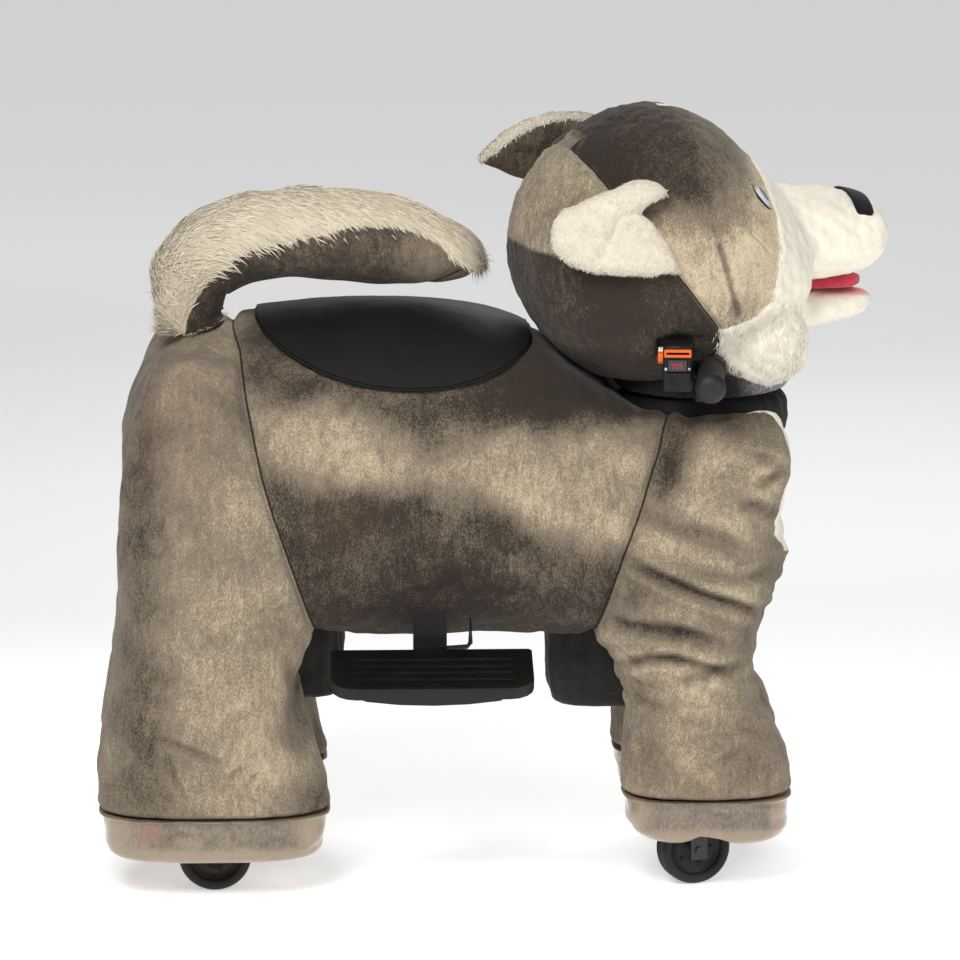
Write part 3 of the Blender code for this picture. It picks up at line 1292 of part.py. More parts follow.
# The knitted collar: (radius, height) round its section.
COLLAR = (
    (0.052, 0.6034), (0.098, 0.6034), (0.108, 0.609), (0.110, 0.6165), (0.107, 0.624), (0.097, 0.6295),
    (0.052, 0.6295),
)


def build_collar(steering):
    """The knitted ring under the head, and a cutter that leaves room for it."""
    collar = turned("collar", COLLAR, (0, 0, 0), KNIT_GREY, steering, sides=14)
    carve(collar, along_head("head_over_collar", HEAD, None, steering, 10, grow=SEWN_GAP))
    middle = (0.080, 0.6165)
    room = []
    for radius, height in COLLAR:
        room.append((
            radius + math.copysign(2 * CLEARANCE, radius - middle[0]),
            height + math.copysign(2 * CLEARANCE, height - middle[1] + 1e-6),
        ))
    return turned("collar_room", room, (0, 0, 0), None, steering, sides=14)


def build_head(steering, coin_room):
    """The stuffed head, which turns with the column, and what is sewn to it."""
    bar_path = [(x, y, BAR_HEIGHT) for x, y in BAR_PATH]
    head = along_head("head", HEAD, GREY_PLUSH, steering, 10)
    bar_channel = pipe("bar_channel", bar_path, BAR_RADIUS + 0.0012, parent=steering, sides=8)
    pocket = box(
        "stem_pocket", (-0.018, -0.026, 0.50), (BAR_AHEAD + 0.026, 0.026, COLUMN_TOP + 0.004),
        parent=steering,
    )
    carve(head, bar_channel, pocket, coin_room)
    collar_room = build_collar(steering)
    outside = along_head("head_outside", HEAD, None, steering, 10, grow=SEWN_GAP)
    muzzle = along_head("muzzle", MUZZLE, WHITE_PLUSH, steering, 8, 2.3)
    muzzle_outside = along_head("muzzle_outside", MUZZLE, None, steering, 8, 2.3, SEWN_GAP)
    carve(muzzle, outside)
    jaw = along_head("lower_jaw", JAW, WHITE_PLUSH, steering, 8, 2.3)
    jaw_outside = along_head("jaw_outside", JAW, None, steering, 8, 2.3, SEWN_GAP)
    carve(jaw, outside)
    tongue = along_head("tongue", TONGUE, TONGUE_RED, steering, 6, 2.6)
    carve(tongue, outside, muzzle_outside, jaw_outside)
    nose = ball("nose", (0.212, 0, 0.823), (0.022, 0.034, 0.021), NOSE_BLACK, steering, 10, 6)
    carve(nose, muzzle_outside)
    for side, word in SIDE_NAMES:
        eye = ball("eye_" + word, (0.040, side * 0.108, 0.857), (0.011, 0.021, 0.017), EYE_WHITE, steering,
                   rings=7, turn=side * 0.90)
        carve(eye, outside, muzzle_outside)
        cheek = ball(
            "cheek_" + word, (0.044, side * 0.076, 0.670), (0.066, 0.052, 0.055), WHITE_PLUSH, steering,
            12, 9, side * 0.3,
        )
        carve(cheek, outside, jaw_outside, muzzle_outside, collar_room, bar_channel, pocket)
        build_ear(side, word, steering, outside)
    return head


EARS = {
    "right": (
        (-0.078, -0.122, 0.832), (-0.122, -0.158, 0.832), (-0.178, -0.166, 0.834),
        (-0.236, -0.146, 0.832),
    ),
    "left": (
        (-0.086, 0.100, 0.886), (-0.128, 0.134, 0.887), (-0.180, 0.156, 0.886), (-0.230, 0.172, 0.882),
    ),
}
EAR_SIZES = ((0.014, 0.052), (0.014, 0.054), (0.011, 0.038), (0.004, 0.007))


def build_ear(side, word, steering, outside):
    """A flat stuffed ear, laid back, that narrows to its tip."""
    up = (0, -side * 0.25, 1) if side < 0 else (0, -0.45, 1)
    ear = swept("ear_" + word, EARS[word], EAR_SIZES, up, GREY_PLUSH, steering, 8, 1, 2.6)
    carve(ear, outside)


def build():
    build_frame()
    build_power()
    build_running_gear()
    build_covers()
    for side, word in SIDE_NAMES:
        build_footrest(side, word)
    build_tail()
    steering = frame_at("steering", KINGPIN, STEER_AT_REST)
    build_column(steering)
    coin_room = build_coin_unit(steering)
    build_head(steering, coin_room)


build()
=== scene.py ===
"""The looks of a coin-operated ride: a stuffed dog on hidden wheels that a child steers by its handlebar."""
import json
import logging
import math
from dataclasses import dataclass
from enum import Enum
from typing import Any, Callable, Sequence

import bmesh
import bpy
import numpy as np
from mathutils import Matrix, Vector

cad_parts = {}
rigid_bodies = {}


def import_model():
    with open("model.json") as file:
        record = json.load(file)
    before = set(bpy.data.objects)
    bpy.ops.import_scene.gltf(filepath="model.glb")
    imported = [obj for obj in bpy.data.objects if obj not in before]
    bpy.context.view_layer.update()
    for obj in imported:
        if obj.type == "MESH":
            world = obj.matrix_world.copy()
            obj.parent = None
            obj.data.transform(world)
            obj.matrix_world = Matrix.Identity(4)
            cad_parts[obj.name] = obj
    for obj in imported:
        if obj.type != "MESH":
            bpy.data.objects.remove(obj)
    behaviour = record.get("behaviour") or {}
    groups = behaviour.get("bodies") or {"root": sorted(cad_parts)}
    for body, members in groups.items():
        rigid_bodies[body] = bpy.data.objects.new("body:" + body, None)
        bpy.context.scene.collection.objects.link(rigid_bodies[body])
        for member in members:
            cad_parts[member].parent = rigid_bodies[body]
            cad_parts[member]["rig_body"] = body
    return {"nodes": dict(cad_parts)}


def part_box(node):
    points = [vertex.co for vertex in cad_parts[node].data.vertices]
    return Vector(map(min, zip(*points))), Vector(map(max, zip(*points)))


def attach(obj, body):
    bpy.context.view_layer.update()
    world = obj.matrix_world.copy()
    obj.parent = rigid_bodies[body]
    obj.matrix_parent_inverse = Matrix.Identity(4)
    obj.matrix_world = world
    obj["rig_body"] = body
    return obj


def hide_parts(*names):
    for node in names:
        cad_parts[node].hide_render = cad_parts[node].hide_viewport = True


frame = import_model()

LOG = logging.getLogger("ride")
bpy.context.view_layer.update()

Piece = bpy.types.Object
Array = np.ndarray
Colour = tuple[float, float, float]
Line = Sequence[Sequence[float]]
# A shape gives the points of a skin for angles round it and shares of its length.
Shape = Callable[[Array, Array], Array]


class Slot(Enum):
    """The record's material slots, one given with each new piece."""

    GREY_PLUSH = "grey_plush"
    WHITE_PLUSH = "white_plush"
    SHOE_FILM = "shoe_film"
    DARK_CLOTH = "dark_cloth"
    KNIT = "knit_grey"
    VINYL = "seat_vinyl"
    TONGUE = "tongue_red"
    BLACK_STEEL = "black_steel"
    BLACK_PLASTIC = "black_plastic"
    WHITE_PLASTIC = "white_plastic"
    NOSE = "nose_black"
    BLACK_RUBBER = "black_rubber"
    WHEEL_RUBBER = "wheel_rubber"


class Side(Enum):
    """The two sides of the animal, with the sign of Y there."""

    RIGHT = -1
    LEFT = 1

    @property
    def word(self) -> str:
        """The side's name as the CAD nodes have it."""
        return self.name.lower()


@dataclass(frozen=True)
class Ride:
    """The main sizes of the ride, in metres, from which every piece is placed."""

    wheelbase: float = 0.605
    kingpin_x: float = 0.256
    rear_track: float = 0.27
    front_track: float = 0.24
    wheel_radius: float = 0.045
    wheel_width: float = 0.03
    caster_trail: float = 0.015
    belly: float = 0.312
    back: float = 0.704
    half_width: float = 0.17
    rear_hem: float = 0.105
    front_hem: float = 0.118
    bar_height: float = 0.651
    steer: float = math.radians(18.0)

    @property
    def axle_x(self) -> float:
        """Where the rear axle is."""
        return self.kingpin_x - self.wheelbase

    def along(self, share: Array | float) -> Any:
        """A place between the rear axle and the front wheels' line."""
        return self.axle_x + share * self.wheelbase

    def level(self, share: Array | float) -> Any:
        """A height between the belly and the back."""
        return self.belly + share * (self.back - self.belly)

    def up_leg(self, share: Array, hem: float) -> Array:
        """A height on a leg: 0 is its hem, 1 the belly and 2 the back."""
        return np.where(share <= 1, hem + share * (self.belly - hem), self.level(share - 1))

    def steered(self) -> Matrix:
        """The place of what turns with the handlebar, at rest."""
        return Matrix.Translation((self.kingpin_x, 0, 0)) @ Matrix.Rotation(self.steer, 4, "Z")


RIDE = Ride()

# Torso sections: share of the wheelbase, lower and upper height shares, share of the half width, and
# how square the upper half is.
TORSO = (
    (-0.172, 0.44, 0.62, 0.38, 2.2), (-0.142, 0.22, 0.81, 0.78, 2.2), (-0.06, 0.07, 0.93, 0.96, 2.2),
    (0.15, 0.0, 0.995, 1.0, 2.2), (0.41, 0.0, 1.005, 1.0, 2.2), (0.64, 0.0, 0.955, 0.98, 2.5),
    (0.78, 0.0, 0.737, 0.96, 4.0), (0.92, 0.0, 0.695, 0.92, 4.2), (1.07, 0.02, 0.675, 0.86, 3.0),
    (1.15, 0.08, 0.63, 0.72, 2.4), (1.192, 0.22, 0.53, 0.44, 2.2),
)
# Leg sections: height share, reach behind and ahead of the leg's axis, reach outwards and inwards.
REAR_LEG = (
    (0.0, 0.142, 0.142, 0.081, 0.081), (0.006, 0.142, 0.142, 0.081, 0.081),
    (0.05, 0.1435, 0.1425, 0.0815, 0.0815), (0.36, 0.141, 0.124, 0.077, 0.083),
    (0.8, 0.13, 0.102, 0.071, 0.088), (1.1, 0.119, 0.126, 0.07, 0.1), (1.34, 0.114, 0.126, 0.068, 0.105),
    (1.62, 0.1, 0.082, 0.052, 0.103), (1.88, 0.064, 0.032, 0.01, 0.09),
)
FRONT_LEG = (
    (0.0, 0.103, 0.106, 0.077, 0.076), (0.006, 0.103, 0.106, 0.077, 0.076),
    (0.26, 0.105, 0.104, 0.074, 0.075), (0.48, 0.097, 0.076, 0.063, 0.07),
    (0.74, 0.098, 0.061, 0.062, 0.075), (1.0, 0.136, 0.074, 0.061, 0.083),
    (1.2, 0.147, 0.099, 0.059, 0.092), (1.54, 0.092, 0.112, 0.046, 0.095),
    (1.705, 0.052, 0.088, 0.014, 0.08),
)
# Head sections ahead of the steering axis: distance, lower and upper height, half width.
HEAD = (
    (-0.238, 0.745, 0.825, 0.05), (-0.222, 0.698, 0.868, 0.096), (-0.184, 0.65, 0.916, 0.134),
    (-0.125, 0.616, 0.952, 0.158), (-0.06, 0.608, 0.964, 0.166), (0.0, 0.616, 0.941, 0.162),
    (0.048, 0.634, 0.897, 0.144), (0.09, 0.66, 0.85, 0.114), (0.118, 0.69, 0.812, 0.078),
)
MUZZLE = (
    (0.06, 0.726, 0.85, 0.078), (0.12, 0.726, 0.846, 0.069), (0.186, 0.731, 0.838, 0.056),
    (0.216, 0.737, 0.829, 0.048), (0.234, 0.75, 0.813, 0.036), (0.242, 0.768, 0.796, 0.017),
)
JAW = (
    (0.05, 0.664, 0.722, 0.066), (0.12, 0.666, 0.718, 0.054), (0.188, 0.675, 0.712, 0.039),
    (0.214, 0.682, 0.71, 0.028), (0.227, 0.691, 0.705, 0.013),
)
TONGUE = (
    (0.08, 0.719, 0.728, 0.029), (0.13, 0.716, 0.729, 0.031), (0.176, 0.713, 0.7325, 0.029),
    (0.198, 0.713, 0.7325, 0.023), (0.208, 0.7165, 0.729, 0.009),
)


def spline(rows: Line, at: Array) -> Array:
    """Reads a table of sections smoothly.

    Args:
        rows: The table, one section a row.
        at: Places in it, from 0 at the first row to its length less one at the last.

    Returns:
        One row for each place.
    """
    table = np.asarray(rows, float)
    table = np.vstack([2 * table[0] - table[1], table, 2 * table[-1] - table[-2]])
    at = np.clip(at, 0, len(rows) - 1 - 1e-9)
    first = at.astype(int)
    part = (at - first)[:, None]
    a, b, c, d = (table[first + step] for step in range(4))
    return (
        (1 - part) ** 3 * a + (3 * part**3 - 6 * part**2 + 4) * b
        + (-3 * part**3 + 3 * part**2 + 3 * part + 1) * c + part**3 * d
    ) / 6


def through(points: Line, count: int) -> Array:
    """Reads points evenly from a smooth line that passes through all of the given ones.

    Args:
        points: The given ones, one a row.
        count: How many to read.

    Returns:
        One row for each.
    """
    table = np.asarray(points, float)
    table = np.vstack([2 * table[0] - table[1], table, 2 * table[-1] - table[-2]])
    at = np.linspace(0, len(points) - 1 - 1e-9, count)
    first = at.astype(int)
    part = (at - first)[:, None]
    a, b, c, d = (table[first + step] for step in range(4))
    return 0.5 * (
        2 * b + (c - a) * part + (2 * a - 5 * b + 4 * c - d) * part**2 + (3 * b - a - 3 * c + d) * part**3
    )


def oval(
    turn: Array, half_u: Array, half_v: Array, up: Array | float = 2.0, down: float | None = None,
) -> tuple[Array, Array]:
    """Points of a rounded section.

    Args:
        turn: Angles round it.
        half_u: Its half width at each of them.
        half_v: Its half height there.
        up: How square its upper half is; 2 is round.
        down: How square its lower half is, if not the same.

    Returns:
        The two coordinates.
    """
    power = np.where(np.sin(turn) >= 0, up, up if down is None else down)
    u, v = np.cos(turn), np.sin(turn)
    return half_u * np.sign(u) * np.abs(u) ** (2 / power), half_v * np.sign(v) * np.abs(v) ** (2 / power)


def ripples(points: Array, size: float, seed: int) -> Array:
    """Soft uneven waves, the same on every run.

    Args:
        points: Where they are read.
        size: The length of a middling wave.
        seed: Which of many sets of waves.

    Returns:
        A height for each point, about -1 to 1.
    """
    waves = 9
    draw = np.random.default_rng(seed)
    total = np.zeros(len(points))
    for _ in range(waves):
        way = draw.normal(size=3)
        way /= np.linalg.norm(way)
        pace, start = draw.uniform(0.6, 1.6), draw.uniform(0, 2 * math.pi)
        total += np.sin(points @ way * (2 * math.pi * pace / size) + start)
    return total / math.sqrt(waves)


def off_line(flat: Array, line: Line) -> tuple[Array, Array]:
    """How far points of a plane are from a drawn line.

    Args:
        flat: The points, two numbers each.
        line: The line's own points.

    Returns:
        The distance, above zero on the line's left, and the share of the line's length beside each point.
    """
    line_points = np.asarray(line, float)
    lengths = np.linalg.norm(np.diff(line_points, axis=0), axis=1)
    passed = np.concatenate([[0], np.cumsum(lengths)]) / lengths.sum()
    best = np.full(len(flat), 1e9)
    signed, share = best.copy(), np.zeros(len(flat))
    for i, (start, end) in enumerate(zip(line_points, line_points[1:])):
        run = end - start
        part = np.clip((flat - start) @ run / (run @ run), 0, 1)
        away = flat - start - part[:, None] * run
        distance = np.linalg.norm(away, axis=1)
        side = np.sign(run[0] * (flat[:, 1] - start[1]) - run[1] * (flat[:, 0] - start[0]))
        near = distance < best
        best = np.where(near, distance, best)
        signed = np.where(near, distance * np.where(side == 0, 1, side), signed)
        share = np.where(near, passed[i] + part * (passed[i + 1] - passed[i]), share)
    return signed, share


def inside(flat: Array, outline: Line) -> Array:
    """How far points of a plane are inside a closed outline.

    Args:
        flat: The points, two numbers each.
        outline: The outline's own points, the first of them not repeated.

    Returns:
        The distance to the outline, below zero outside it.
    """
    points = np.asarray([*outline, outline[0]], float)
    within = np.zeros(len(flat), bool)
    for (x0, y0), (x1, y1) in zip(points, points[1:]):
        crosses = (y0 > flat[:, 1]) != (y1 > flat[:, 1])
        at = (x1 - x0) * (flat[:, 1] - y0) / (y1 - y0 if y1 != y0 else 1e-9) + x0
        within ^= crosses & (flat[:, 0] < at)
    distance = np.abs(off_line(flat, points)[0])
    return np.where(within, distance, -distance)


def bell(distance: Array, width: float) -> Array:
    """1 on a line, falling to nothing over a width to each side of it."""
    return np.exp(-((distance / width) ** 2))


def ramp(value: Array, low: float, high: float) -> Array:
    """0 below low, 1 above high and a smooth step in between."""
    share = np.clip((value - low) / (high - low), 0, 1)
    return share * share * (3 - 2 * share)


def unit(rows: Array, least: float = 0.0) -> Array:
    """Rows brought to length 1; least keeps a row of zeros from being divided by zero."""
    return rows / (np.linalg.norm(rows, axis=1)[:, None] + least)


def beside(line: Array, up: Any) -> tuple[Array, Array]:
    """Square directions along a line.

    Args:
        line: The line's points.
        up: A direction, or one for each point, that the line never runs along.

    Returns:
        For each point, the direction sideways and the direction most nearly up.
    """
    ahead = unit(np.gradient(line, axis=0))
    side = unit(np.cross(ahead, up))
    return side, np.cross(side, ahead)


class Value:
    """A number that changes over a surface, with the sums that a finish needs."""

    def __init__(self, shader: "Shader", socket: bpy.types.NodeSocket) -> None:
        """Wraps a socket of a shader."""
        self.shader = shader
        self.socket = socket

    def _sum(self, operation: str, first: Any, second: Any = 0.0) -> "Value":
        """One Math node."""
        made = self.shader.node("ShaderNodeMath", {"operation": operation}, {0: first, 1: second})
        return Value(self.shader, made.outputs[0])

    def __add__(self, other: Any) -> "Value":
        """The sum."""
        return self._sum("ADD", self, other)

    __radd__ = __add__

    def __sub__(self, other: Any) -> "Value":
        """The difference."""
        return self._sum("SUBTRACT", self, other)

    def __rsub__(self, other: Any) -> "Value":
        """The difference from a number."""
        return self._sum("SUBTRACT", other, self)

    def __mul__(self, other: Any) -> "Value":
        """The product."""
        return self._sum("MULTIPLY", self, other)

    __rmul__ = __mul__

    def __abs__(self) -> "Value":
        """The size without its sign."""
        return self._sum("ABSOLUTE", self)

    def sine(self) -> "Value":
        """The sine."""
        return self._sum("SINE", self)

    def step(self, low: float, high: float) -> "Value":
        """A smooth step.

        Args:
            low: Where it leaves 0.
            high: Where it reaches 1.

        Returns:
            The step's height.
        """
        made = self.shader.node(
            "ShaderNodeMapRange", {"interpolation_type": "SMOOTHSTEP"},
            {"Value": self, "From Min": low, "From Max": high},
        )
        return Value(self.shader, made.outputs[0])


class Shader:
    """One material while it is being mixed."""

    def __init__(self, name: str, roughness: float, **constants: Any) -> None:
        """Starts a material.

        Args:
            name: Its name.
            roughness: Its roughness where nothing is linked to that socket.
            **constants: Other sockets of the surface that are the same all over it.
        """
        self.material = bpy.data.materials.new(name)
        self.material.use_nodes = True
        self.tree = self.material.node_tree
        self.surface = self.tree.nodes["Principled BSDF"]
        self.surface.inputs["Roughness"].default_value = roughness
        for socket, value in constants.items():
            self.surface.inputs[socket.replace("_", " ")].default_value = value
        self.place = self.node("ShaderNodeTexCoord").outputs["Object"]

    def node(
        self, kind: str, settings: dict[str, Any] | None = None, inputs: dict[Any, Any] | None = None,
    ) -> bpy.types.Node:
        """Adds a node.

        Args:
            kind: Its type.
            settings: What is set on the node itself.
            inputs: Values or links of its sockets, by name or number.

        Returns:
            The node.
        """
        made = self.tree.nodes.new(kind)
        for name, value in (settings or {}).items():
            setattr(made, name, value)
        for name, value in (inputs or {}).items():
            self.join(value, made.inputs[name])
        return made

    def join(self, value: Any, socket: bpy.types.NodeSocket) -> None:
        """Links a value to a socket, or sets it there.

        Args:
            value: A link, a plain number or a colour.
            socket: Where it goes.
        """
        if isinstance(value, Value):
            value = value.socket
        if isinstance(value, bpy.types.NodeSocket):
            self.tree.links.new(value, socket)
        elif socket.type == "RGBA" and len(value) == 3:
            socket.default_value = (*value, 1.0)
        else:
            socket.default_value = value

    def drawn(self, name: str) -> Value:
        """A number painted on the mesh."""
        made = self.node("ShaderNodeAttribute", {"attribute_name": name})
        return Value(self, made.outputs["Fac"])

    def stretched(self, stretch: Sequence[float], turn: Sequence[float] = (0, 0, 0)) -> Any:
        """The surface's own place, drawn out.

        Args:
            stretch: How finely a pattern repeats along each axis; below 1 draws it out.
            turn: Angles that it is turned by.

        Returns:
            The place, for a pattern to read.
        """
        made = self.node(
            "ShaderNodeMapping", {}, {"Vector": self.place, "Rotation": turn, "Scale": stretch},
        )
        return made.outputs[0]

    def noise(
        self, scale: float, detail: float = 2.0, roughness: float = 0.5, distortion: float = 0.0,
        place: Any = None,
    ) -> Value:
        """Cloudy variation.

        Args:
            scale: How fine it is.
            detail: How many finer clouds are laid over the first.
            roughness: How strong those are.
            distortion: How far it is swirled.
            place: Where it is read, if not at the surface's own place.

        Returns:
            The cloud's strength, 0 to 1.
        """
        made = self.node("ShaderNodeTexNoise", {}, {
            "Vector": place or self.place, "Scale": scale, "Detail": detail, "Roughness": roughness,
            "Distortion": distortion,
        })
        return Value(self, made.outputs[0])

    def cells(self, scale: float) -> Value:
        """Distance within a pattern of cells."""
        made = self.node("ShaderNodeTexVoronoi", {}, {"Vector": self.place, "Scale": scale})
        return Value(self, made.outputs["Distance"])

    def part(self, axis: str) -> Value:
        """One coordinate of the surface's own place."""
        made = self.node("ShaderNodeSeparateXYZ", {}, {0: self.place})
        return Value(self, made.outputs[axis])

    def mix(self, amount: Any, first: Any, second: Any) -> Any:
        """A colour between two others."""
        made = self.node("ShaderNodeMix", {"data_type": "RGBA"}, {0: amount, 6: first, 7: second})
        return made.outputs[2]

    def colour(self, value: Any) -> None:
        """Gives the surface its colour."""
        self.join(value, self.surface.inputs["Base Color"])

    def rough(self, value: Value) -> None:
        """Gives the surface a roughness that changes over it."""
        self.join(value, self.surface.inputs["Roughness"])

    def relief(self, height: Value, depth: float, strength: float = 1.0) -> None:
        """Raises the surface's shading by a height of 0 to 1 times a depth in metres."""
        made = self.node("ShaderNodeBump", {}, {"Height": height, "Distance": depth, "Strength": strength})
        self.join(made.outputs[0], self.surface.inputs["Normal"])


@dataclass(frozen=True)
class Finish:
    """What a piece is made of."""

    name: str

    def made(self) -> bpy.types.Material:
        """The material, mixed the first time that it is asked for."""
        return bpy.data.materials.get(self.name) or self.mixed().material

    def mixed(self) -> Shader:
        """Mixes the material."""
        raise NotImplementedError


@dataclass(frozen=True)
class Plush(Finish):
    """Short pile whose nap lies in patches; it reads tone, pale and seam from the mesh, and the tone also
    carries painted shade and shadow.
    """

    light: Colour = (0.556, 0.458, 0.306)
    middle: Colour = (0.21, 0.168, 0.121)
    dark: Colour = (0.036, 0.028, 0.022)
    pale: Colour = (0.9, 0.85, 0.735)
    nap: float = 0.35
    swirl: float = 0.45
    fleck: float = 1.15
    fleck_scale: float = 620.0
    lean: float = 0.6
    blushed: bool = False

    def mixed(self) -> Shader:
        """Three tones of pile, pale cloth where the mesh says so, and dark stitched lines."""
        shader = Shader(self.name, 0.95, Sheen_Weight=0.1, Sheen_Roughness=0.5, Specular_IOR_Level=0.1)
        # The tone holds the nap's pattern and also the painted shade and shadow laid on the mesh.
        tone, pale, seam = (shader.drawn(name) for name in ("tone", "pale", "seam"))
        slanted = shader.stretched((1.0, 1.0, 0.55), (0.0, self.lean, 0.0))
        fleck = shader.noise(self.fleck_scale, 2.5, 0.65, place=slanted)
        combed = shader.stretched((1.0, 1.0, 0.25), (0.0, self.lean * 0.8, 0.0))
        strokes = shader.noise(150.0, 2.0, 0.6, 0.4, combed)
        swirl = shader.noise(30.0, 3.0, 0.6, 1.3)
        nap = shader.noise(7.5, 2.0, 0.5, 0.8)
        pile = tone + (nap - 0.5) * self.nap + (swirl - 0.5) * self.swirl + (fleck - 0.5) * self.fleck
        pile = pile + (strokes - 0.5) * 0.45
        low = shader.mix(pile.step(-0.15, 0.52), self.dark, self.middle)
        grey = shader.mix(pile.step(0.42, 1.12), low, self.light)
        warm = shader.mix(shader.noise(4.0, 1.0).step(0.52, 0.75) * 0.1, grey, (0.3, 0.165, 0.105))
        tuft = shader.noise(120.0, 2.0, 0.5, 0.6, shader.stretched((1.0, 1.0, 0.6), (0.0, -0.5, 0.0)))
        bright = (tuft * 0.55 + swirl * 0.45).step(0.25, 0.75)
        shaded = tuple(part * low for part, low in zip(self.pale, (0.89, 0.87, 0.83)))
        cream = shader.mix(bright, shaded, self.pale)
        edge = (pale + (fleck - 0.5) * 0.55 + (swirl - 0.5) * 0.5).step(-0.1, 0.14)
        if self.blushed:
            cream = shader.mix(shader.drawn("blush"), cream, (0.7, 0.25, 0.24))
        cloth = shader.mix(edge, warm, cream)
        line = 1.0 - abs(seam).step(0.7, 1.9)
        shader.colour(shader.mix(line * 0.9, cloth, (0.01, 0.008, 0.006)))
        pits = fleck * 0.5 + tuft * 0.3 + swirl * 0.35 - line * 0.5
        shader.relief(pits, 0.0022, 0.55)
        return shader


@dataclass(frozen=True)
class Film(Finish):
    """Clear glossy film drawn tight over plush: pale and cloudy at the sole and round the ends."""

    def mixed(self) -> Shader:
        """Plush seen through film, with soft streaks in it."""
        shader = Shader(
            self.name, 0.55, Coat_Weight=1.0, Coat_Roughness=0.12, Coat_IOR=1.48, Specular_IOR_Level=0.4,
        )
        haze, worn = shader.drawn("haze"), shader.drawn("worn")
        fleck = shader.noise(300.0, 2.0, 0.6, place=shader.stretched((1.0, 1.0, 0.6), (0.0, 0.5, 0.0)))
        cloud = shader.noise(22.0, 3.0, 0.55, 1.0)
        streak = shader.noise(60.0, 2.0, 0.5, 0.3, shader.stretched((1.6, 1.6, 0.22), (0.0, 0.35, 0.0)))
        pile = (cloud * 0.9 + fleck * 0.9 - 0.4).step(0.1, 0.9)
        plush = shader.mix(pile, (0.105, 0.08, 0.056), (0.29, 0.226, 0.155))
        misted = (haze + (cloud - 0.5) * 0.6 + (streak - 0.5) * 0.35).step(0.15, 0.95)
        under = shader.mix(misted * 0.8, plush, (0.35, 0.265, 0.175))
        shader.colour(shader.mix(worn * 0.65, under, (0.33, 0.13, 0.08)))
        shader.rough(0.42 + cloud * 0.3)
        shader.relief(streak * 0.7 + cloud * 0.6 + fleck * 0.12, 0.0016, 0.5)
        return shader


@dataclass(frozen=True)
class Leather(Finish):
    """Black coated cloth with a fine grain."""

    base: Colour = (0.006, 0.0055, 0.0054)

    def mixed(self) -> Shader:
        """Grain of small cells, rubbed a little paler in patches."""
        shader = Shader(self.name, 0.6, Specular_IOR_Level=0.2)
        grain = shader.cells(900.0)
        crease = shader.noise(260.0, 3.0, 0.6, 0.5)
        rub = shader.noise(9.0, 2.0, 0.5, 0.4)
        paler = tuple(part * 2.0 for part in self.base)
        shader.colour(shader.mix(rub.step(0.35, 0.8) * 0.55 + crease * 0.15, self.base, paler))
        shader.rough(0.54 + rub * 0.18 + crease * 0.08)
        shader.relief(grain * 0.6 + crease * 0.5, 0.0006, 0.6)
        return shader


@dataclass(frozen=True)
class Cloth(Finish):
    """Woven or fleecy dark cloth."""

    base: Colour = (0.016, 0.015, 0.0145)
    weave: float = 900.0
    sheen: float = 0.15

    def mixed(self) -> Shader:
        """Crossed threads with dust in the folds."""
        shader = Shader(self.name, 0.82, Sheen_Weight=self.sheen, Specular_IOR_Level=0.25)
        across = (shader.part("X") * self.weave * 2.0 + shader.part("Y") * self.weave * 1.7).sine()
        down = (shader.part("Z") * self.weave * 2.2).sine()
        fuzz = shader.noise(420.0, 2.0, 0.6)
        cloud = shader.noise(16.0, 3.0, 0.6)
        paler = tuple(part * 2.3 + 0.004 for part in self.base)
        shader.colour(shader.mix((cloud * 0.7 + fuzz * 0.5).step(0.35, 0.95), self.base, paler))
        shader.relief(across * 0.2 + down * 0.2 + fuzz * 0.8, 0.0008, 0.5)
        return shader


@dataclass(frozen=True)
class Knit(Finish):
    """Ribbed knitted wool in two greys, painted near-black as shadow where the mesh says that it isn't pale.
    """

    def mixed(self) -> Shader:
        """Loops and flecked yarn."""
        shader = Shader(self.name, 0.9, Sheen_Weight=0.12, Specular_IOR_Level=0.2)
        yarn = shader.noise(170.0, 3.0, 0.65, 0.8)
        loops = shader.cells(260.0)
        light = (yarn * 1.3 - loops * 0.35).step(0.2, 0.8)
        knit = shader.mix(light, (0.075, 0.068, 0.08), (0.3, 0.28, 0.32))
        # Where pale is low the knit is painted near-black, as shadow under the head.
        shader.colour(shader.mix(shader.drawn("pale"), (0.01, 0.009, 0.009), knit))
        shader.relief(yarn * 0.6 - loops * 0.8, 0.0016, 0.8)
        return shader


@dataclass(frozen=True)
class Moulded(Finish):
    """Moulded plastic or rubber with a fine spark-eroded texture and some handling wear."""

    base: Colour = (0.006, 0.0058, 0.0056)
    gloss: float = 0.45
    grain: float = 0.00025
    dust: float = 0.5

    def mixed(self) -> Shader:
        """Fine texture, rubbed glossier in patches and a little dusty."""
        shader = Shader(self.name, self.gloss, Specular_IOR_Level=0.35)
        fine = shader.noise(1300.0, 2.0, 0.6)
        rub = shader.noise(26.0, 3.0, 0.6, 0.4)
        scratch = shader.noise(90.0, 2.0, 0.7, 0.2, shader.stretched((0.25, 1.5, 1.0), (0.2, 0.1, 0.5)))
        paler = tuple(part * 1.5 + 0.006 for part in self.base)
        marks = (rub * 0.8 + scratch * 0.6).step(0.62, 0.95) * self.dust
        shader.colour(shader.mix(marks, self.base, paler))
        shader.rough(self.gloss + (rub - 0.5) * 0.22 + scratch.step(0.6, 0.8) * 0.1)
        shader.relief(fine * 0.8 + scratch * 0.15, self.grain, 0.7)
        return shader


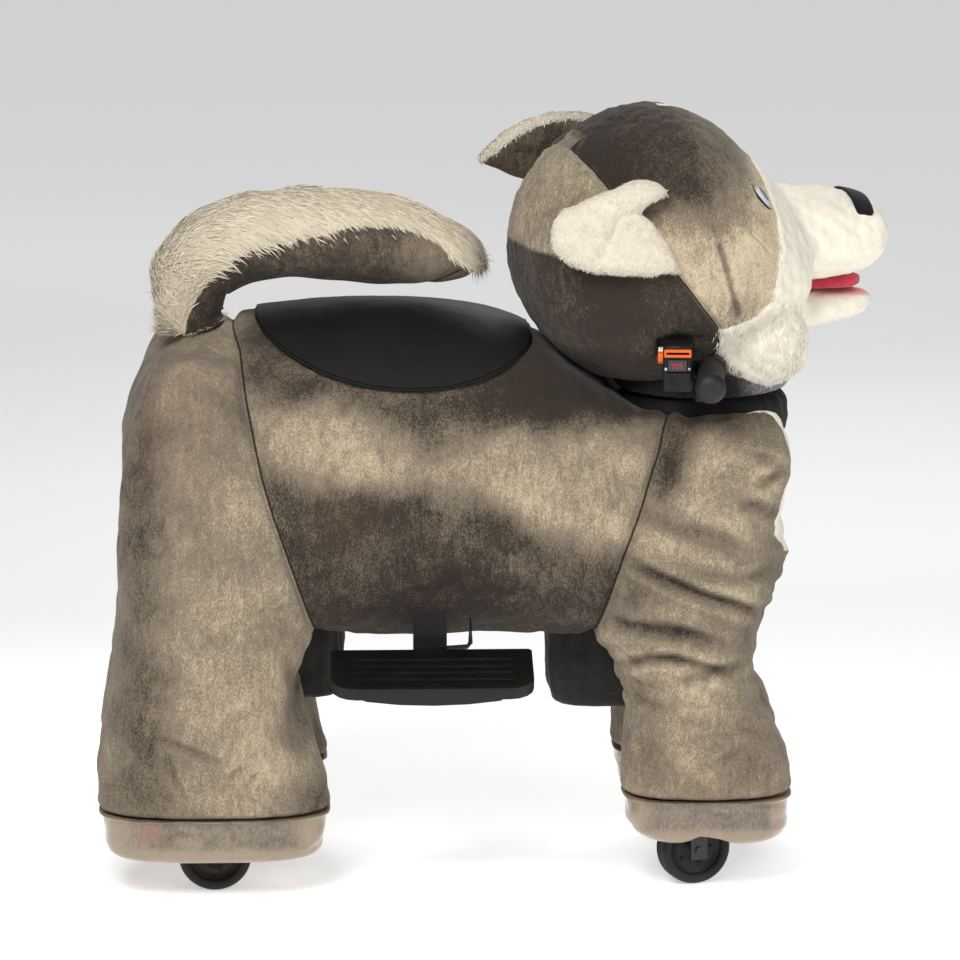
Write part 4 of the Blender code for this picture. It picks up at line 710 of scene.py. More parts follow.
@dataclass(frozen=True)
class Metal(Finish):
    """Painted or plated steel."""

    base: Colour = (0.02, 0.02, 0.021)
    metallic: float = 0.0
    gloss: float = 0.38
    brushed: float = 0.0

    def mixed(self) -> Shader:
        """Orange-peel paint, or plating with faint turning marks and dull patches."""
        shader = Shader(self.name, self.gloss, Metallic=self.metallic, Specular_IOR_Level=0.5)
        peel = shader.noise(380.0, 2.0, 0.5)
        stain = shader.noise(30.0, 4.0, 0.62, 0.6)
        fine = shader.noise(900.0, 2.0, 0.6, 0.0, shader.stretched((1.0, 0.08, 1.0)))
        worn = tuple(min(1.0, part * 0.72 + 0.012) for part in self.base)
        shader.colour(shader.mix(stain.step(0.4, 0.8), self.base, worn))
        shader.rough(self.gloss + (stain - 0.5) * 0.25 + fine * self.brushed * 0.2)
        shader.relief(peel * 0.6 + fine * self.brushed, 0.0003, 0.5)
        return shader


@dataclass(frozen=True)
class Hair(Finish):
    """One plain tone of pile, the same all over, for coats whose hairs take several of them."""

    tone: Colour = (0.8, 0.75, 0.64)

    def mixed(self) -> Shader:
        """A plain soft fibre."""
        return Shader(
            self.name, 0.8, Base_Color=(*self.tone, 1.0), Specular_IOR_Level=0.15, Sheen_Weight=0.2,
        )


@dataclass(frozen=True)
class Felt(Finish):
    """Brushed felt of the tongue."""

    base: Colour = (0.6, 0.028, 0.06)

    def mixed(self) -> Shader:
        """Felt with a soft mottle."""
        shader = Shader(self.name, 0.85, Sheen_Weight=0.4, Specular_IOR_Level=0.2)
        felt = shader.noise(300.0, 3.0, 0.6)
        cloud = shader.noise(40.0, 2.0)
        deeper = tuple(part * 0.62 for part in self.base)
        shader.colour(shader.mix((felt * 0.6 + cloud * 0.6).step(0.35, 0.85), deeper, self.base))
        shader.relief(felt, 0.0008, 0.6)
        return shader


@dataclass(frozen=True)
class Eyeball(Finish):
    """A glossy plastic eye; the mesh says how far each point is from the middle of the gaze."""

    def mixed(self) -> Shader:
        """White, a grey-blue iris with fine rays, and a pupil."""
        shader = Shader(self.name, 0.16, Coat_Weight=1.0, Coat_Roughness=0.03)
        gaze = shader.drawn("gaze")
        rays = shader.noise(520.0, 3.0, 0.6)
        iris = shader.mix((rays + gaze * 0.03).step(0.35, 0.75), (0.095, 0.135, 0.185), (0.36, 0.43, 0.5))
        white = shader.mix(gaze.step(5.6, 6.4), iris, (0.74, 0.76, 0.78))
        ring = shader.mix(gaze.step(5.0, 5.8) * (1.0 - gaze.step(6.0, 6.9)), white, (0.03, 0.035, 0.045))
        shader.colour(shader.mix(1.0 - gaze.step(2.2, 2.7), ring, (0.004, 0.004, 0.005)))
        shader.relief(rays, 0.00005, 0.3)
        return shader


@dataclass(frozen=True)
class Glass(Finish):
    """The dark window of the timer with lit bars of plain figures behind it."""

    def mixed(self) -> Shader:
        """Smoked plastic with faint reflections of dust."""
        shader = Shader(self.name, 0.12, Coat_Weight=0.6, Coat_Roughness=0.04)
        dust = shader.noise(240.0, 3.0, 0.7)
        shader.colour(shader.mix(dust.step(0.6, 0.9) * 0.4, (0.006, 0.005, 0.006), (0.05, 0.045, 0.045)))
        shader.rough(0.1 + dust * 0.16)
        return shader


@dataclass(frozen=True)
class Lamp(Finish):
    """Lit segments."""

    def mixed(self) -> Shader:
        """A dim red glow."""
        return Shader(
            self.name, 0.4, Base_Color=(0.35, 0.01, 0.008, 1.0), Emission_Color=(1.0, 0.05, 0.03, 1.0),
            Emission_Strength=0.6,
        )


BODY_PLUSH = Plush("brushed_grey_pile")
HEAD_PLUSH = Plush("head_pile", light=(0.64, 0.528, 0.356), nap=0.25, swirl=0.36, fleck=1.1, blushed=True)
EAR_PLUSH = Plush("ear_pile", pale=(0.74, 0.67, 0.55), fleck=0.8)
TAIL_PLUSH = Plush("tail_pile", pale=(0.58, 0.49, 0.36), nap=0.2, swirl=0.5, fleck=0.9, lean=1.1)
SHOE_FILM = Film("film_over_pile")
SADDLE_VINYL = Leather("saddle_leathercloth")
PIPING = Leather("saddle_piping", base=(0.006, 0.006, 0.0062))
LINING = Cloth("lining_cloth")
FLEECE = Cloth("shoulder_fleece", base=(0.004, 0.0038, 0.0037), weave=0.0, sheen=0.05)
KNIT = Knit("collar_knit")
PLASTIC = Moulded("moulded_black")
FOOT_PLASTIC = Moulded("foot_plate_black", base=(0.0035, 0.0033, 0.0031), gloss=0.42, grain=0.0004, dust=0.3)
ORANGE = Moulded("moulded_orange", base=(0.78, 0.135, 0.018), gloss=0.32)
BUTTON_WHITE = Moulded("moulded_white", base=(0.72, 0.72, 0.7), gloss=0.3)
CASE_GREY = Moulded("battery_case", base=(0.085, 0.092, 0.1), gloss=0.48, grain=0.0005)
GRIP_RUBBER = Moulded("grip_rubber", base=(0.014, 0.0138, 0.0135), gloss=0.5, grain=0.0005)
TYRE_RUBBER = Moulded("tyre_rubber", base=(0.012, 0.0118, 0.0115), gloss=0.62, grain=0.0006, dust=0.9)
PAINTED = Metal("painted_steel")
BRIGHT = Metal("bright_steel_turned", base=(0.62, 0.62, 0.61), metallic=1.0, gloss=0.28, brushed=1.0)
PLATED = Metal("zinc_plate", base=(0.56, 0.56, 0.53), metallic=1.0, gloss=0.4, brushed=0.4)
NOSE = Plush(
    "nose_velvet", light=(0.022, 0.019, 0.025), middle=(0.01, 0.009, 0.012), dark=(0.004, 0.0035, 0.005),
    fleck=0.8, nap=0.3,
)
TONGUE_FELT = Felt("tongue_felt")
EYE = Eyeball("eye_gloss")
LASH = Moulded("lash_black", base=(0.006, 0.006, 0.007), gloss=0.5)
DISPLAY = Glass("timer_window")
LAMP = Lamp("timer_red")
CREAM_HAIRS = (
    Hair("cream_hair_pale", (0.7, 0.62, 0.48)), Hair("cream_hair", (0.56, 0.47, 0.35)),
    Hair("cream_hair_warm", (0.38, 0.29, 0.2)),
)
WHITE_HAIRS = (
    Hair("white_hair_pale", (0.78, 0.73, 0.62)), Hair("white_hair", (0.68, 0.62, 0.51)),
    Hair("white_hair_shaded", (0.52, 0.46, 0.36)),
)


def points_of(piece: Piece, kind: str = "co") -> Array:
    """Three numbers for each of a mesh's points.

    Args:
        piece: The piece.
        kind: Which of their numbers; co is their place.

    Returns:
        One row for each point.
    """
    flat = np.zeros(len(piece.data.vertices) * 3, np.float32)
    piece.data.vertices.foreach_get(kind, flat)
    return flat.reshape(-1, 3).astype(float)


def normals_of(piece: Piece) -> Array:
    """The outward directions at a mesh's points."""
    return points_of(piece, "normal")


def place_points(piece: Piece, points: Array) -> None:
    """Puts a mesh's points at new places."""
    piece.data.vertices.foreach_set("co", points.astype(np.float32).ravel())
    piece.data.update()


def paint(piece: Piece, **values: Array | float) -> None:
    """Writes numbers on a mesh's points for its finish to read.

    Args:
        piece: The piece.
        **values: What each set of numbers is called, and the numbers, or one for all.
    """
    count = len(piece.data.vertices)
    for name, value in values.items():
        drawn = piece.data.attributes.get(name) or piece.data.attributes.new(name, "FLOAT", "POINT")
        drawn.data.foreach_set("value", (np.zeros(count) + value).astype(np.float32))


def grouped(piece: Piece, name: str, weights: Array) -> None:
    """Makes a group of a mesh's points, for a modifier to read.

    Args:
        piece: The piece.
        name: The group's name.
        weights: How far each point belongs to it, 0 to 1.
    """
    group = piece.vertex_groups.new(name=name)
    for index, weight in enumerate(weights):
        group.add((index,), float(weight), "REPLACE")


def piece_of(name: str, bm: bmesh.types.BMesh, smooth: bool = True) -> Piece:
    """Turns a bmesh into an object of the scene, with its faces outwards.

    Args:
        name: The object's name.
        bm: The bmesh, which is freed.
        smooth: Whether its faces are shaded smoothly.

    Returns:
        The object.
    """
    bmesh.ops.recalc_face_normals(bm, faces=bm.faces)
    for face in bm.faces:
        face.smooth = smooth
    mesh = bpy.data.meshes.new(name)
    bm.to_mesh(mesh)
    bm.free()
    made = bpy.data.objects.new(name, mesh)
    bpy.context.scene.collection.objects.link(made)
    return made


def surface(
    name: str, around: int, along: int, shape: Shape, closed: bool = True, filled: bool = True,
) -> Piece:
    """A skin made by laying a grid on a shape.

    Args:
        name: The piece's name.
        around: Faces round it.
        along: Faces along it.
        shape: Gives points for an angle round it and a share of its length.
        closed: Whether it closes on itself all round.
        filled: Whether its two ends are closed.

    Returns:
        The piece.
    """
    bm = bmesh.new()
    bmesh.ops.create_grid(bm, x_segments=around, y_segments=along, size=0.5)
    flat = np.array([v.co[:2] for v in bm.verts]) + 0.5
    for vert, point in zip(bm.verts, shape(flat[:, 0] * 2 * math.pi, np.clip(flat[:, 1], 0, 1))):
        vert.co = point
    if closed:
        bmesh.ops.remove_doubles(bm, verts=bm.verts, dist=1e-6)
    if filled:
        rims = [edge for edge in bm.edges if edge.is_boundary]
        bmesh.ops.holes_fill(bm, edges=rims, sides=0)
    return piece_of(name, bm)


def solid_of(piece: Piece) -> Piece:
    """Applies a piece's modifiers to its mesh.

    Args:
        piece: The piece.

    Returns:
        The same piece, with no modifiers.
    """
    made = bpy.data.meshes.new_from_object(piece.evaluated_get(bpy.context.evaluated_depsgraph_get()))
    old = piece.data
    piece.modifiers.clear()
    piece.data = made
    bpy.data.meshes.remove(old)
    return piece


def modified(piece: Piece, kind: str, **settings: Any) -> Piece:
    """Changes a piece by a modifier, which is applied at once.

    Args:
        piece: The piece.
        kind: The modifier's type.
        **settings: What is set on it.

    Returns:
        The same piece.
    """
    modifier = piece.modifiers.new(kind.lower(), kind)
    for name, value in settings.items():
        setattr(modifier, name, value)
    return solid_of(piece)


def remeshed(piece: Piece, voxel: float) -> Piece:
    """Gives a piece one closed skin of even faces, of a size in metres."""
    return modified(piece, "REMESH", mode="VOXEL", voxel_size=voxel, adaptivity=0.0)


def smoothed(piece: Piece, times: int, group: str = "") -> Piece:
    """Smooths a piece several times, all over or as far as a group of its points says."""
    return modified(piece, "SMOOTH", factor=0.5, iterations=times, vertex_group=group)


def removed(*parts: Piece) -> None:
    """Takes working pieces away."""
    for part in parts:
        bpy.data.objects.remove(part)


def joined(name: str, *parts: Piece) -> Piece:
    """Makes several pieces one.

    Args:
        name: Its name.
        *parts: The pieces, which are taken away.

    Returns:
        The one piece.
    """
    bm = bmesh.new()
    for part in parts:
        bm.from_mesh(part.data)
        removed(part)
    return piece_of(name, bm)


def moved(piece: Piece, matrix: Matrix) -> Piece:
    """Moves a piece's mesh, and keeps its faces outwards where the move mirrors it.

    Args:
        piece: The piece.
        matrix: The move.

    Returns:
        The same piece.
    """
    piece.data.transform(matrix)
    if matrix.determinant() < 0:
        piece.data.flip_normals()
    piece.data.update()
    return piece


def dressed(
    piece: Piece, finish: Finish | Sequence[Finish], slot: Slot | None, body: str, *replaces: str,
) -> Piece:
    """Gives a finished piece its material and its body, and hides the CAD nodes it stands for.

    Args:
        piece: The piece, in its place.
        finish: Its finish, or several that its faces choose among.
        slot: The record's slot for it; not used.
        body: The CAD body that it moves with.
        *replaces: The CAD nodes that it stands for.

    Returns:
        The same piece.
    """
    piece.data.materials.clear()
    for each in [finish] if isinstance(finish, Finish) else finish:
        piece.data.materials.append(each.made())
    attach(piece, body)
    if replaces:
        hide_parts(*replaces)
    LOG.info("%s rides on %s", piece.name, body)
    return piece


def block(name: str, low: Sequence[float], high: Sequence[float], bevel: float = 0.0) -> Piece:
    """A block.

    Args:
        name: Its name.
        low: Its lowest corner.
        high: Its highest corner.
        bevel: How far its edges are rounded, if they are.

    Returns:
        The block.
    """
    low_point, high_point = Vector(low), Vector(high)
    size = high_point - low_point
    place = Matrix.Translation((low_point + high_point) / 2) @ Matrix.Diagonal((*size, 1.0))
    bm = bmesh.new()
    bmesh.ops.create_cube(bm, size=1.0, matrix=place)
    if bevel:
        bmesh.ops.bevel(
            bm, geom=bm.edges[:], offset=bevel, segments=3, profile=0.5, affect="EDGES", material=-1,
        )
    return piece_of(name, bm, bool(bevel))


def turned(name: str, profile: Line, steps: int = 64) -> Piece:
    """A shape spun about the vertical axis.

    Args:
        name: Its name.
        profile: Its outline as (radius, height) points.
        steps: Faces round it.

    Returns:
        The shape.
    """
    bm = bmesh.new()
    verts = [bm.verts.new((radius, 0, height)) for radius, height in profile]
    edges = [bm.edges.new(pair) for pair in zip(verts, verts[1:])]
    bmesh.ops.spin(
        bm, geom=verts + edges, axis=(0, 0, 1), cent=(0, 0, 0), angle=2 * math.pi, steps=steps,
        use_merge=True,
    )
    bmesh.ops.remove_doubles(bm, verts=bm.verts, dist=1e-6)
    return piece_of(name, bm)


def swept(
    name: str, line: Array, directions: tuple[Array, Array], sizes: Array, around: int, power: float = 2.0,
    filled: bool = True,
) -> Piece:
    """A skin of rounded sections along a line.

    Args:
        name: The piece's name.
        line: The points of its middle line.
        directions: At each of them, the direction of a section's width and that of its height.
        sizes: At each of them, half the width and half the height.
        around: Faces round it.
        power: How square the sections are; 2 is round.
        filled: Whether its two ends are closed.

    Returns:
        The piece.
    """
    side, top = directions
    last = len(line) - 1

    def shape(turn: Array, share: Array) -> Array:
        """Its skin."""
        ring = np.rint(share * last).astype(int)
        u, v = oval(turn, sizes[ring, 0], sizes[ring, 1], power)
        return line[ring] + u[:, None] * side[ring] + v[:, None] * top[ring]

    return surface(name, around, last, shape, filled=filled)


def tube(name: str, path: Line, radius: float | Sequence[float], around: int = 20, count: int = 0) -> Piece:
    """A round bar along a smooth path.

    Args:
        name: The piece's name.
        path: Points that its middle line passes through.
        radius: Its radius, or one for each point of the path.
        around: Faces round it.
        count: Rings along it; 0 takes six for each point of the path.

    Returns:
        The piece.
    """
    count = count or 6 * len(path)
    line = through(path, count + 1)
    radii = (radius,) * len(path) if isinstance(radius, float) else radius
    sizes = through([(each, each) for each in radii], count + 1)
    steep = np.abs(unit(np.gradient(line, axis=0))[:, 2]).max() >= 0.9
    return swept(name, line, beside(line, (0, 1, 0) if steep else (0, 0, 1)), sizes, around)


def facing(rows: Line, power: float, grow: float = 0.0) -> Shape:
    """The shape of a form through sections that face forward.

    Args:
        rows: The sections as (distance ahead, low, high, half width).
        power: How square they are; 2 is round.
        grow: How much larger they are than the rows say.

    Returns:
        The shape.
    """

    def shape(turn: Array, share: Array) -> Array:
        """Its skin."""
        row = spline(rows, share * (len(rows) - 1))
        u, v = oval(turn, row[:, 3] + grow, (row[:, 2] - row[:, 1]) / 2 + grow, power)
        return np.stack([row[:, 0], u, (row[:, 1] + row[:, 2]) / 2 + v], axis=1)

    return shape


def lump(name: str, centre: Sequence[float], half: Sequence[float], turn: float = 0.0) -> Piece:
    """A rounded stuffed lump.

    Args:
        name: Its name.
        centre: Its middle.
        half: Its three half sizes.
        turn: How far it is turned about the vertical.

    Returns:
        The lump.
    """
    place = Matrix.Translation(centre) @ Matrix.Rotation(turn, 4, "Z") @ Matrix.Diagonal((*half, 1.0))
    bm = bmesh.new()
    bmesh.ops.create_icosphere(bm, subdivisions=4, radius=1.0, matrix=place)
    return piece_of(name, bm)


def cut(piece: Piece, *tools: Piece) -> Piece:
    """Takes the tools' room out of a piece.

    Args:
        piece: The piece.
        *tools: The tools, which are taken away.

    Returns:
        The same piece.
    """
    for tool in tools:
        modified(piece, "BOOLEAN", object=tool, operation="DIFFERENCE", solver="EXACT")
        removed(tool)
    return piece


@dataclass(frozen=True)
class Coat:
    """Hairs that stand on a skin, each a flat tapered strip of few faces."""

    count: int
    length: tuple[float, float]
    width: float
    lift: float
    droop: float
    seed: int
    parts: int = 3
    scatter: float = 0.35

    def grown(
        self, name: str, skin: Piece, where: Array, flow: Array, long: Array | None = None,
    ) -> Piece:
        """Grows the coat.

        Args:
            name: Its name.
            skin: What it grows on.
            where: For each of the skin's points, how likely hair is there, 0 to 1.
            flow: For each of them, the direction in which the hair lies.
            long: For each of them, a factor on the hairs' length.

        Returns:
            The coat, whose faces have one of three material numbers.
        """
        draw = np.random.default_rng(self.seed)
        skin.data.calc_loop_triangles()
        corners = np.zeros(len(skin.data.loop_triangles) * 3, np.int32)
        skin.data.loop_triangles.foreach_get("vertices", corners)
        corners = corners.reshape(-1, 3)
        points, normals = points_of(skin), normals_of(skin)
        a, b, c = (points[corners[:, i]] for i in range(3))
        area = np.linalg.norm(np.cross(b - a, c - a), axis=1) * where[corners].mean(axis=1)
        chosen = draw.choice(len(corners), self.count, p=area / area.sum())
        mixing = draw.dirichlet((1, 1, 1), self.count)

        def read(values: Array) -> Array:
            """Values of the skin at the hairs' roots."""
            return np.einsum("nk,nk...->n...", mixing, values[corners[chosen]])

        root, out, way = read(points), read(normals), read(flow)
        out = unit(out, 1e-9)
        way = way + draw.normal(scale=self.scatter, size=way.shape)
        way = unit(way - np.einsum("nk,nk->n", way, out)[:, None] * out, 1e-9)
        reach = draw.uniform(*self.length, self.count) * (read(long) if long is not None else 1.0)
        lift = self.lift * draw.uniform(0.6, 1.4, self.count)
        side = unit(np.cross(out, way) + draw.normal(scale=0.25, size=way.shape))
        bm = bmesh.new()
        bmesh.ops.create_grid(bm, x_segments=1, y_segments=self.parts, size=0.5)
        tips = [v for v in bm.verts if v.co.y > 0.49]
        bmesh.ops.pointmerge(bm, verts=tips, merge_co=(0, 0.5, 0))
        bm.verts.ensure_lookup_table()
        pattern = np.array([(v.co.x, v.co.y + 0.5) for v in bm.verts])
        strips = [[v.index for v in face.verts] for face in bm.faces]
        bm.free()
        across = pattern[:, 0] * self.width * (1 - 0.35 * pattern[:, 1])
        up = pattern[:, 1]
        lay = root - out * 0.0012
        hair = (
            lay[:, None]
            + (reach[:, None] * up)[:, :, None] * (way + lift[:, None] * out)[:, None]
            - (reach[:, None] * up**2 * self.droop)[:, :, None] * (lift[:, None] * out)[:, None]
            - (reach[:, None] * up**2 * self.droop * 0.4)[:, :, None] * np.array((0, 0, 1.0))
            + across[None, :, None] * side[:, None]
        )
        mesh = bpy.data.meshes.new(name)
        size = len(pattern)
        faces = [[corner + size * i for corner in strip] for i in range(self.count) for strip in strips]
        mesh.from_pydata(hair.reshape(-1, 3), [], faces)
        tones = np.repeat(draw.choice(3, self.count, p=(0.45, 0.38, 0.17)), len(strips))
        mesh.polygons.foreach_set("material_index", tones.astype(np.int32))
        mesh.update()
        made = bpy.data.objects.new(name, mesh)
        bpy.context.scene.collection.objects.link(made)
        return made


# Lines across the body as (x, z) points: the seams between its panels.
REAR_SEAM = (
    (-0.326, 0.705), (-0.322, 0.683), (-0.314, 0.666), (-0.307, 0.615), (-0.298, 0.569), (-0.288, 0.522),
    (-0.275, 0.478), (-0.261, 0.437), (-0.242, 0.38), (-0.224, 0.325), (-0.22, 0.312),
)
FRONT_SEAM = (
    (0.211, 0.6), (0.207, 0.583), (0.202, 0.572), (0.196, 0.548), (0.188, 0.527), (0.171, 0.47),
    (0.154, 0.425), (0.134, 0.365), (0.118, 0.318), (0.112, 0.3),
)
# Where the tone changes on the flank: darker above the first line, and ahead of the middle darker still there
# as painted shadow of the head; darker below the second line, towards the belly.
SADDLE_SHADE = (
    (-0.345, 0.72), (-0.318, 0.688), (-0.304, 0.638), (-0.273, 0.619), (-0.2, 0.611), (-0.138, 0.579),
    (-0.098, 0.557), (-0.06, 0.565), (0.001, 0.578), (0.064, 0.574), (0.111, 0.584), (0.147, 0.59),
    (0.3, 0.59),
)
BELLY_SHADE = (
    (-0.305, 0.554), (-0.289, 0.548), (-0.216, 0.516), (-0.138, 0.51), (-0.045, 0.5035), (0.017, 0.479),
    (0.064, 0.452), (0.111, 0.436), (0.147, 0.42), (0.175, 0.4),
)
# Patches of lighter or darker pile: x, z, half width, half height and change of tone. The broad dark band
# over the shoulders, at x 0.27 and z 0.612, is painted shadow of the head, and the thin dark ones across the
# front leg, at z 0.4 and 0.335, are painted shade in its creases.
PATCHES = (
    (-0.44, 0.48, 0.035, 0.22, -0.34), (-0.34, 0.36, 0.07, 0.16, 0.16), (-0.39, 0.56, 0.05, 0.07, -0.12),
    (-0.3, 0.2, 0.07, 0.07, 0.18), (-0.245, 0.215, 0.022, 0.035, -0.4), (-0.222, 0.125, 0.03, 0.028, -0.4),
    (-0.43, 0.19, 0.035, 0.09, -0.3), (-0.36, 0.47, 0.05, 0.05, -0.1), (-0.3, 0.62, 0.03, 0.06, -0.14),
    (0.2, 0.545, 0.026, 0.05, -0.42), (0.27, 0.55, 0.05, 0.035, 0.12), (0.31, 0.48, 0.05, 0.05, 0.08),
    (0.22, 0.44, 0.04, 0.02, 0.12), (0.24, 0.22, 0.06, 0.05, 0.14), (0.3, 0.17, 0.035, 0.04, -0.22),
    (0.165, 0.35, 0.03, 0.04, -0.2), (0.27, 0.612, 0.14, 0.036, -0.7), (0.245, 0.4, 0.05, 0.012, -0.12),
    (0.26, 0.335, 0.07, 0.018, -0.18), (0.345, 0.4, 0.02, 0.1, -0.18), (0.19, 0.2, 0.02, 0.07, -0.16),
)


@dataclass(frozen=True)
class Fold:
    """A crease in the plush: its line in the side view, depth and width in metres."""

    line: Line
    depth: float
    width: float

    def pressed(self, flat: Array) -> Array:
        """How far the cloth is raised: down in the crease, up beside it.

        Args:
            flat: Places in the side view, (x, z).

        Returns:
            A height for each.
        """
        distance, share = off_line(flat, self.line)
        ends = np.clip(np.sin(np.pi * np.clip(share, 0.02, 0.98)), 0, 1) ** 0.6
        raised = 0.5 * bell(np.abs(distance) - 2.0 * self.width, 1.25 * self.width)
        return self.depth * (raised - bell(distance, self.width)) * ends


FRONT_FOLDS = (
    Fold(((0.242, 0.6), (0.234, 0.577), (0.216, 0.543), (0.202, 0.509), (0.192, 0.484)), 0.007, 0.016),
    Fold(((0.166, 0.468), (0.19, 0.466), (0.212, 0.459), (0.275, 0.442), (0.322, 0.412)), 0.0065, 0.011),
    Fold(
        ((0.156, 0.42), (0.167, 0.412), (0.201, 0.396), (0.244, 0.377), (0.286, 0.363), (0.33, 0.343)),
        0.01, 0.0062,
    ),
    Fold(((0.134, 0.338), (0.18, 0.336), (0.222, 0.33), (0.268, 0.315)), 0.01, 0.0085),
    Fold(
        ((0.142, 0.28), (0.181, 0.298), (0.212, 0.3), (0.244, 0.29), (0.27, 0.285), (0.302, 0.283)),
        0.009, 0.006,
    ),
    Fold(((0.218, 0.264), (0.238, 0.277), (0.265, 0.279), (0.29, 0.275)), 0.007, 0.007),
    Fold(((0.298, 0.49), (0.327, 0.476), (0.352, 0.45)), 0.008, 0.0085),
    Fold(((0.318, 0.508), (0.335, 0.514), (0.356, 0.52)), 0.006, 0.007),
    Fold(((0.306, 0.549), (0.329, 0.539), (0.354, 0.52)), 0.004, 0.0055),
    Fold(((0.255, 0.4), (0.313, 0.391), (0.346, 0.398)), 0.004, 0.007),
    Fold(((0.16, 0.25), (0.19, 0.238), (0.215, 0.24)), 0.003, 0.006),
    Fold(((0.247, 0.158), (0.27, 0.172), (0.297, 0.186)), 0.0025, 0.0045),
)
REAR_FOLDS = (
    Fold(((-0.423, 0.213), (-0.38, 0.196), (-0.336, 0.176)), 0.004, 0.0042),
    Fold(((-0.406, 0.192), (-0.4, 0.165), (-0.385, 0.133)), 0.0032, 0.0042),
    Fold(((-0.334, 0.16), (-0.311, 0.176)), 0.0028, 0.0036),
    Fold(((-0.312, 0.15), (-0.29, 0.17)), 0.0026, 0.0036),
    Fold(((-0.262, 0.3), (-0.25, 0.262), (-0.246, 0.225)), 0.005, 0.006),
)


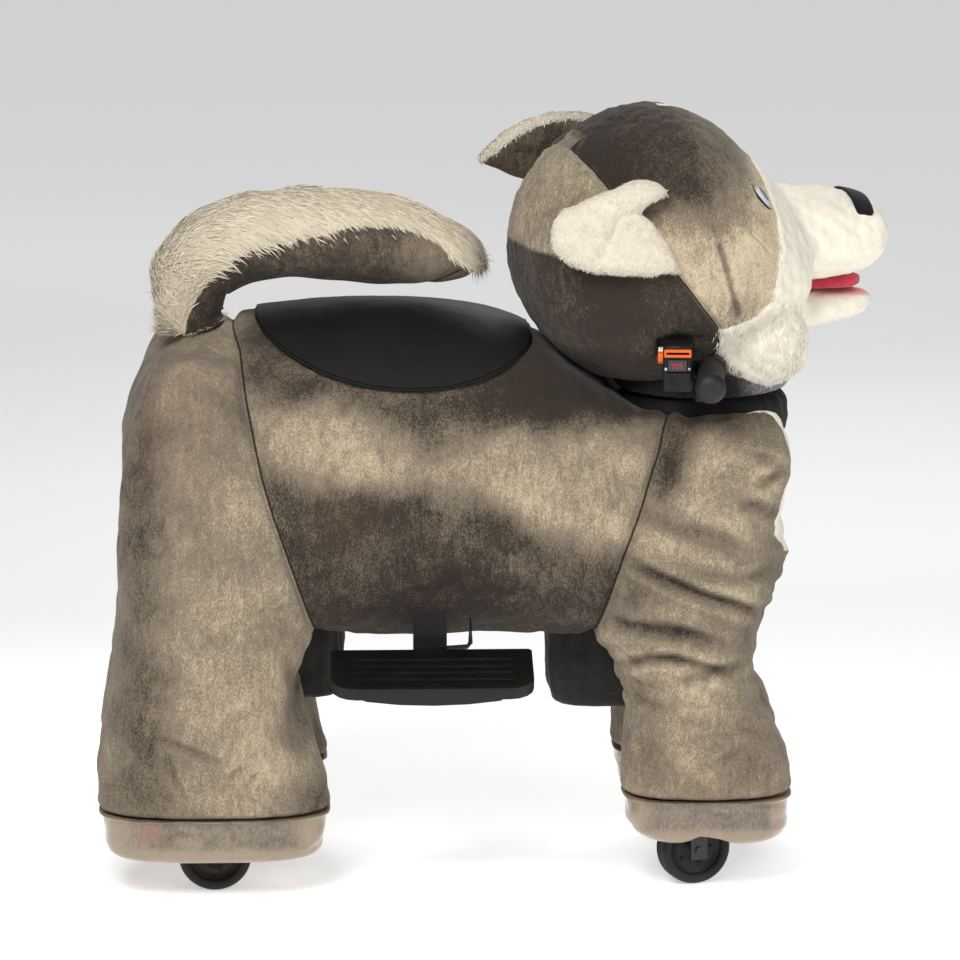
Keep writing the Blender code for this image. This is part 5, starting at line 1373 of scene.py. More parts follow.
class PlushBody:
    """The stuffed skin of the torso and the four legs, sewn from panels over padding."""

    voxel: float = 0.0078
    cushion: float = 0.0062
    cloth_frames: int = 20
    hem_fade: tuple[float, float] = (0.01, 0.045)
    # The opening of a steering arm: half its length, how far in its middle lies, its floor and its roof.
    arm_room: tuple[float, float, float, float] = (0.05, 0.026, 0.248, 0.294)
    # How the folds of the far legs are shifted, so that they don't mirror the near ones.
    far_sway: tuple[float, float] = (-0.006, 0.011)

    @staticmethod
    def torso_shape(turn: Array, share: Array) -> Array:
        """The barrel of the animal.

        Args:
            turn: Angles round it.
            share: Shares of its length.

        Returns:
            Its points.
        """
        row = spline(TORSO, share * (len(TORSO) - 1))
        low, high = RIDE.level(row[:, 1]), RIDE.level(row[:, 2])
        u, v = oval(turn, row[:, 3] * RIDE.half_width, (high - low) / 2, row[:, 4], 4.2)
        return np.stack([RIDE.along(row[:, 0]), u, (low + high) / 2 + v], axis=1)

    @staticmethod
    def leg(rows: Line, axis_x: float, track: float, hem: float, side: Side) -> Piece:
        """One padded leg.

        Args:
            rows: Its sections.
            axis_x: Where its axis stands.
            track: How far it stands from its twin.
            hem: The height of its lower edge.
            side: Its side.

        Returns:
            The leg.
        """

        def shape(turn: Array, share: Array) -> Array:
            """Its skin."""
            row = spline(rows, share * (len(rows) - 1))
            behind, ahead, outer, inner = (row[:, i] for i in range(1, 5))
            u, v = oval(turn, (ahead + behind) / 2, (outer + inner) / 2, 2.6)
            x = axis_x + (ahead - behind) / 2 + u
            y = side.value * (track / 2 + (outer - inner) / 2) + v
            return np.stack([x, y, RIDE.up_leg(row[:, 0], hem)], axis=1)

        return surface("leg_form", 48, 60, shape)

    def build(self) -> None:
        """Joins torso and legs in one skin, stuffs it, and sews and creases it."""
        parts = [surface("torso_form", 72, 90, self.torso_shape)]
        long, back, floor, roof = self.arm_room
        middle = RIDE.kingpin_x - back
        for side in Side:
            parts.append(self.leg(REAR_LEG, RIDE.axle_x, RIDE.rear_track, RIDE.rear_hem, side))
            front = self.leg(FRONT_LEG, RIDE.kingpin_x, RIDE.front_track, RIDE.front_hem, side)
            inner, outer = sorted((0.0, side.value * 0.16))
            parts.append(cut(front, block(
                "arm_room", (middle - long, inner, floor), (middle + long, outer, roof),
            )))
        skin = remeshed(joined("plush_body", *parts), self.voxel)
        grouped(skin, "free", self.hem_share(points_of(skin)))
        smoothed(skin, 14, "free")
        self.stuff(skin)
        modified(skin, "SUBSURF", levels=1, render_levels=1)
        self.sew(skin)
        self.colour(skin)
        dressed(
            skin, BODY_PLUSH, Slot.GREY_PLUSH, "chassis", "torso_cover", "rear_leg_cover_right",
            "rear_leg_cover_left", "front_leg_cover_right", "front_leg_cover_left",
        )

    def hem_share(self, points: Array) -> Array:
        """How free the cloth is.

        Args:
            points: Places on the skin.

        Returns:
            0 at the hems and round the steering arms' openings, 1 on the free cloth.
        """
        x, y, z = points.T
        inward = np.abs(y)
        hem = np.where(x < 0, RIDE.rear_hem, RIDE.front_hem)
        long, back, floor, roof = self.arm_room
        between = (x > RIDE.kingpin_x - 0.11) & (inward < 0.12) & (z < RIDE.belly)
        beside_arm = (np.abs(x - RIDE.kingpin_x + back) < long + 0.01) & (inward < 0.168)
        beside_arm &= np.abs(z - (floor + roof) / 2) < (roof - floor) / 2 + 0.011
        return np.where(between | beside_arm, 0.0, ramp(z - hem, *self.hem_fade))

    def held(self, points: Array) -> Array:
        """How firmly the cloth is held.

        Args:
            points: Places on the skin.

        Returns:
            1 where it is sewn down or covered and can't swell, 0 in the middle of a panel.
        """
        flat = points[:, [0, 2]]
        sewn = np.maximum(*(bell(off_line(flat, seam)[0], 0.01) for seam in (REAR_SEAM, FRONT_SEAM)))
        covered = np.maximum(Saddle.under(points), NeckRoll.under(points))
        return np.clip(np.maximum(np.maximum(sewn, covered), 1 - self.hem_share(points)), 0, 1)

    def stuff(self, skin: Piece) -> None:
        """Swells the skin between its seams with a short cloth simulation.

        Args:
            skin: The skin, still slack.
        """
        before = points_of(skin)
        grouped(skin, "sewn", self.held(before))
        cloth = skin.modifiers.new("stuffing", "CLOTH")
        cloth.settings.quality = 4
        cloth.settings.mass = 0.3
        cloth.settings.tension_stiffness = 22
        cloth.settings.compression_stiffness = 22
        cloth.settings.bending_stiffness = 0.6
        cloth.settings.use_pressure = True
        cloth.settings.uniform_pressure_force = 4.0
        cloth.settings.shrink_min = -0.03
        cloth.settings.vertex_group_mass = "sewn"
        cloth.settings.effector_weights.gravity = 0.0
        cloth.point_cache.frame_start = 1
        cloth.point_cache.frame_end = self.cloth_frames
        for step in range(1, self.cloth_frames + 1):
            bpy.context.scene.frame_set(step)
        solid_of(skin)
        bpy.context.scene.frame_set(1)
        swell = points_of(skin) - before
        size = np.linalg.norm(swell, axis=1)
        swell *= (np.minimum(size, self.cushion) / np.maximum(size, 1e-9))[:, None]
        place_points(skin, before + swell)

    def sew(self, skin: Piece) -> None:
        """Draws in the seams, presses the folds in and turns the hems.

        Args:
            skin: The swelled skin.
        """
        points, normals = points_of(skin), normals_of(skin)
        x, y, z = points.T
        flat = points[:, [0, 2]]
        rise = np.zeros(len(points))
        for seam in (REAR_SEAM, FRONT_SEAM):
            distance = off_line(flat, seam)[0]
            rise += 0.0022 * bell(np.abs(distance) - 0.012, 0.008) - 0.0042 * bell(distance, 0.0045)
        swayed = flat + np.where((y > 0)[:, None], self.far_sway, (0.0, 0.0))
        outer = ramp(np.abs(y), 0.03, 0.11) * ramp(z, 0.125, 0.15)
        for folds, zone in ((FRONT_FOLDS, ramp(x, 0.09, 0.17)), (REAR_FOLDS, ramp(-x, 0.18, 0.24))):
            rise += sum(fold.pressed(swayed) for fold in folds) * zone * outer
        free = 1 - self.held(points)
        rise += free * (0.002 * ripples(points, 0.16, 3) + 0.0008 * ripples(points, 0.045, 5))
        front_legs = ramp(x, 0.1, 0.16) * ramp(-z, -0.52, -0.4) * ramp(z, 0.13, 0.2)
        tilted = points * (0.35, 0.35, 1.0) + points[:, [2, 2, 0]] * (0.0, 0.0, 0.28)
        rise += 0.0022 * front_legs * ripples(tilted, 0.036, 9)
        turned_in = z - np.where(x < 0, RIDE.rear_hem, RIDE.front_hem)
        rise += 0.0014 * bell(turned_in - 0.01, 0.006) - 0.0012 * bell(turned_in - 0.002, 0.003)
        rise -= 0.0045 * Saddle.under(points) + 0.003 * NeckRoll.under(points)
        points += normals * rise[:, None]
        points[:, 0] -= self.chest_tuck(z) * ramp(x, 0.27, 0.345)
        place_points(skin, points)

    @staticmethod
    def chest_tuck(height: Array) -> Array:
        """How far the chest and the front of the legs draw in, at each height."""
        return 0.025 * bell(height - 0.444, 0.066) + 0.012 * bell(height - 0.3, 0.055)

    def colour(self, skin: Piece) -> None:
        """Says where the pile is light or dark, with painted shade and shadow among it, where the pale chest
        is and where the stitching runs.

        Args:
            skin: The sewn skin.
        """
        points = points_of(skin)
        x, y, z = points.T
        down = -normals_of(skin)[:, 2]
        flat = points[:, [0, 2]]
        tone = np.full(len(points), 0.53)
        for at_x, at_z, wide, high, change in PATCHES:
            tone += change * np.exp(-(((x - at_x) / wide) ** 2) - ((z - at_z) / high) ** 2)
        # Painted shade in the creases of the folds and painted light on the ridges beside them.
        rise = sum(fold.pressed(flat) for fold in (*FRONT_FOLDS, *REAR_FOLDS))
        tone += ramp(np.abs(y), 0.05, 0.11) * np.clip(rise * 42, -0.42, 0.16)
        behind = off_line(flat, REAR_SEAM)[0]
        before = off_line(flat, FRONT_SEAM)[0]
        flank = ramp(behind, -0.0015, 0.0015) * ramp(-before, -0.0015, 0.0015)
        strayed = flat + np.stack([ripples(points, 0.07, 17), ripples(points, 0.06, 19)], axis=1) * 0.007
        above = ramp(off_line(strayed, SADDLE_SHADE)[0], -0.026, 0.034)
        below = ramp(-off_line(strayed, BELLY_SHADE)[0], -0.028, 0.034)
        tone += flank * 0.13
        # Above the saddle line the pile is darker; from the middle forward, under the head, it is darkened
        # further as painted shadow.
        tone -= flank * above * (0.6 + 0.34 * ramp(x, -0.06, 0.06))
        tone -= flank * below * (0.66 - 0.06 * ramp(x, 0.0, 0.1))
        # A little random tone, and painted shade on faces that turn downwards.
        tone += 0.06 * ripples(points, 0.09, 21) - 0.1 * ramp(down, 0.35, 0.8)
        # Painted shade under the belly between the legs.
        between_legs = ramp(x, -0.26, -0.2) * ramp(-x, -0.16, -0.1)
        tone -= 1.6 * between_legs * ramp(down, 0.8, 0.93)
        # The pale bib: rounded below, and seen from the side only as a strip along the front.
        rounded = np.sqrt(1 - np.clip((0.48 - z) / 0.086, 0, 1) ** 2)
        front = x + 0.8 * self.chest_tuck(z)
        chest = np.minimum(front - 0.334 + 0.25 * np.abs(y), 0.115 * rounded - np.abs(y))
        chest = np.minimum(chest, np.minimum(z - 0.394, 0.66 - z)) + 0.0022 * ripples(points, 0.018, 27)
        seam = np.where(np.abs(before) < np.abs(behind), before, behind)
        paint(skin, tone=tone, pale=chest * 100, seam=seam * 1000)


class Saddle:
    """A thin padded cover of black leathercloth over the back, piped all round."""

    thickness: float = 0.0098
    flap: Line = (
        (0.076, 1.06), (0.094, 0.99), (0.146, 0.924), (0.228, 0.86), (0.329, 0.82), (0.436, 0.812),
        (0.537, 0.838), (0.612, 0.89), (0.66, 0.944), (0.69, 1.01),
    )
    cells: tuple[int, int] = (90, 110)
    welt_radius: float = 0.0021
    welt_rings: int = 360

    @classmethod
    def edge(cls) -> Array:
        """The saddle's lower edge as (x, z) points, from its rear end to its front end."""
        line = through(cls.flap, 160)
        return np.stack([RIDE.along(line[:, 0]), RIDE.level(line[:, 1])], axis=1)

    @classmethod
    def under(cls, points: Array) -> Array:
        """How far points lie under the saddle.

        Args:
            points: The points.

        Returns:
            1 under it, falling to 0 at its edge.
        """
        edge = cls.edge()
        outline = [*edge, (edge[-1][0], 0.8), (edge[0][0], 0.8)]
        return ramp(inside(points[:, [0, 2]], outline), 0.002, 0.014)

    @staticmethod
    def section(x: Array) -> list[Array]:
        """The torso's sections at places along it.

        Args:
            x: The places.

        Returns:
            The half widths, middle heights, half heights and squareness there.
        """
        rows = spline(TORSO, np.linspace(0, len(TORSO) - 1, 1200))
        low, high, wide, square = (np.interp(x, RIDE.along(rows[:, 0]), rows[:, i]) for i in range(1, 5))
        low, high = RIDE.level(low), RIDE.level(high)
        return [wide * RIDE.half_width, (low + high) / 2, (high - low) / 2, square]

    def shape(self, turn: Array, share: Array) -> Array:
        """The saddle's upper face, along its edge and over the back.

        Args:
            turn: Angles, from 0 at the right flap to a full turn at the left one.
            share: Shares of its length.

        Returns:
            Its points.
        """
        edge = self.edge()
        _, middle, half_height, _ = self.section(edge[:, 0])
        covered = np.flatnonzero(middle + half_height + self.thickness > edge[:, 1])
        rear, front = edge[covered[0], 0] + 0.0004, edge[covered[-1], 0] - 0.0004
        x = rear + (front - rear) * (0.5 - 0.5 * np.cos(np.pi * share))
        width, centre, height, square = self.section(x)
        low = np.interp(x, edge[:, 0], edge[:, 1])
        lift = np.clip((low - centre) / (height + self.thickness * 0.98), 0, 1) ** (square / 2)
        start = np.arcsin(np.clip(lift, 0, 1))
        across = turn / (2 * math.pi)
        angle = start + (math.pi - 2 * start) * (0.5 - 0.5 * np.cos(np.pi * across))
        brim = np.minimum(1.0, np.minimum(np.sin(np.pi * across), np.sin(np.pi * share)) * 9.0)
        puff = self.thickness * (0.45 + 0.55 * np.sqrt(brim))
        u, v = oval(angle, width + puff, height + puff, square)
        return np.stack([x, -u, centre + v], axis=1)

    def build(self) -> None:
        """Lays the cover on the back and pipes its edge."""
        pad = surface("saddle_pad", *self.cells, self.shape, closed=False, filled=False)
        bm = bmesh.new()
        bm.from_mesh(pad.data)
        bmesh.ops.remove_doubles(bm, verts=bm.verts, dist=4e-4)
        bmesh.ops.recalc_face_normals(bm, faces=bm.faces)
        rim = [edge for edge in bm.edges if edge.is_boundary]
        loop = [rim[0].verts[0], rim[0].verts[1]]
        links = {vert: [e for e in vert.link_edges if e.is_boundary] for e in rim for vert in e.verts}
        while loop[-1] is not loop[0]:
            step = next(e for e in links[loop[-1]] if e.other_vert(loop[-1]) is not loop[-2])
            loop.append(step.other_vert(loop[-1]))
        border = np.array([tuple(vert.co) for vert in loop])
        if sum(face.normal.z for face in bm.faces) <= 0:
            bmesh.ops.reverse_faces(bm, faces=bm.faces)
        bmesh.ops.solidify(bm, geom=bm.faces[:], thickness=0.0035)
        for face in bm.faces:
            face.smooth = True
        bm.to_mesh(pad.data)
        bm.free()
        points = points_of(pad)
        sink = 0.0009 * ripples(points, 0.12, 31) + 0.0004 * ripples(points, 0.03, 33)
        place_points(pad, points - normals_of(pad) * np.abs(sink)[:, None] * 0.6)
        dressed(pad, SADDLE_VINYL, Slot.VINYL, "chassis", "saddle")
        self.pipe(border)

    def pipe(self, border: Array) -> None:
        """A thin round welt along the cover's edge.

        Args:
            border: The edge's points, the first of them repeated at the end.
        """
        passed = np.concatenate([[0], np.cumsum(np.linalg.norm(np.diff(border, axis=0), axis=1))])
        at = np.linspace(0, passed[-1], self.welt_rings + 1)[:-1]
        even = np.stack([np.interp(at, passed, border[:, i]) for i in range(3)], axis=1)
        ahead = unit(np.roll(even, -1, axis=0) - np.roll(even, 1, axis=0))
        side = unit(np.cross(ahead, even - np.array((even[:, 0].mean(), 0, 0.55))))
        top = np.cross(side, ahead)
        line, side, top = (np.vstack([rows, rows[:1]]) for rows in (even, side, top))
        sizes = np.full((len(line), 2), self.welt_radius)
        welt = swept("saddle_piping", line, (side, top), sizes, 10, filled=False)
        dressed(welt, PIPING, Slot.VINYL, "chassis")


class NeckRoll:
    """A stuffed ring of black fleece on the shoulders, under the head."""

    profile: Line = (
        (0.034, 0.556), (0.07, 0.548), (0.1, 0.546), (0.1075, 0.56), (0.108, 0.576), (0.1045, 0.591),
        (0.09, 0.601), (0.06, 0.6025), (0.034, 0.6015),
    )

    @staticmethod
    def under(points: Array) -> Array:
        """1 under the ring, 0 away from it."""
        away = np.hypot(points[:, 0] - RIDE.kingpin_x, points[:, 1])
        return ramp(-away, -0.118, -0.104) * ramp(points[:, 2], 0.5, 0.53)

    def build(self) -> None:
        """Spins the ring and gathers it unevenly."""
        closed = through([*self.profile, self.profile[0]], 56)
        ring = turned("neck_roll_fleece", closed, 120)
        points = points_of(ring)
        bend = np.arctan2(points[:, 1], points[:, 0])
        out = ramp(np.hypot(points[:, 0], points[:, 1]), 0.05, 0.1)
        tucks = 0.0011 * np.sin(bend * 23 + 0.6 * np.sin(bend * 5))
        gather = out * (tucks + 0.0012 * ripples(points, 0.05, 41))
        place_points(ring, points - normals_of(ring) * np.abs(gather)[:, None])
        moved(ring, Matrix.Translation((RIDE.kingpin_x, 0, 0)))
        dressed(ring, FLEECE, Slot.DARK_CLOTH, "chassis", "neck_roll")


class Shoe:
    """A padded foot under a leg, with glossy clear film drawn over its plush."""

    rear_rows: Line = (
        (0.046, 0.06, 0.03, 0.0), (0.0462, 0.104, 0.052, 0.0), (0.047, 0.112, 0.058, 0.0),
        (0.051, 0.1245, 0.0675, 0.0), (0.059, 0.1325, 0.074, 0.0), (0.069, 0.136, 0.0768, 0.0),
        (0.084, 0.1372, 0.078, 0.0), (0.1, 0.1378, 0.0786, 0.0), (0.1045, 0.137, 0.078, 0.0),
        (0.1047, 0.06, 0.03, 0.0),
    )
    front_rows: Line = (
        (0.057, 0.034, 0.02, 0.01), (0.0572, 0.06, 0.042, 0.01), (0.0584, 0.068, 0.049, 0.009),
        (0.0635, 0.0825, 0.0605, 0.007), (0.072, 0.0935, 0.068, 0.005), (0.082, 0.0985, 0.0718, 0.003),
        (0.098, 0.1005, 0.0735, 0.002), (0.113, 0.1012, 0.074, 0.002), (0.1175, 0.1004, 0.0734, 0.002),
        (0.1177, 0.045, 0.03, 0.002),
    )

    # Of the rear wheel well: its radius and the play on each side of the wheel.
    well: tuple[float, float, float] = (0.05, 0.0065, 0.007)

    def __init__(self, side: Side, rear: bool) -> None:
        """Says which foot it is.

        Args:
            side: Its side.
            rear: Whether it is a rear foot.
        """
        self.side = side
        self.rear = rear
        self.rows = self.rear_rows if rear else self.front_rows
        self.axis_x = RIDE.axle_x if rear else RIDE.kingpin_x
        self.y = side.value * (RIDE.rear_track if rear else RIDE.front_track) / 2

    def shape(self, turn: Array, share: Array) -> Array:
        """The foot's skin, from the sole up.

        Args:
            turn: Angles round it.
            share: Shares of the way up.

        Returns:
            Its points.
        """
        row = through(self.rows, 400)[np.rint(share * 399).astype(int)]
        u, v = oval(turn, row[:, 1], row[:, 2], 3.0)
        return np.stack([self.axis_x + row[:, 3] + u, self.y + v, row[:, 0]], axis=1)

    def slot(self, half_length: float, ends: Sequence[float], top: float) -> Piece:
        """A box, open to the ground, that the frame or the axle needs; ends are its two distances out."""
        near, far = sorted(self.side.value * end for end in ends)
        return block("slot", (self.axis_x - half_length, near, 0.0), (self.axis_x + half_length, far, top))

    def wells(self) -> list[Piece]:
        """What is cut out of the foot for its wheel, frame and axle."""
        half = RIDE.wheel_width / 2
        if not self.rear:
            reach = math.hypot(RIDE.wheel_radius + RIDE.caster_trail, half + 0.006) + 0.004
            well = turned("well", ((0.0, 0.0), (reach, 0.0), (reach, 0.1075), (0.0, 0.1075)), 48)
            pin = turned("well", ((0.0, 0.05), (0.0135, 0.05), (0.0135, 0.2), (0.0, 0.2)), 24)
            return [moved(tool, Matrix.Translation((self.axis_x, self.y, 0))) for tool in (well, pin)]
        radius, inner, outer = self.well
        low, high = -half - inner, half + outer
        well = turned("well", ((0.0, low), (radius, low), (radius, high), (0.0, high)), 48)
        face = Matrix.Rotation(math.radians(-90 * self.side.value), 4, "X")
        moved(well, Matrix.Translation((self.axis_x, self.y, RIDE.wheel_radius)) @ face)
        post = RIDE.rear_track / 2 - half - 0.02
        return [
            well, self.slot(0.018, (post - 0.011, post + 0.011), 0.2),
            self.slot(0.0135, (0.02, RIDE.rear_track / 2 - 0.004), 0.0565),
        ]

    def build(self) -> None:
        """Makes the foot, cuts its wells and marks its film."""
        name = "%s_shoe_%s" % ("rear" if self.rear else "front", self.side.word)
        foot = surface(name + "_film", 120, 60, self.shape)
        points, normals = points_of(foot), normals_of(foot)
        ahead = points[:, 0] - self.axis_x
        bend = np.arctan2(points[:, 1] - self.y, ahead)
        low = ramp(-points[:, 2], -0.08, -0.055)
        pleat = low * ramp(ahead, 0.02, 0.06) * (0.5 + 0.5 * np.sin(bend * 46))
        pull = 0.0011 * ripples(points * (1, 1, 2.2), 0.055, 50 + self.rear) - 0.001 * pleat
        side_on = ramp(1 - np.abs(normals[:, 2]), 0.2, 0.6)
        place_points(foot, points + normals * ((pull - 0.0008) * side_on)[:, None])
        cut(foot, *self.wells())
        x, _, z = points_of(foot).T
        top = self.rows[-2][0]
        ends = np.abs(x - self.axis_x - self.rows[5][3]) / self.rows[6][1]
        haze = np.maximum(ramp(ends, 0.55, 0.98), ramp(top - z, 0.022, 0.05))
        worn = bell(np.hypot(x + 0.428, z - 0.092), 0.012) if self.rear else 0.0
        paint(foot, haze=haze, worn=worn)
        dressed(foot, SHOE_FILM, Slot.SHOE_FILM, "chassis", name)


class ClothBag:
    """A dark cloth bag that hangs below the body and hides the mechanism."""

    def __init__(self, name: str, node: str, low: Sequence[float], high: Sequence[float], slot: bool) -> None:
        """Keeps the bag's sizes, which are those of its CAD solid.

        Args:
            name: Its name.
            node: The CAD node it stands for.
            low: Its lowest corner.
            high: Its highest corner.
            slot: Whether the steering rod passes through it.
        """
        self.name = name
        self.node = node
        self.low = low
        self.high = high
        self.slot = slot

    def shape(self, turn: Array, share: Array) -> Array:
        """The bag's skin from its bottom up, drawn in at the rim and full below.

        Args:
            turn: Angles round it.
            share: Shares of the way up.

        Returns:
            Its points.
        """
        middle = (self.low[0] + self.high[0]) / 2
        tall = self.high[2] - self.low[2]
        full = np.interp(share, (0, 0.03, 0.1, 0.28, 0.7, 1.0), (0.55, 0.82, 0.93, 0.99, 1.0, 0.985))
        u, v = oval(turn, (self.high[0] - self.low[0]) / 2 * full, self.high[1] * full, 4.0)
        z = self.low[2] + tall * np.interp(share, (0, 0.03, 0.1, 1.0), (0.004, 0.004, 0.05, 1.0))
        points = np.stack([middle + u, v, z], axis=1)
        gather = 0.5 + 0.5 * np.sin(turn * 19 + 1.3 * np.sin(turn * 4 + share * 2))
        draw_in = 0.0022 * gather * np.sin(np.pi * np.clip(share, 0, 1)) ** 0.5
        draw_in += 0.0012 * np.abs(ripples(points, 0.06, 61))
        inward = np.stack([-np.cos(turn), -np.sin(turn), np.zeros(len(turn))], axis=1)
        return points + inward * draw_in[:, None]

    def build(self) -> None:
        """Makes the bag with its bottom closed and its mouth open under the body."""
        bm = bmesh.new()
        bag = surface(self.name, 96, 40, self.shape, filled=False)
        bm.from_mesh(bag.data)
        removed(bag)
        rims = [e for e in bm.edges if e.is_boundary and e.verts[0].co.z < self.low[2] + 0.02]
        bmesh.ops.holes_fill(bm, edges=rims, sides=0)
        bag = piece_of(self.name, bm)
        modified(bag, "SOLIDIFY", thickness=0.0028, offset=-1.0)
        if self.slot:
            x = RIDE.kingpin_x
            cut(bag, block("slot_tool", (x - 0.063, -0.06, 0.2585), (x - 0.027, 0.06, 0.2905)))
        dressed(bag, LINING, Slot.DARK_CLOTH, "chassis", self.node)


# Lines on the head as (distance ahead of the steering axis, height), on its right side.
FACE_EDGE = (
    (0.12, 0.99), (0.08, 0.945), (0.056, 0.915), (0.04, 0.892), (0.044, 0.868), (0.047, 0.848),
    (0.048, 0.82), (0.047, 0.79), (0.04, 0.757), (0.0345, 0.73), (0.015, 0.712), (-0.007, 0.7045),
    (-0.033, 0.699), (-0.031, 0.691), (-0.024, 0.667), (-0.0115, 0.651), (0.009, 0.639), (0.03, 0.6),
)
CHEEK_SEAM = (
    (-0.13, 0.782), (-0.116, 0.78), (-0.095, 0.773), (-0.075, 0.748), (-0.036, 0.703), (-0.03, 0.69),
)
SIDE_SEAM = ((-0.041, 0.806), (-0.034, 0.785), (-0.027, 0.762), (-0.02, 0.741), (-0.011, 0.717))
CROWN_EDGE = (
    (-0.145, 0.98), (-0.163, 0.928), (-0.182, 0.911), (-0.178, 0.903), (-0.172, 0.891), (-0.16, 0.868),
    (-0.14, 0.85),
)
FACE_CREASES = (
    ((0.004, 0.818), (0.03, 0.793)), ((0.004, 0.781), (0.032, 0.776)), ((0.045, 0.7), (0.075, 0.716)),
)
# The seam distance, in millimetres, that a finish takes for no seam.
NO_SEAM = 9.0


class Head:
    """The stuffed head that turns with the handlebar, with muzzle, jaw and cheeks in one skin."""

    voxel: float = 0.0042

    def build(self) -> None:
        """Joins the forms, leaves room for the bar and coin unit, and sews the face."""
        parts = [
            surface("head_form", 64, 80, facing(HEAD, 2.0)),
            surface("muzzle_form", 48, 50, facing(MUZZLE, 2.3)),
            surface("jaw_form", 48, 50, facing(JAW, 2.3)),
        ]
        for side in Side:
            parts.append(lump(
                "cheek_form", (0.044, side.value * 0.076, 0.668), (0.066, 0.052, 0.056), side.value * 0.3,
            ))
        skin = remeshed(joined("plush_head", *parts), self.voxel)
        x, _, z = points_of(skin).T
        mouth = (np.abs(z - 0.724) < 0.022) & (x > 0.085)
        grouped(skin, "free", np.where(mouth, 0.15, 1.0))
        smoothed(skin, 14, "free")
        cut(skin, *self.rooms())
        smoothed(remeshed(skin, self.voxel), 3)
        modified(skin, "SUBSURF", levels=1, render_levels=1)
        self.sew(skin)
        self.colour(skin)
        self.ruff(skin)
        moved(skin, RIDE.steered())
        dressed(
            skin, HEAD_PLUSH, Slot.GREY_PLUSH, "steering", "head", "muzzle", "lower_jaw", "cheek_right",
            "cheek_left",
        )

    @staticmethod
    def rooms() -> list[Piece]:
        """The way of the handlebar, the pocket of its clamp and the room of the coin unit."""
        path = [(x, y, RIDE.bar_height) for x, y in Handlebar.path]
        channel = tube("bar_room", path, 0.0135, 16, 80)
        pocket = block("clamp_room", (-0.018, -0.026, 0.5), (0.062, 0.026, 0.704))
        seat = CoinUnit.place()
        low, high = CoinUnit.box()
        room = block("coin_room", low - Vector((0.0105, 0.03, 0.008)), high + Vector((0.022, 0.006, 0.005)))
        return [channel, pocket, moved(room, seat)]

    @staticmethod
    def sew(skin: Piece) -> None:
        """Draws in the seams between the head's panels and lets the cloth bulge between them.

        Args:
            skin: The head's skin.
        """
        points, normals = points_of(skin), normals_of(skin)
        flat = points[:, [0, 2]]
        side_on = ramp(np.abs(points[:, 1]), 0.03, 0.07)
        rise = 0.0012 * ripples(points, 0.07, 71) + 0.0005 * ripples(points, 0.022, 73)
        for line, depth in ((CHEEK_SEAM, 0.004), (SIDE_SEAM, 0.003), (CROWN_EDGE, 0.0022)):
            distance = off_line(flat, line)[0]
            puffed = 0.4 * depth * bell(np.abs(distance) - 0.01, 0.006)
            rise += side_on * (puffed - depth * bell(distance, 0.0035))
        face = off_line(flat, FACE_EDGE)[0]
        rise += 0.0016 * bell(face - 0.006, 0.006) * side_on
        for line in FACE_CREASES:
            rise -= 0.0016 * bell(off_line(flat, line)[0], 0.0022) * side_on
        place_points(skin, points + normals * rise[:, None])

    @staticmethod
    def pale_share(points: Array) -> Array:
        """How far points are inside the white of the face.

        Args:
            points: The points.

        Returns:
            A distance for each, in metres, below zero outside it.
        """
        x, y, z = points.T
        white = np.where(x < -0.04, -0.03, off_line(points[:, [0, 2]], FACE_EDGE)[0])
        blaze = 0.009 + 0.016 * ramp(x, 0.02, 0.07) - np.abs(y)
        return np.maximum(white, np.minimum(np.where(z > 0.8, blaze, -0.03), x + 0.06))

    def colour(self, skin: Piece) -> None:
        """Paints the dark crown and neck panel, the white face, the seams and painted shade on the head
        behind the ears.

        Args:
            skin: The head's skin.
        """
        points = points_of(skin)
        x, y, z = points.T
        flat = points[:, [0, 2]]
        tone = np.full(len(points), 0.9) - 0.24 * ramp(-x, 0.1, 0.18)
        stray = ripples(points, 0.05, 77) * 0.006
        crown = off_line(flat, CROWN_EDGE)[0]
        in_crown = ramp(crown, -0.002, 0.004)
        fade = ramp(-x - stray, 0.004, 0.072) * ramp(z + stray, 0.838, 0.878)
        tone -= 0.34 * ramp(-x - stray, -0.04, 0.01) * ramp(z + stray, 0.8, 0.85) * in_crown
        tone -= 0.6 * np.where(crown > -0.002, fade, 0.0) * in_crown
        tone -= 0.4 * bell(x + stray - 0.006, 0.036) * ramp(z + stray, 0.855, 0.905)
        tone -= 0.3 * bell(x + stray + 0.055, 0.036) * bell(z + stray - 0.825, 0.04)
        below = 0.782 + 0.1 * np.clip(-x - 0.12, 0, 1) - z
        under_seam = ramp(-off_line(flat, CHEEK_SEAM)[0], -0.001, 0.003)
        lower = np.where(x < -0.116, ramp(below, -0.003, 0.004), under_seam)
        lower = np.where(x > -0.02, 0.0, lower)
        tone -= lower * (0.98 - 0.28 * ramp(-x, 0.15, 0.22) - 0.1 * bell(z - 0.68, 0.016))
        tone -= 0.1 * ramp(-z, -0.665, -0.625)
        tone -= 0.22 * bell(x + 0.015, 0.03) * ramp(-z, -0.76, -0.72)
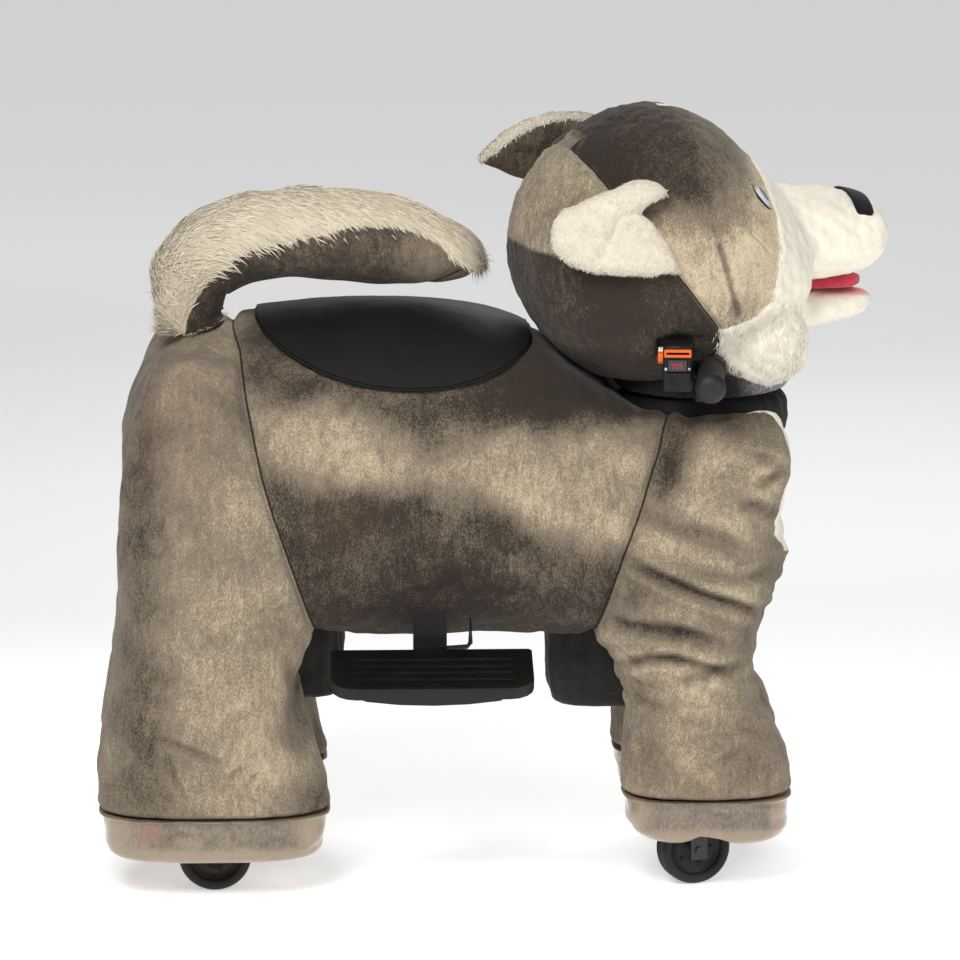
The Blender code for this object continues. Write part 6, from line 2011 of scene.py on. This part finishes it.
        # Painted shade on the head behind each ear, seen through the near ear's notch.
        tone -= 0.3 * bell(x + 0.195, 0.03) * bell(z - 0.815, 0.035)
        tone -= 0.4 * bell(off_line(flat, SIDE_SEAM)[0], 0.0035)
        seam = np.full(len(points), NO_SEAM)
        for line in (CHEEK_SEAM, CROWN_EDGE):
            distance = off_line(flat, line)[0] * 1000
            seam = np.where(np.abs(distance) < np.abs(seam), distance, seam)
        seam = np.where(np.abs(y) < 0.02, NO_SEAM, seam)
        jaw = np.asarray(JAW)
        rim = z - np.interp(x, jaw[:, 0], jaw[:, 2])
        blush = ramp(rim, -0.007, -0.002) * ramp(-rim, -0.007, -0.004) * ramp(x, 0.128, 0.15)
        paint(skin, tone=tone, pale=self.pale_share(points) * 100, seam=seam, blush=blush * 0.9)

    def ruff(self, skin: Piece) -> None:
        """Longer white pile on the cheeks and along the edge of the face.

        Args:
            skin: The head's skin.
        """
        points = points_of(skin)
        x, y, z = points.T
        pale = self.pale_share(points)
        cheek = ramp(pale, 0.0, 0.006) * ramp(-z, -0.735, -0.695) * ramp(-x, -0.105, -0.07)
        cheek *= ramp(np.abs(y), 0.02, 0.05)
        edge = 0.5 * bell(pale - 0.002, 0.004) * ramp(np.abs(y), 0.05, 0.08) * ramp(-z, -0.86, -0.8)
        flow = np.zeros_like(points) + (-0.25, 0.0, -1.0)
        coat = Coat(15000, (0.005, 0.009), 0.0013, 0.55, 0.5, 81, parts=2)
        hair = coat.grown("cheek_pile", skin, np.maximum(cheek, edge), flow)
        moved(hair, RIDE.steered())
        dressed(hair, WHITE_HAIRS, Slot.WHITE_PLUSH, "steering")


class Mouth:
    """The tongue between the jaws."""

    def build(self) -> None:
        """Makes the tongue, a little hollow along its middle."""
        tongue = surface("tongue_felt_piece", 40, 40, facing(TONGUE, 2.6))
        points = points_of(tongue)
        points[:, 2] += 0.0012 - 0.0022 * bell(points[:, 1], 0.005) * (points[:, 2] > 0.724)
        place_points(tongue, points)
        moved(tongue, RIDE.steered())
        dressed(tongue, TONGUE_FELT, Slot.TONGUE, "steering", "tongue")


class NoseTip:
    """The black velvet nose, a padded patch that wraps the muzzle's upper front corner."""

    def build(self) -> None:
        """Cuts the patch out of a slightly larger muzzle and softens its edge."""
        nose = surface("nose_tip", 96, 120, facing(MUZZLE, 2.3, 0.003))
        window = block("nose_window", (0.186, -0.047, 0.808), (0.2125, 0.047, 0.87), 0.006)
        modified(nose, "BOOLEAN", object=window, operation="INTERSECT", solver="EXACT")
        removed(window)
        smoothed(remeshed(nose, 0.0014), 4)
        paint(nose, tone=0.5, pale=-9.0, seam=NO_SEAM)
        moved(nose, RIDE.steered())
        dressed(nose, NOSE, Slot.NOSE, "steering", "nose")


class Eye:
    """One eye: a glossy bulge with a dark lid line and lashes."""

    half: tuple[float, float, float] = (0.011, 0.023, 0.027)
    lid: tuple[float, float, float] = (0.0052, 0.0205, 0.024)
    gaze_scale: float = 560.0
    lashes: int = 7

    def __init__(self, side: Side) -> None:
        """Says which eye it is.

        Args:
            side: Its side.
        """
        self.side = side
        self.place = (
            RIDE.steered() @ Matrix.Translation((0.031, side.value * 0.103, 0.8525))
            @ Matrix.Rotation(side.value * 0.5, 4, "Z") @ Matrix.Rotation(-0.66, 4, "Y")
        )

    def lash(self, turn: float) -> Piece:
        """One lash.

        Args:
            turn: Its angle round the lid.

        Returns:
            The lash.
        """
        _, wide, tall = self.lid
        root = Vector((0.005, wide * math.cos(turn), tall * math.sin(turn)))
        tip = root + Vector((0.55, 0.55 * math.cos(turn), 0.85 * math.sin(turn))).normalized() * 0.0075
        bend = (root + tip) / 2 + Vector((0.0011, 0, -0.0006))
        return tube("lash", (root, bend, tip), (0.0008, 0.0006, 0.00015), 6, 6)

    def build(self) -> None:
        """Makes the ball, the lid line round it and its lashes."""
        word = self.side.word
        ball = lump("eye_ball_" + word, (0, 0, 0), self.half)
        x, y, z = points_of(ball).T
        gaze = np.hypot(y + self.side.value * 0.001, z + 0.002) * self.gaze_scale
        paint(ball, gaze=np.where(x > 0, gaze, 30.0))
        moved(ball, self.place)
        dressed(ball, EYE, Slot.WHITE_PLASTIC, "steering", "eye_" + word)
        out, wide, tall = self.lid
        turns = np.linspace(0, 2 * math.pi, 25)
        rim = [(out, wide * math.cos(turn), tall * math.sin(turn)) for turn in turns]
        parts = [tube("eye_lid_" + word, rim, 0.0017, 10, 96)]
        for i in range(self.lashes):
            parts.append(self.lash(math.radians(25 + 130 * (i + 0.5) / self.lashes)))
        lashes = moved(joined("eye_line_" + word, *parts), self.place)
        dressed(lashes, LASH, Slot.NOSE, "steering")


class Ear:
    """A soft ear with a white face, a grey back and a fringe of pile."""

    outline: Line = (
        (-0.1137, 0.8794), (-0.1255, 0.89), (-0.1464, 0.893), (-0.1628, 0.8875), (-0.1855, 0.8785),
        (-0.2128, 0.8665), (-0.2365, 0.8574), (-0.2474, 0.836), (-0.2456, 0.812), (-0.2274, 0.7925),
        (-0.2019, 0.783), (-0.171, 0.778), (-0.14, 0.776), (-0.1109, 0.7785), (-0.0964, 0.779),
        (-0.1027, 0.7965), (-0.1137, 0.82), (-0.1282, 0.838), (-0.1419, 0.85), (-0.1346, 0.8616),
        (-0.1218, 0.8665), (-0.1118, 0.8723),
    )
    crease: Line = ((-0.142, 0.85), (-0.166, 0.848), (-0.178, 0.825), (-0.186, 0.8))
    half_thickness: float = 0.0125
    far: Line = (
        (-0.086, 0.1, 0.886), (-0.128, 0.134, 0.886), (-0.18, 0.156, 0.88), (-0.228, 0.172, 0.872),
    )
    far_sizes: Line = ((0.01, 0.044), (0.012, 0.051), (0.011, 0.042), (0.004, 0.006))

    def __init__(self, side: Side) -> None:
        """Says which ear it is."""
        self.side = side

    def leaf(self, name: str) -> Piece:
        """The far ear, which stands up: a flat stuffed form along its middle line.

        Args:
            name: Its name.

        Returns:
            The ear.
        """
        line = through(self.far, 61)
        up = np.array((0, -0.45, 1.0))
        ear = swept(name, line, beside(line, up), through(self.far_sizes, 61), 40, 2.4)
        return smoothed(remeshed(ear, 0.003), 2)

    @staticmethod
    def plane(x: Array) -> Array:
        """How far out the near ear's middle lies, beside the head."""
        return -0.166 + (-0.1 - x) * 0.2

    def crescent(self, name: str) -> Piece:
        """The folded near ear: two lobes about a notch, puffed up from its outline.

        Args:
            name: Its name.

        Returns:
            The ear.
        """
        slab = 0.012
        bm = bmesh.new()
        count = len(self.outline) * 6
        rim = through([*self.outline[-2:], *self.outline, *self.outline[:2]], count + 24)[9:-9]
        face = bm.faces.new([bm.verts.new((x, 0.0, z)) for x, z in rim])
        made = bmesh.ops.extrude_face_region(bm, geom=[face])["geom"]
        raised = [item for item in made if isinstance(item, bmesh.types.BMVert)]
        bmesh.ops.translate(bm, verts=raised, vec=(0, slab, 0))
        bmesh.ops.triangulate(bm, faces=bm.faces[:])
        bmesh.ops.remove_doubles(bm, verts=bm.verts, dist=1e-4)
        ear = remeshed(piece_of(name, bm), 0.0026)
        points = points_of(ear)
        flat = points[:, [0, 2]]
        depth = np.clip(inside(flat, self.outline), 0.0, 0.026) / 0.026
        puff = self.half_thickness * np.sqrt(1 - (1 - depth) ** 2)
        fold = off_line(flat, self.crease)[0]
        share = points[:, 1] / slab * 2 - 1
        lift = 0.007 * ramp(fold, -0.006, 0.01) - 0.006 * bell(fold, 0.006)
        points[:, 1] = self.plane(points[:, 0]) + share * (puff + 0.0012) - lift * np.clip(-share, 0, 1)
        place_points(ear, points)
        return smoothed(ear, 5)

    def build(self) -> None:
        """Makes the ear, colours its two faces and grows its fringe."""
        word = self.side.word
        near = self.side is Side.RIGHT
        ear = (self.crescent if near else self.leaf)("plush_ear_" + word)
        points, normals = points_of(ear), normals_of(ear)
        place_points(ear, points + normals * (0.0009 * ripples(points, 0.03, 91))[:, None])
        x, y, z = points.T
        if near:
            pale = (self.plane(x) - y) * 60 + 1.4
        else:
            line = through(self.far, 120)
            beside_it = np.abs(x[:, None] - line[None, :, 0]).argmin(axis=1)
            breadth = through(self.far_sizes, 120)[beside_it, 1]
            pale = (z - line[beside_it, 2] - breadth + 0.0085) * 100
        paint(ear, tone=0.16, pale=pale, seam=NO_SEAM)
        flow = np.zeros_like(points) + (-0.75, self.side.value * 0.1, -0.55)
        rim = ramp(pale, -0.2, 0.4)
        coat = Coat(13000, (0.004, 0.0075), 0.0013, 0.5, 0.4, 95 + self.side.value, parts=2, scatter=0.4)
        hair = coat.grown("ear_pile_" + word, ear, rim, flow)
        moved(hair, RIDE.steered())
        moved(ear, RIDE.steered())
        dressed(ear, EAR_PLUSH, Slot.GREY_PLUSH, "steering", "ear_" + word)
        dressed(hair, WHITE_HAIRS, Slot.WHITE_PLUSH, "steering")


class Collar:
    """A ribbed knitted ring under the chin."""

    profile: Line = (
        (0.056, 0.6045), (0.098, 0.6042), (0.107, 0.6085), (0.1095, 0.6165), (0.1065, 0.624),
        (0.097, 0.6292), (0.056, 0.6288),
    )
    ribs: int = 72

    def build(self) -> None:
        """Spins the ring and raises its ribs."""
        ring = turned("collar_ring", through([*self.profile, self.profile[0]], 48), 4 * self.ribs)
        points = points_of(ring)
        bend = np.arctan2(points[:, 1], points[:, 0])
        groove = 0.0009 * (0.5 + 0.5 * np.sin(bend * self.ribs))
        place_points(ring, points - normals_of(ring) * groove[:, None])
        # The ring's rear, under the head, is painted near-black as shadow; only its front shows the grey
        # knit.
        paint(ring, pale=ramp(points[:, 0], 0.0, 0.045))
        moved(ring, RIDE.steered())
        dressed(ring, KNIT, Slot.KNIT, "steering", "collar")


class Tail:
    """The stuffed tail curled over the saddle: long cream hair above, short dark pile below."""

    root: Vector = Vector((RIDE.along(TORSO[0][0]) + 0.09106, 0, RIDE.back - 0.028))
    path: Line = (
        (-0.004, -0.001), (-0.012, 0.024), (-0.006, 0.074), (0.044, 0.109), (0.107, 0.119), (0.172, 0.117),
        (0.237, 0.11), (0.292, 0.098), (0.33, 0.089), (0.346, 0.086),
    )
    sizes: Line = (
        (0.037, 0.037), (0.043, 0.041), (0.054, 0.05), (0.059, 0.055), (0.062, 0.055), (0.063, 0.056),
        (0.059, 0.055), (0.049, 0.043), (0.033, 0.026), (0.01, 0.008),
    )
    colour_line: Line = (
        (-0.384, 0.64), (-0.383, 0.663), (-0.377, 0.701), (-0.347, 0.751), (-0.32, 0.777), (-0.291, 0.793),
        (-0.252, 0.799), (-0.209, 0.808), (-0.18, 0.815), (-0.129, 0.813), (-0.098, 0.806), (-0.068, 0.789),
        (-0.047, 0.76), (-0.03, 0.752), (0.01, 0.75),
    )
    tip_line: Line = ((-0.1, 0.727), (-0.075, 0.737), (-0.045, 0.752))
    rings: int = 90

    def build(self) -> None:
        """Sweeps the tail, paints its two coats and grows the long one."""
        line = through([(self.root.x + x, 0, self.root.z + z) for x, z in self.path], self.rings + 1)
        sizes = through(self.sizes, self.rings + 1)
        ahead = unit(np.gradient(line, axis=0))
        side = np.zeros_like(line) + (0.0, 1.0, 0.0)
        tail = swept("plush_tail", line, (side, np.cross(ahead, side)), sizes, 72)
        points = points_of(tail)
        points[:, 2] = np.maximum(points[:, 2], self.root.z + 0.0006)
        place_points(tail, points)
        points, normals = points_of(tail), normals_of(tail)
        x, y, z = points.T
        above = off_line(points[:, [0, 2]], self.colour_line)[0]
        tip = off_line(points[:, [0, 2]], self.tip_line)[0]
        rise = 0.0016 * ripples(points, 0.08, 101) - 0.0032 * bell(above, 0.004) - 0.003 * bell(tip, 0.004)
        still = ramp(z - self.root.z, 0.004, 0.02)
        place_points(tail, points + normals * (rise * still)[:, None])
        tone = 0.02 + 0.34 * ramp(x, -0.15, -0.075) - 0.06 * ramp(-x, 0.22, 0.32)
        paint(tail, tone=tone, pale=above * 100, seam=np.where(np.abs(tip) < 0.006, tip * 1000, NO_SEAM))
        nearest = np.abs(points[:, None, :] - line[None, ::3, :]).sum(axis=2).argmin(axis=1) * 3
        flow = ahead[nearest] + (0.0, 0.0, -0.35)
        flow[:, 1] += np.sign(y) * 0.12
        share = nearest / self.rings
        long = 1.0 + 0.25 * ramp(share, 0.86, 0.98) - 0.25 * ramp(share, 0.4, 0.7)
        coat = Coat(22000, (0.016, 0.03), 0.0016, 0.26, 0.55, 103, parts=3, scatter=0.22)
        hair = coat.grown("tail_hair", tail, ramp(above, 0.0005, 0.006), flow, long)
        place_points(hair, np.maximum(points_of(hair), (-9, -9, self.root.z + 0.0008)))
        dressed(tail, TAIL_PLUSH, Slot.WHITE_PLUSH, "tail", "tail")
        dressed(hair, CREAM_HAIRS, Slot.WHITE_PLUSH, "tail")


class Handlebar:
    """The bent steel bar with a rubber grip at each end."""

    path: Line = (
        (-0.0884, -0.253), (-0.065, -0.195), (-0.0404, -0.134), (-0.015, -0.09), (0.012, -0.062),
        (0.026, -0.04), (0.026, 0.04), (0.012, 0.062), (-0.015, 0.09), (-0.0404, 0.134), (-0.065, 0.195),
        (-0.0884, 0.253),
    )
    radius: float = 0.011
    grip_radius: float = 0.0165
    grip_length: float = 0.108
    groove_pitch: float = 0.0075

    @classmethod
    def lean(cls) -> Vector:
        """The direction of the bar's right end, inwards."""
        first, second = Vector(cls.path[0]), Vector(cls.path[2])
        return (second - first).normalized()

    @classmethod
    def point(cls, side: Side, back: float) -> Vector:
        """A point on a straight end of the bar, a distance back from its tip."""
        flat = Vector(cls.path[0]) + cls.lean() * back
        return Vector((flat.x, -side.value * flat.y, RIDE.bar_height))

    def build(self) -> None:
        """Makes the bar and its two grips."""
        bar = tube("steering_bar", [(x, y, RIDE.bar_height) for x, y in self.path], self.radius, 28, 120)
        moved(bar, RIDE.steered())
        dressed(bar, PAINTED, Slot.BLACK_STEEL, "steering", "handlebar")
        for side in Side:
            self.grip(side)

    def grip(self, side: Side) -> None:
        """A ribbed rubber grip with a rounded end and a flange.

        Args:
            side: Its side.
        """
        end = self.point(side, -0.012)
        run = self.point(side, self.grip_length) - end
        length, r = run.length, self.grip_radius
        profile = [
            (0.0, 0.0), (0.006, 0.0003), (0.012, 0.0016), (r - 0.001, 0.0045), (r + 0.002, 0.0085),
            (r + 0.0022, 0.012), (r, 0.0145),
        ]
        for ring in np.arange(0.02, length - 0.016, self.groove_pitch):
            profile += [
                (r, ring), (r - 0.0011, ring + 0.001), (r - 0.0011, ring + 0.0024), (r, ring + 0.0034),
            ]
        profile += [
            (r, length - 0.007), (r + 0.002, length - 0.0055), (r + 0.0024, length - 0.001),
            (r + 0.0014, length), (self.radius + 0.0002, length),
        ]
        made = turned("rubber_grip_" + side.word, profile, 64)
        lay = Vector((0, 0, 1)).rotation_difference(run.normalized()).to_matrix().to_4x4()
        moved(made, RIDE.steered() @ Matrix.Translation(end) @ lay)
        dressed(made, GRIP_RUBBER, Slot.BLACK_RUBBER, "steering", "grip_" + side.word)


class CoinUnit:
    """Details of the coin and control box beside the right grip."""

    size: tuple[float, float, float] = (0.036, 0.058, 0.058)
    middle: tuple[float, float, float] = (-0.04, 0.0, 0.662)
    back: float = 0.092
    screw: Line = ((0.0, 0.0), (0.0018, 0.0), (0.0021, -0.0004), (0.0021, 0.001), (0.0, 0.001))
    # The bars of a figure: column, row and whether it lies flat; and the bars that each figure lights.
    bars: dict[str, tuple[int, int, bool]] = {
        "a": (0, 2, True), "b": (1, 1, False), "c": (1, 0, False), "d": (0, 0, True), "e": (0, 0, False),
        "f": (0, 1, False), "g": (0, 1, True),
    }
    lit: dict[str, str] = {"0": "abcdef", "3": "abcdg", "5": "acdfg"}

    @classmethod
    def place(cls) -> Matrix:
        """The box's own axes within the steering frame."""
        seat, lean = Handlebar.point(Side.RIGHT, cls.back), Handlebar.lean()
        return Matrix.Translation((seat.x, seat.y, 0)) @ Matrix.Rotation(-math.atan2(lean.x, lean.y), 4, "Z")

    @classmethod
    def box(cls) -> tuple[Vector, Vector]:
        """Its lowest and highest corners in those axes."""
        centre, half = Vector(cls.middle), Vector(cls.size) / 2
        return centre - half, centre + half

    def build(self) -> None:
        """Adds screws at the sides of the face and lit bars in the timer window."""
        low, high = self.box()
        place = RIDE.steered() @ self.place()
        upright = Matrix.Rotation(math.radians(90), 4, "X")
        screws = []
        for x in (low.x + 0.004, high.x - 0.004):
            seat = Matrix.Translation((x, low.y, low.z + 0.0285))
            screws.append(moved(turned("screw", self.screw, 20), seat @ upright))
        dressed(moved(joined("coin_box_screws", *screws), place), BRIGHT, Slot.BLACK_STEEL, "steering")
        bars = []
        back, thick, long = low.y - 0.00265, 0.0005, 0.0022
        for number, digit in enumerate("305"):
            for column, row, flat in (self.bars[name] for name in self.lit[digit]):
                x = low.x + 0.0108 + number * 0.005 + column * 0.0026
                z = 0.663 + row * 0.0028
                x, z = (x + 0.0002, z - 0.00025) if flat else (x - 0.00005, z + 0.0003)
                wide, tall = (long, thick) if flat else (thick, long)
                bars.append(block("bar", (x, back, z), (x + wide, back + thick, z + tall)))
        dressed(moved(joined("timer_figures", *bars), place), LAMP, Slot.BLACK_PLASTIC, "steering")


class Wheel:
    """A solid wheel: a rounded tyre with tread grooves, a dished plastic disc and a hub."""

    # Shares of the radius and of half the width.
    shoulder: Line = ((0.7, 0.72), (0.78, 0.98), (0.9, 1.0), (0.965, 0.86), (0.998, 0.56))
    groove: Line = ((1.0, -0.09), (0.972, -0.05), (0.972, 0.05), (1.0, 0.09))
    dish: Line = ((0.26, 0.94), (0.3, 0.6), (0.62, 0.4), (0.69, 0.66), (0.705, 0.66))
    bolt: Line = ((0.0, 0.0), (0.0024, 0.0), (0.0028, 0.0004), (0.0028, 0.0026), (0.0, 0.0026))
    bore: float = 0.0078
    bolts: int = 5

    def __init__(self, node: str, body: str, turn: float) -> None:
        """Keeps what the wheel is.

        Args:
            node: The CAD node it stands for.
            body: The body that it moves with.
            turn: How far it is steered at rest.
        """
        self.node = node
        self.body = body
        self.turn = turn

    def build(self) -> None:
        """Spins tyre and disc, and bolts the disc."""
        low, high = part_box(self.node)
        place = Matrix.Translation((low + high) / 2) @ Matrix.Rotation(self.turn, 4, "Z")
        place = place @ Matrix.Rotation(math.radians(-90), 4, "X")
        r, half = RIDE.wheel_radius, RIDE.wheel_width / 2
        tyre = [(r * radius, -half * depth) for radius, depth in self.shoulder]
        for z in (-0.3, 0.0, 0.3):
            tyre += [(r * radius, half * (z + width)) for radius, width in self.groove]
        tyre += [(r * radius, half * depth) for radius, depth in self.shoulder[::-1]]
        rubber = moved(turned(self.node + "_tyre", [*tyre, tyre[0]], 72), place)
        dressed(rubber, TYRE_RUBBER, Slot.WHEEL_RUBBER, self.body, self.node)
        disc = [(self.bore, -half * 0.94), *((r * radius, -half * depth) for radius, depth in self.dish)]
        disc += [(radius, -z) for radius, z in disc[::-1]]
        parts = [turned("disc", [*disc, disc[0]], 64)]
        for i in range(self.bolts):
            t = 2 * math.pi * i / self.bolts
            for way in (-1, 1):
                seat = (r * 0.46 * math.cos(t), r * 0.46 * math.sin(t), way * (half * 0.5 + 0.0012))
                flip = Matrix.Rotation(math.pi, 4, "X") if way > 0 else Matrix.Identity(4)
                parts.append(moved(turned("bolt", self.bolt, 6), Matrix.Translation(seat) @ flip))
        hub = moved(joined(self.node + "_disc", *parts), place)
        dressed(hub, PLASTIC, Slot.BLACK_PLASTIC, self.body)


class HardParts:
    """CAD nodes whose shapes are right and take a better finish, with their edges eased where they show."""

    finishes: dict[str, Finish] = {
        "main_frame": PAINTED, "upper_bearing": PLATED, "rear_leg_frame_right": PAINTED,
        "rear_leg_frame_left": PAINTED, "front_leg_frame_right": PAINTED, "front_leg_frame_left": PAINTED,
        "battery_tray": PAINTED, "battery": CASE_GREY, "controller": PLASTIC, "motor_mount": PAINTED,
        "gear_motor": BRIGHT, "steering_column": PAINTED, "coin_bezel": ORANGE, "timer_display": DISPLAY,
        "knuckle_right": PAINTED, "knuckle_left": PAINTED, "tie_rod": PLATED, "rear_axle": BRIGHT,
        "motor_pinion": BRIGHT, "throttle": PLASTIC, "start_button": ORANGE, "music_button": BUTTON_WHITE,
        "cash_door": PLASTIC,
    }
    eased: dict[str, tuple[str, float, Finish, Slot]] = {
        "footrest_right": ("foot_plate_right", 0.0024, FOOT_PLASTIC, Slot.BLACK_PLASTIC),
        "footrest_left": ("foot_plate_left", 0.0024, FOOT_PLASTIC, Slot.BLACK_PLASTIC),
        "coin_box_shell": ("coin_box_case", 0.0006, PLASTIC, Slot.BLACK_PLASTIC),
    }

    def build(self) -> None:
        """Dresses the nodes and makes rounded copies of those that show."""
        for name, finish in self.finishes.items():
            for place in frame["nodes"][name].material_slots:
                place.material = finish.made()
            LOG.info("%s dressed", name)
        for node, (name, width, finish, slot) in self.eased.items():
            bm = bmesh.new()
            bm.from_mesh(frame["nodes"][node].data)
            bmesh.ops.remove_doubles(bm, verts=bm.verts, dist=1e-5)
            bmesh.ops.dissolve_limit(bm, angle_limit=math.radians(1.0), verts=bm.verts, edges=bm.edges)
            piece = modified(
                piece_of(name, bm, True), "BEVEL", width=width, segments=2, limit_method="ANGLE",
                angle_limit=math.radians(40), use_clamp_overlap=True,
            )
            dressed(piece, finish, slot, frame["nodes"][node]["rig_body"], node)


class Studio:
    """A pale floor with a soft backdrop, broad lights and the camera."""

    focal_px: float = 7258.0
    frame_px: float = 960.0
    distance: float = 9.0
    azimuth: float = math.radians(-2.0)
    elevation: float = math.radians(12.0)
    aim: tuple[float, float, float] = (-0.0175, 0.0, 0.4785)
    shift_px: float = 4.0

    def build(self) -> None:
        """Sets the stage."""
        self.camera()
        self.floor()
        self.lights()

    def camera(self) -> None:
        """A long lens, a little above the animal's back, square on to its right side."""
        level = math.cos(self.elevation)
        back = Vector((
            math.sin(self.azimuth) * level, -math.cos(self.azimuth) * level, math.sin(self.elevation),
        ))
        data = bpy.data.cameras.new("camera")
        data.sensor_width = 36.0
        data.lens = 36.0 * self.focal_px / self.frame_px
        data.shift_y = self.shift_px / self.frame_px
        data.clip_end = 60.0
        camera = bpy.data.objects.new("camera", data)
        camera.location = Vector(self.aim) + back * self.distance
        camera.rotation_mode = "QUATERNION"
        camera.rotation_quaternion = (-back).to_track_quat("-Z", "Y")
        bpy.context.scene.collection.objects.link(camera)
        bpy.context.scene.camera = camera

    def floor(self) -> None:
        """A wide pale sweep whose colour stands in for light: near white before the animal, where it hides
        the animal's shadow, darker in a band behind it as painted fall-off of the light, and glowing a little
        all over so that shadows on it stay faint.
        """
        bm = bmesh.new()
        bmesh.ops.create_circle(bm, cap_ends=True, segments=64, radius=9.0)
        floor = piece_of("floor", bm)
        shader = Shader(
            "pale_floor", 0.8, Specular_IOR_Level=0.1, Emission_Color=(1.0, 1.0, 1.0, 1.0),
            Emission_Strength=0.48,
        )
        # Painted light: the colour darkens with distance behind the animal and the surface glows, in place of
        # the lights' fall-off and to wash out shadows.
        cloud = shader.noise(1.2, 2.0)
        far = shader.part("Y")
        nearer = shader.mix(far.step(0.3, 1.5), (0.97, 0.97, 0.97), (0.46, 0.46, 0.46))
        middle = shader.mix(far.step(1.5, 3.0), nearer, (0.41, 0.41, 0.41))
        pale = shader.mix(far.step(3.3, 4.9), middle, (0.88, 0.88, 0.88))
        shader.colour(shader.mix(cloud.step(0.2, 0.8) * 0.03, pale, (0.9, 0.9, 0.9)))
        floor.data.materials.append(shader.material)

    def lights(self) -> None:
        """A broad light above the camera, a fill before the head, a rim from behind and a dim sky."""
        for name, place, size, power in (
            ("key", (-1.2, -3.0, 3.4), 2.0, 142.0), ("fill", (2.6, -2.6, 1.6), 2.2, 38.0),
            ("rim", (0.6, 2.6, 2.6), 2.0, 60.0),
        ):
            data = bpy.data.lights.new(name, "AREA")
            data.shape = "DISK"
            data.size = size
            data.energy = power
            light = bpy.data.objects.new(name, data)
            light.location = place
            way = Vector((0.0, 0.0, 0.45)) - Vector(place)
            light.rotation_mode = "QUATERNION"
            light.rotation_quaternion = way.to_track_quat("-Z", "Y")
            bpy.context.scene.collection.objects.link(light)
        world = bpy.data.worlds.new("studio")
        world.use_nodes = True
        background = world.node_tree.nodes["Background"]
        background.inputs[0].default_value = (0.8, 0.81, 0.83, 1.0)
        background.inputs[1].default_value = 0.17
        bpy.context.scene.world = world
        bpy.context.scene.view_settings.view_transform = "Standard"


def main() -> None:
    """Builds every piece in order."""
    logging.basicConfig(level=logging.INFO, format="%(message)s")
    Studio().build()
    PlushBody().build()
    Saddle().build()
    NeckRoll().build()
    for side in Side:
        for rear in (True, False):
            Shoe(side, rear).build()
    x = RIDE.kingpin_x
    ClothBag("chest_bag", "steering_cover", (x - 0.194, 0, 0.2), (x + 0.044, 0.04, 0.345), True).build()
    x = RIDE.axle_x
    ClothBag("rear_bag", "drive_cover", (x + 0.02, 0, 0.216), (x + 0.164, 0.046, 0.345), False).build()
    Head().build()
    Mouth().build()
    NoseTip().build()
    for side in Side:
        Eye(side).build()
        Ear(side).build()
    Collar().build()
    Tail().build()
    Handlebar().build()
    CoinUnit().build()
    for word in ("right", "left"):
        Wheel("rear_wheel_" + word, "rear_axle", 0.0).build()
        Wheel("front_wheel_" + word, "front_wheel_" + word, RIDE.steer).build()
    HardParts().build()


if __name__ == "__main__":
    main()
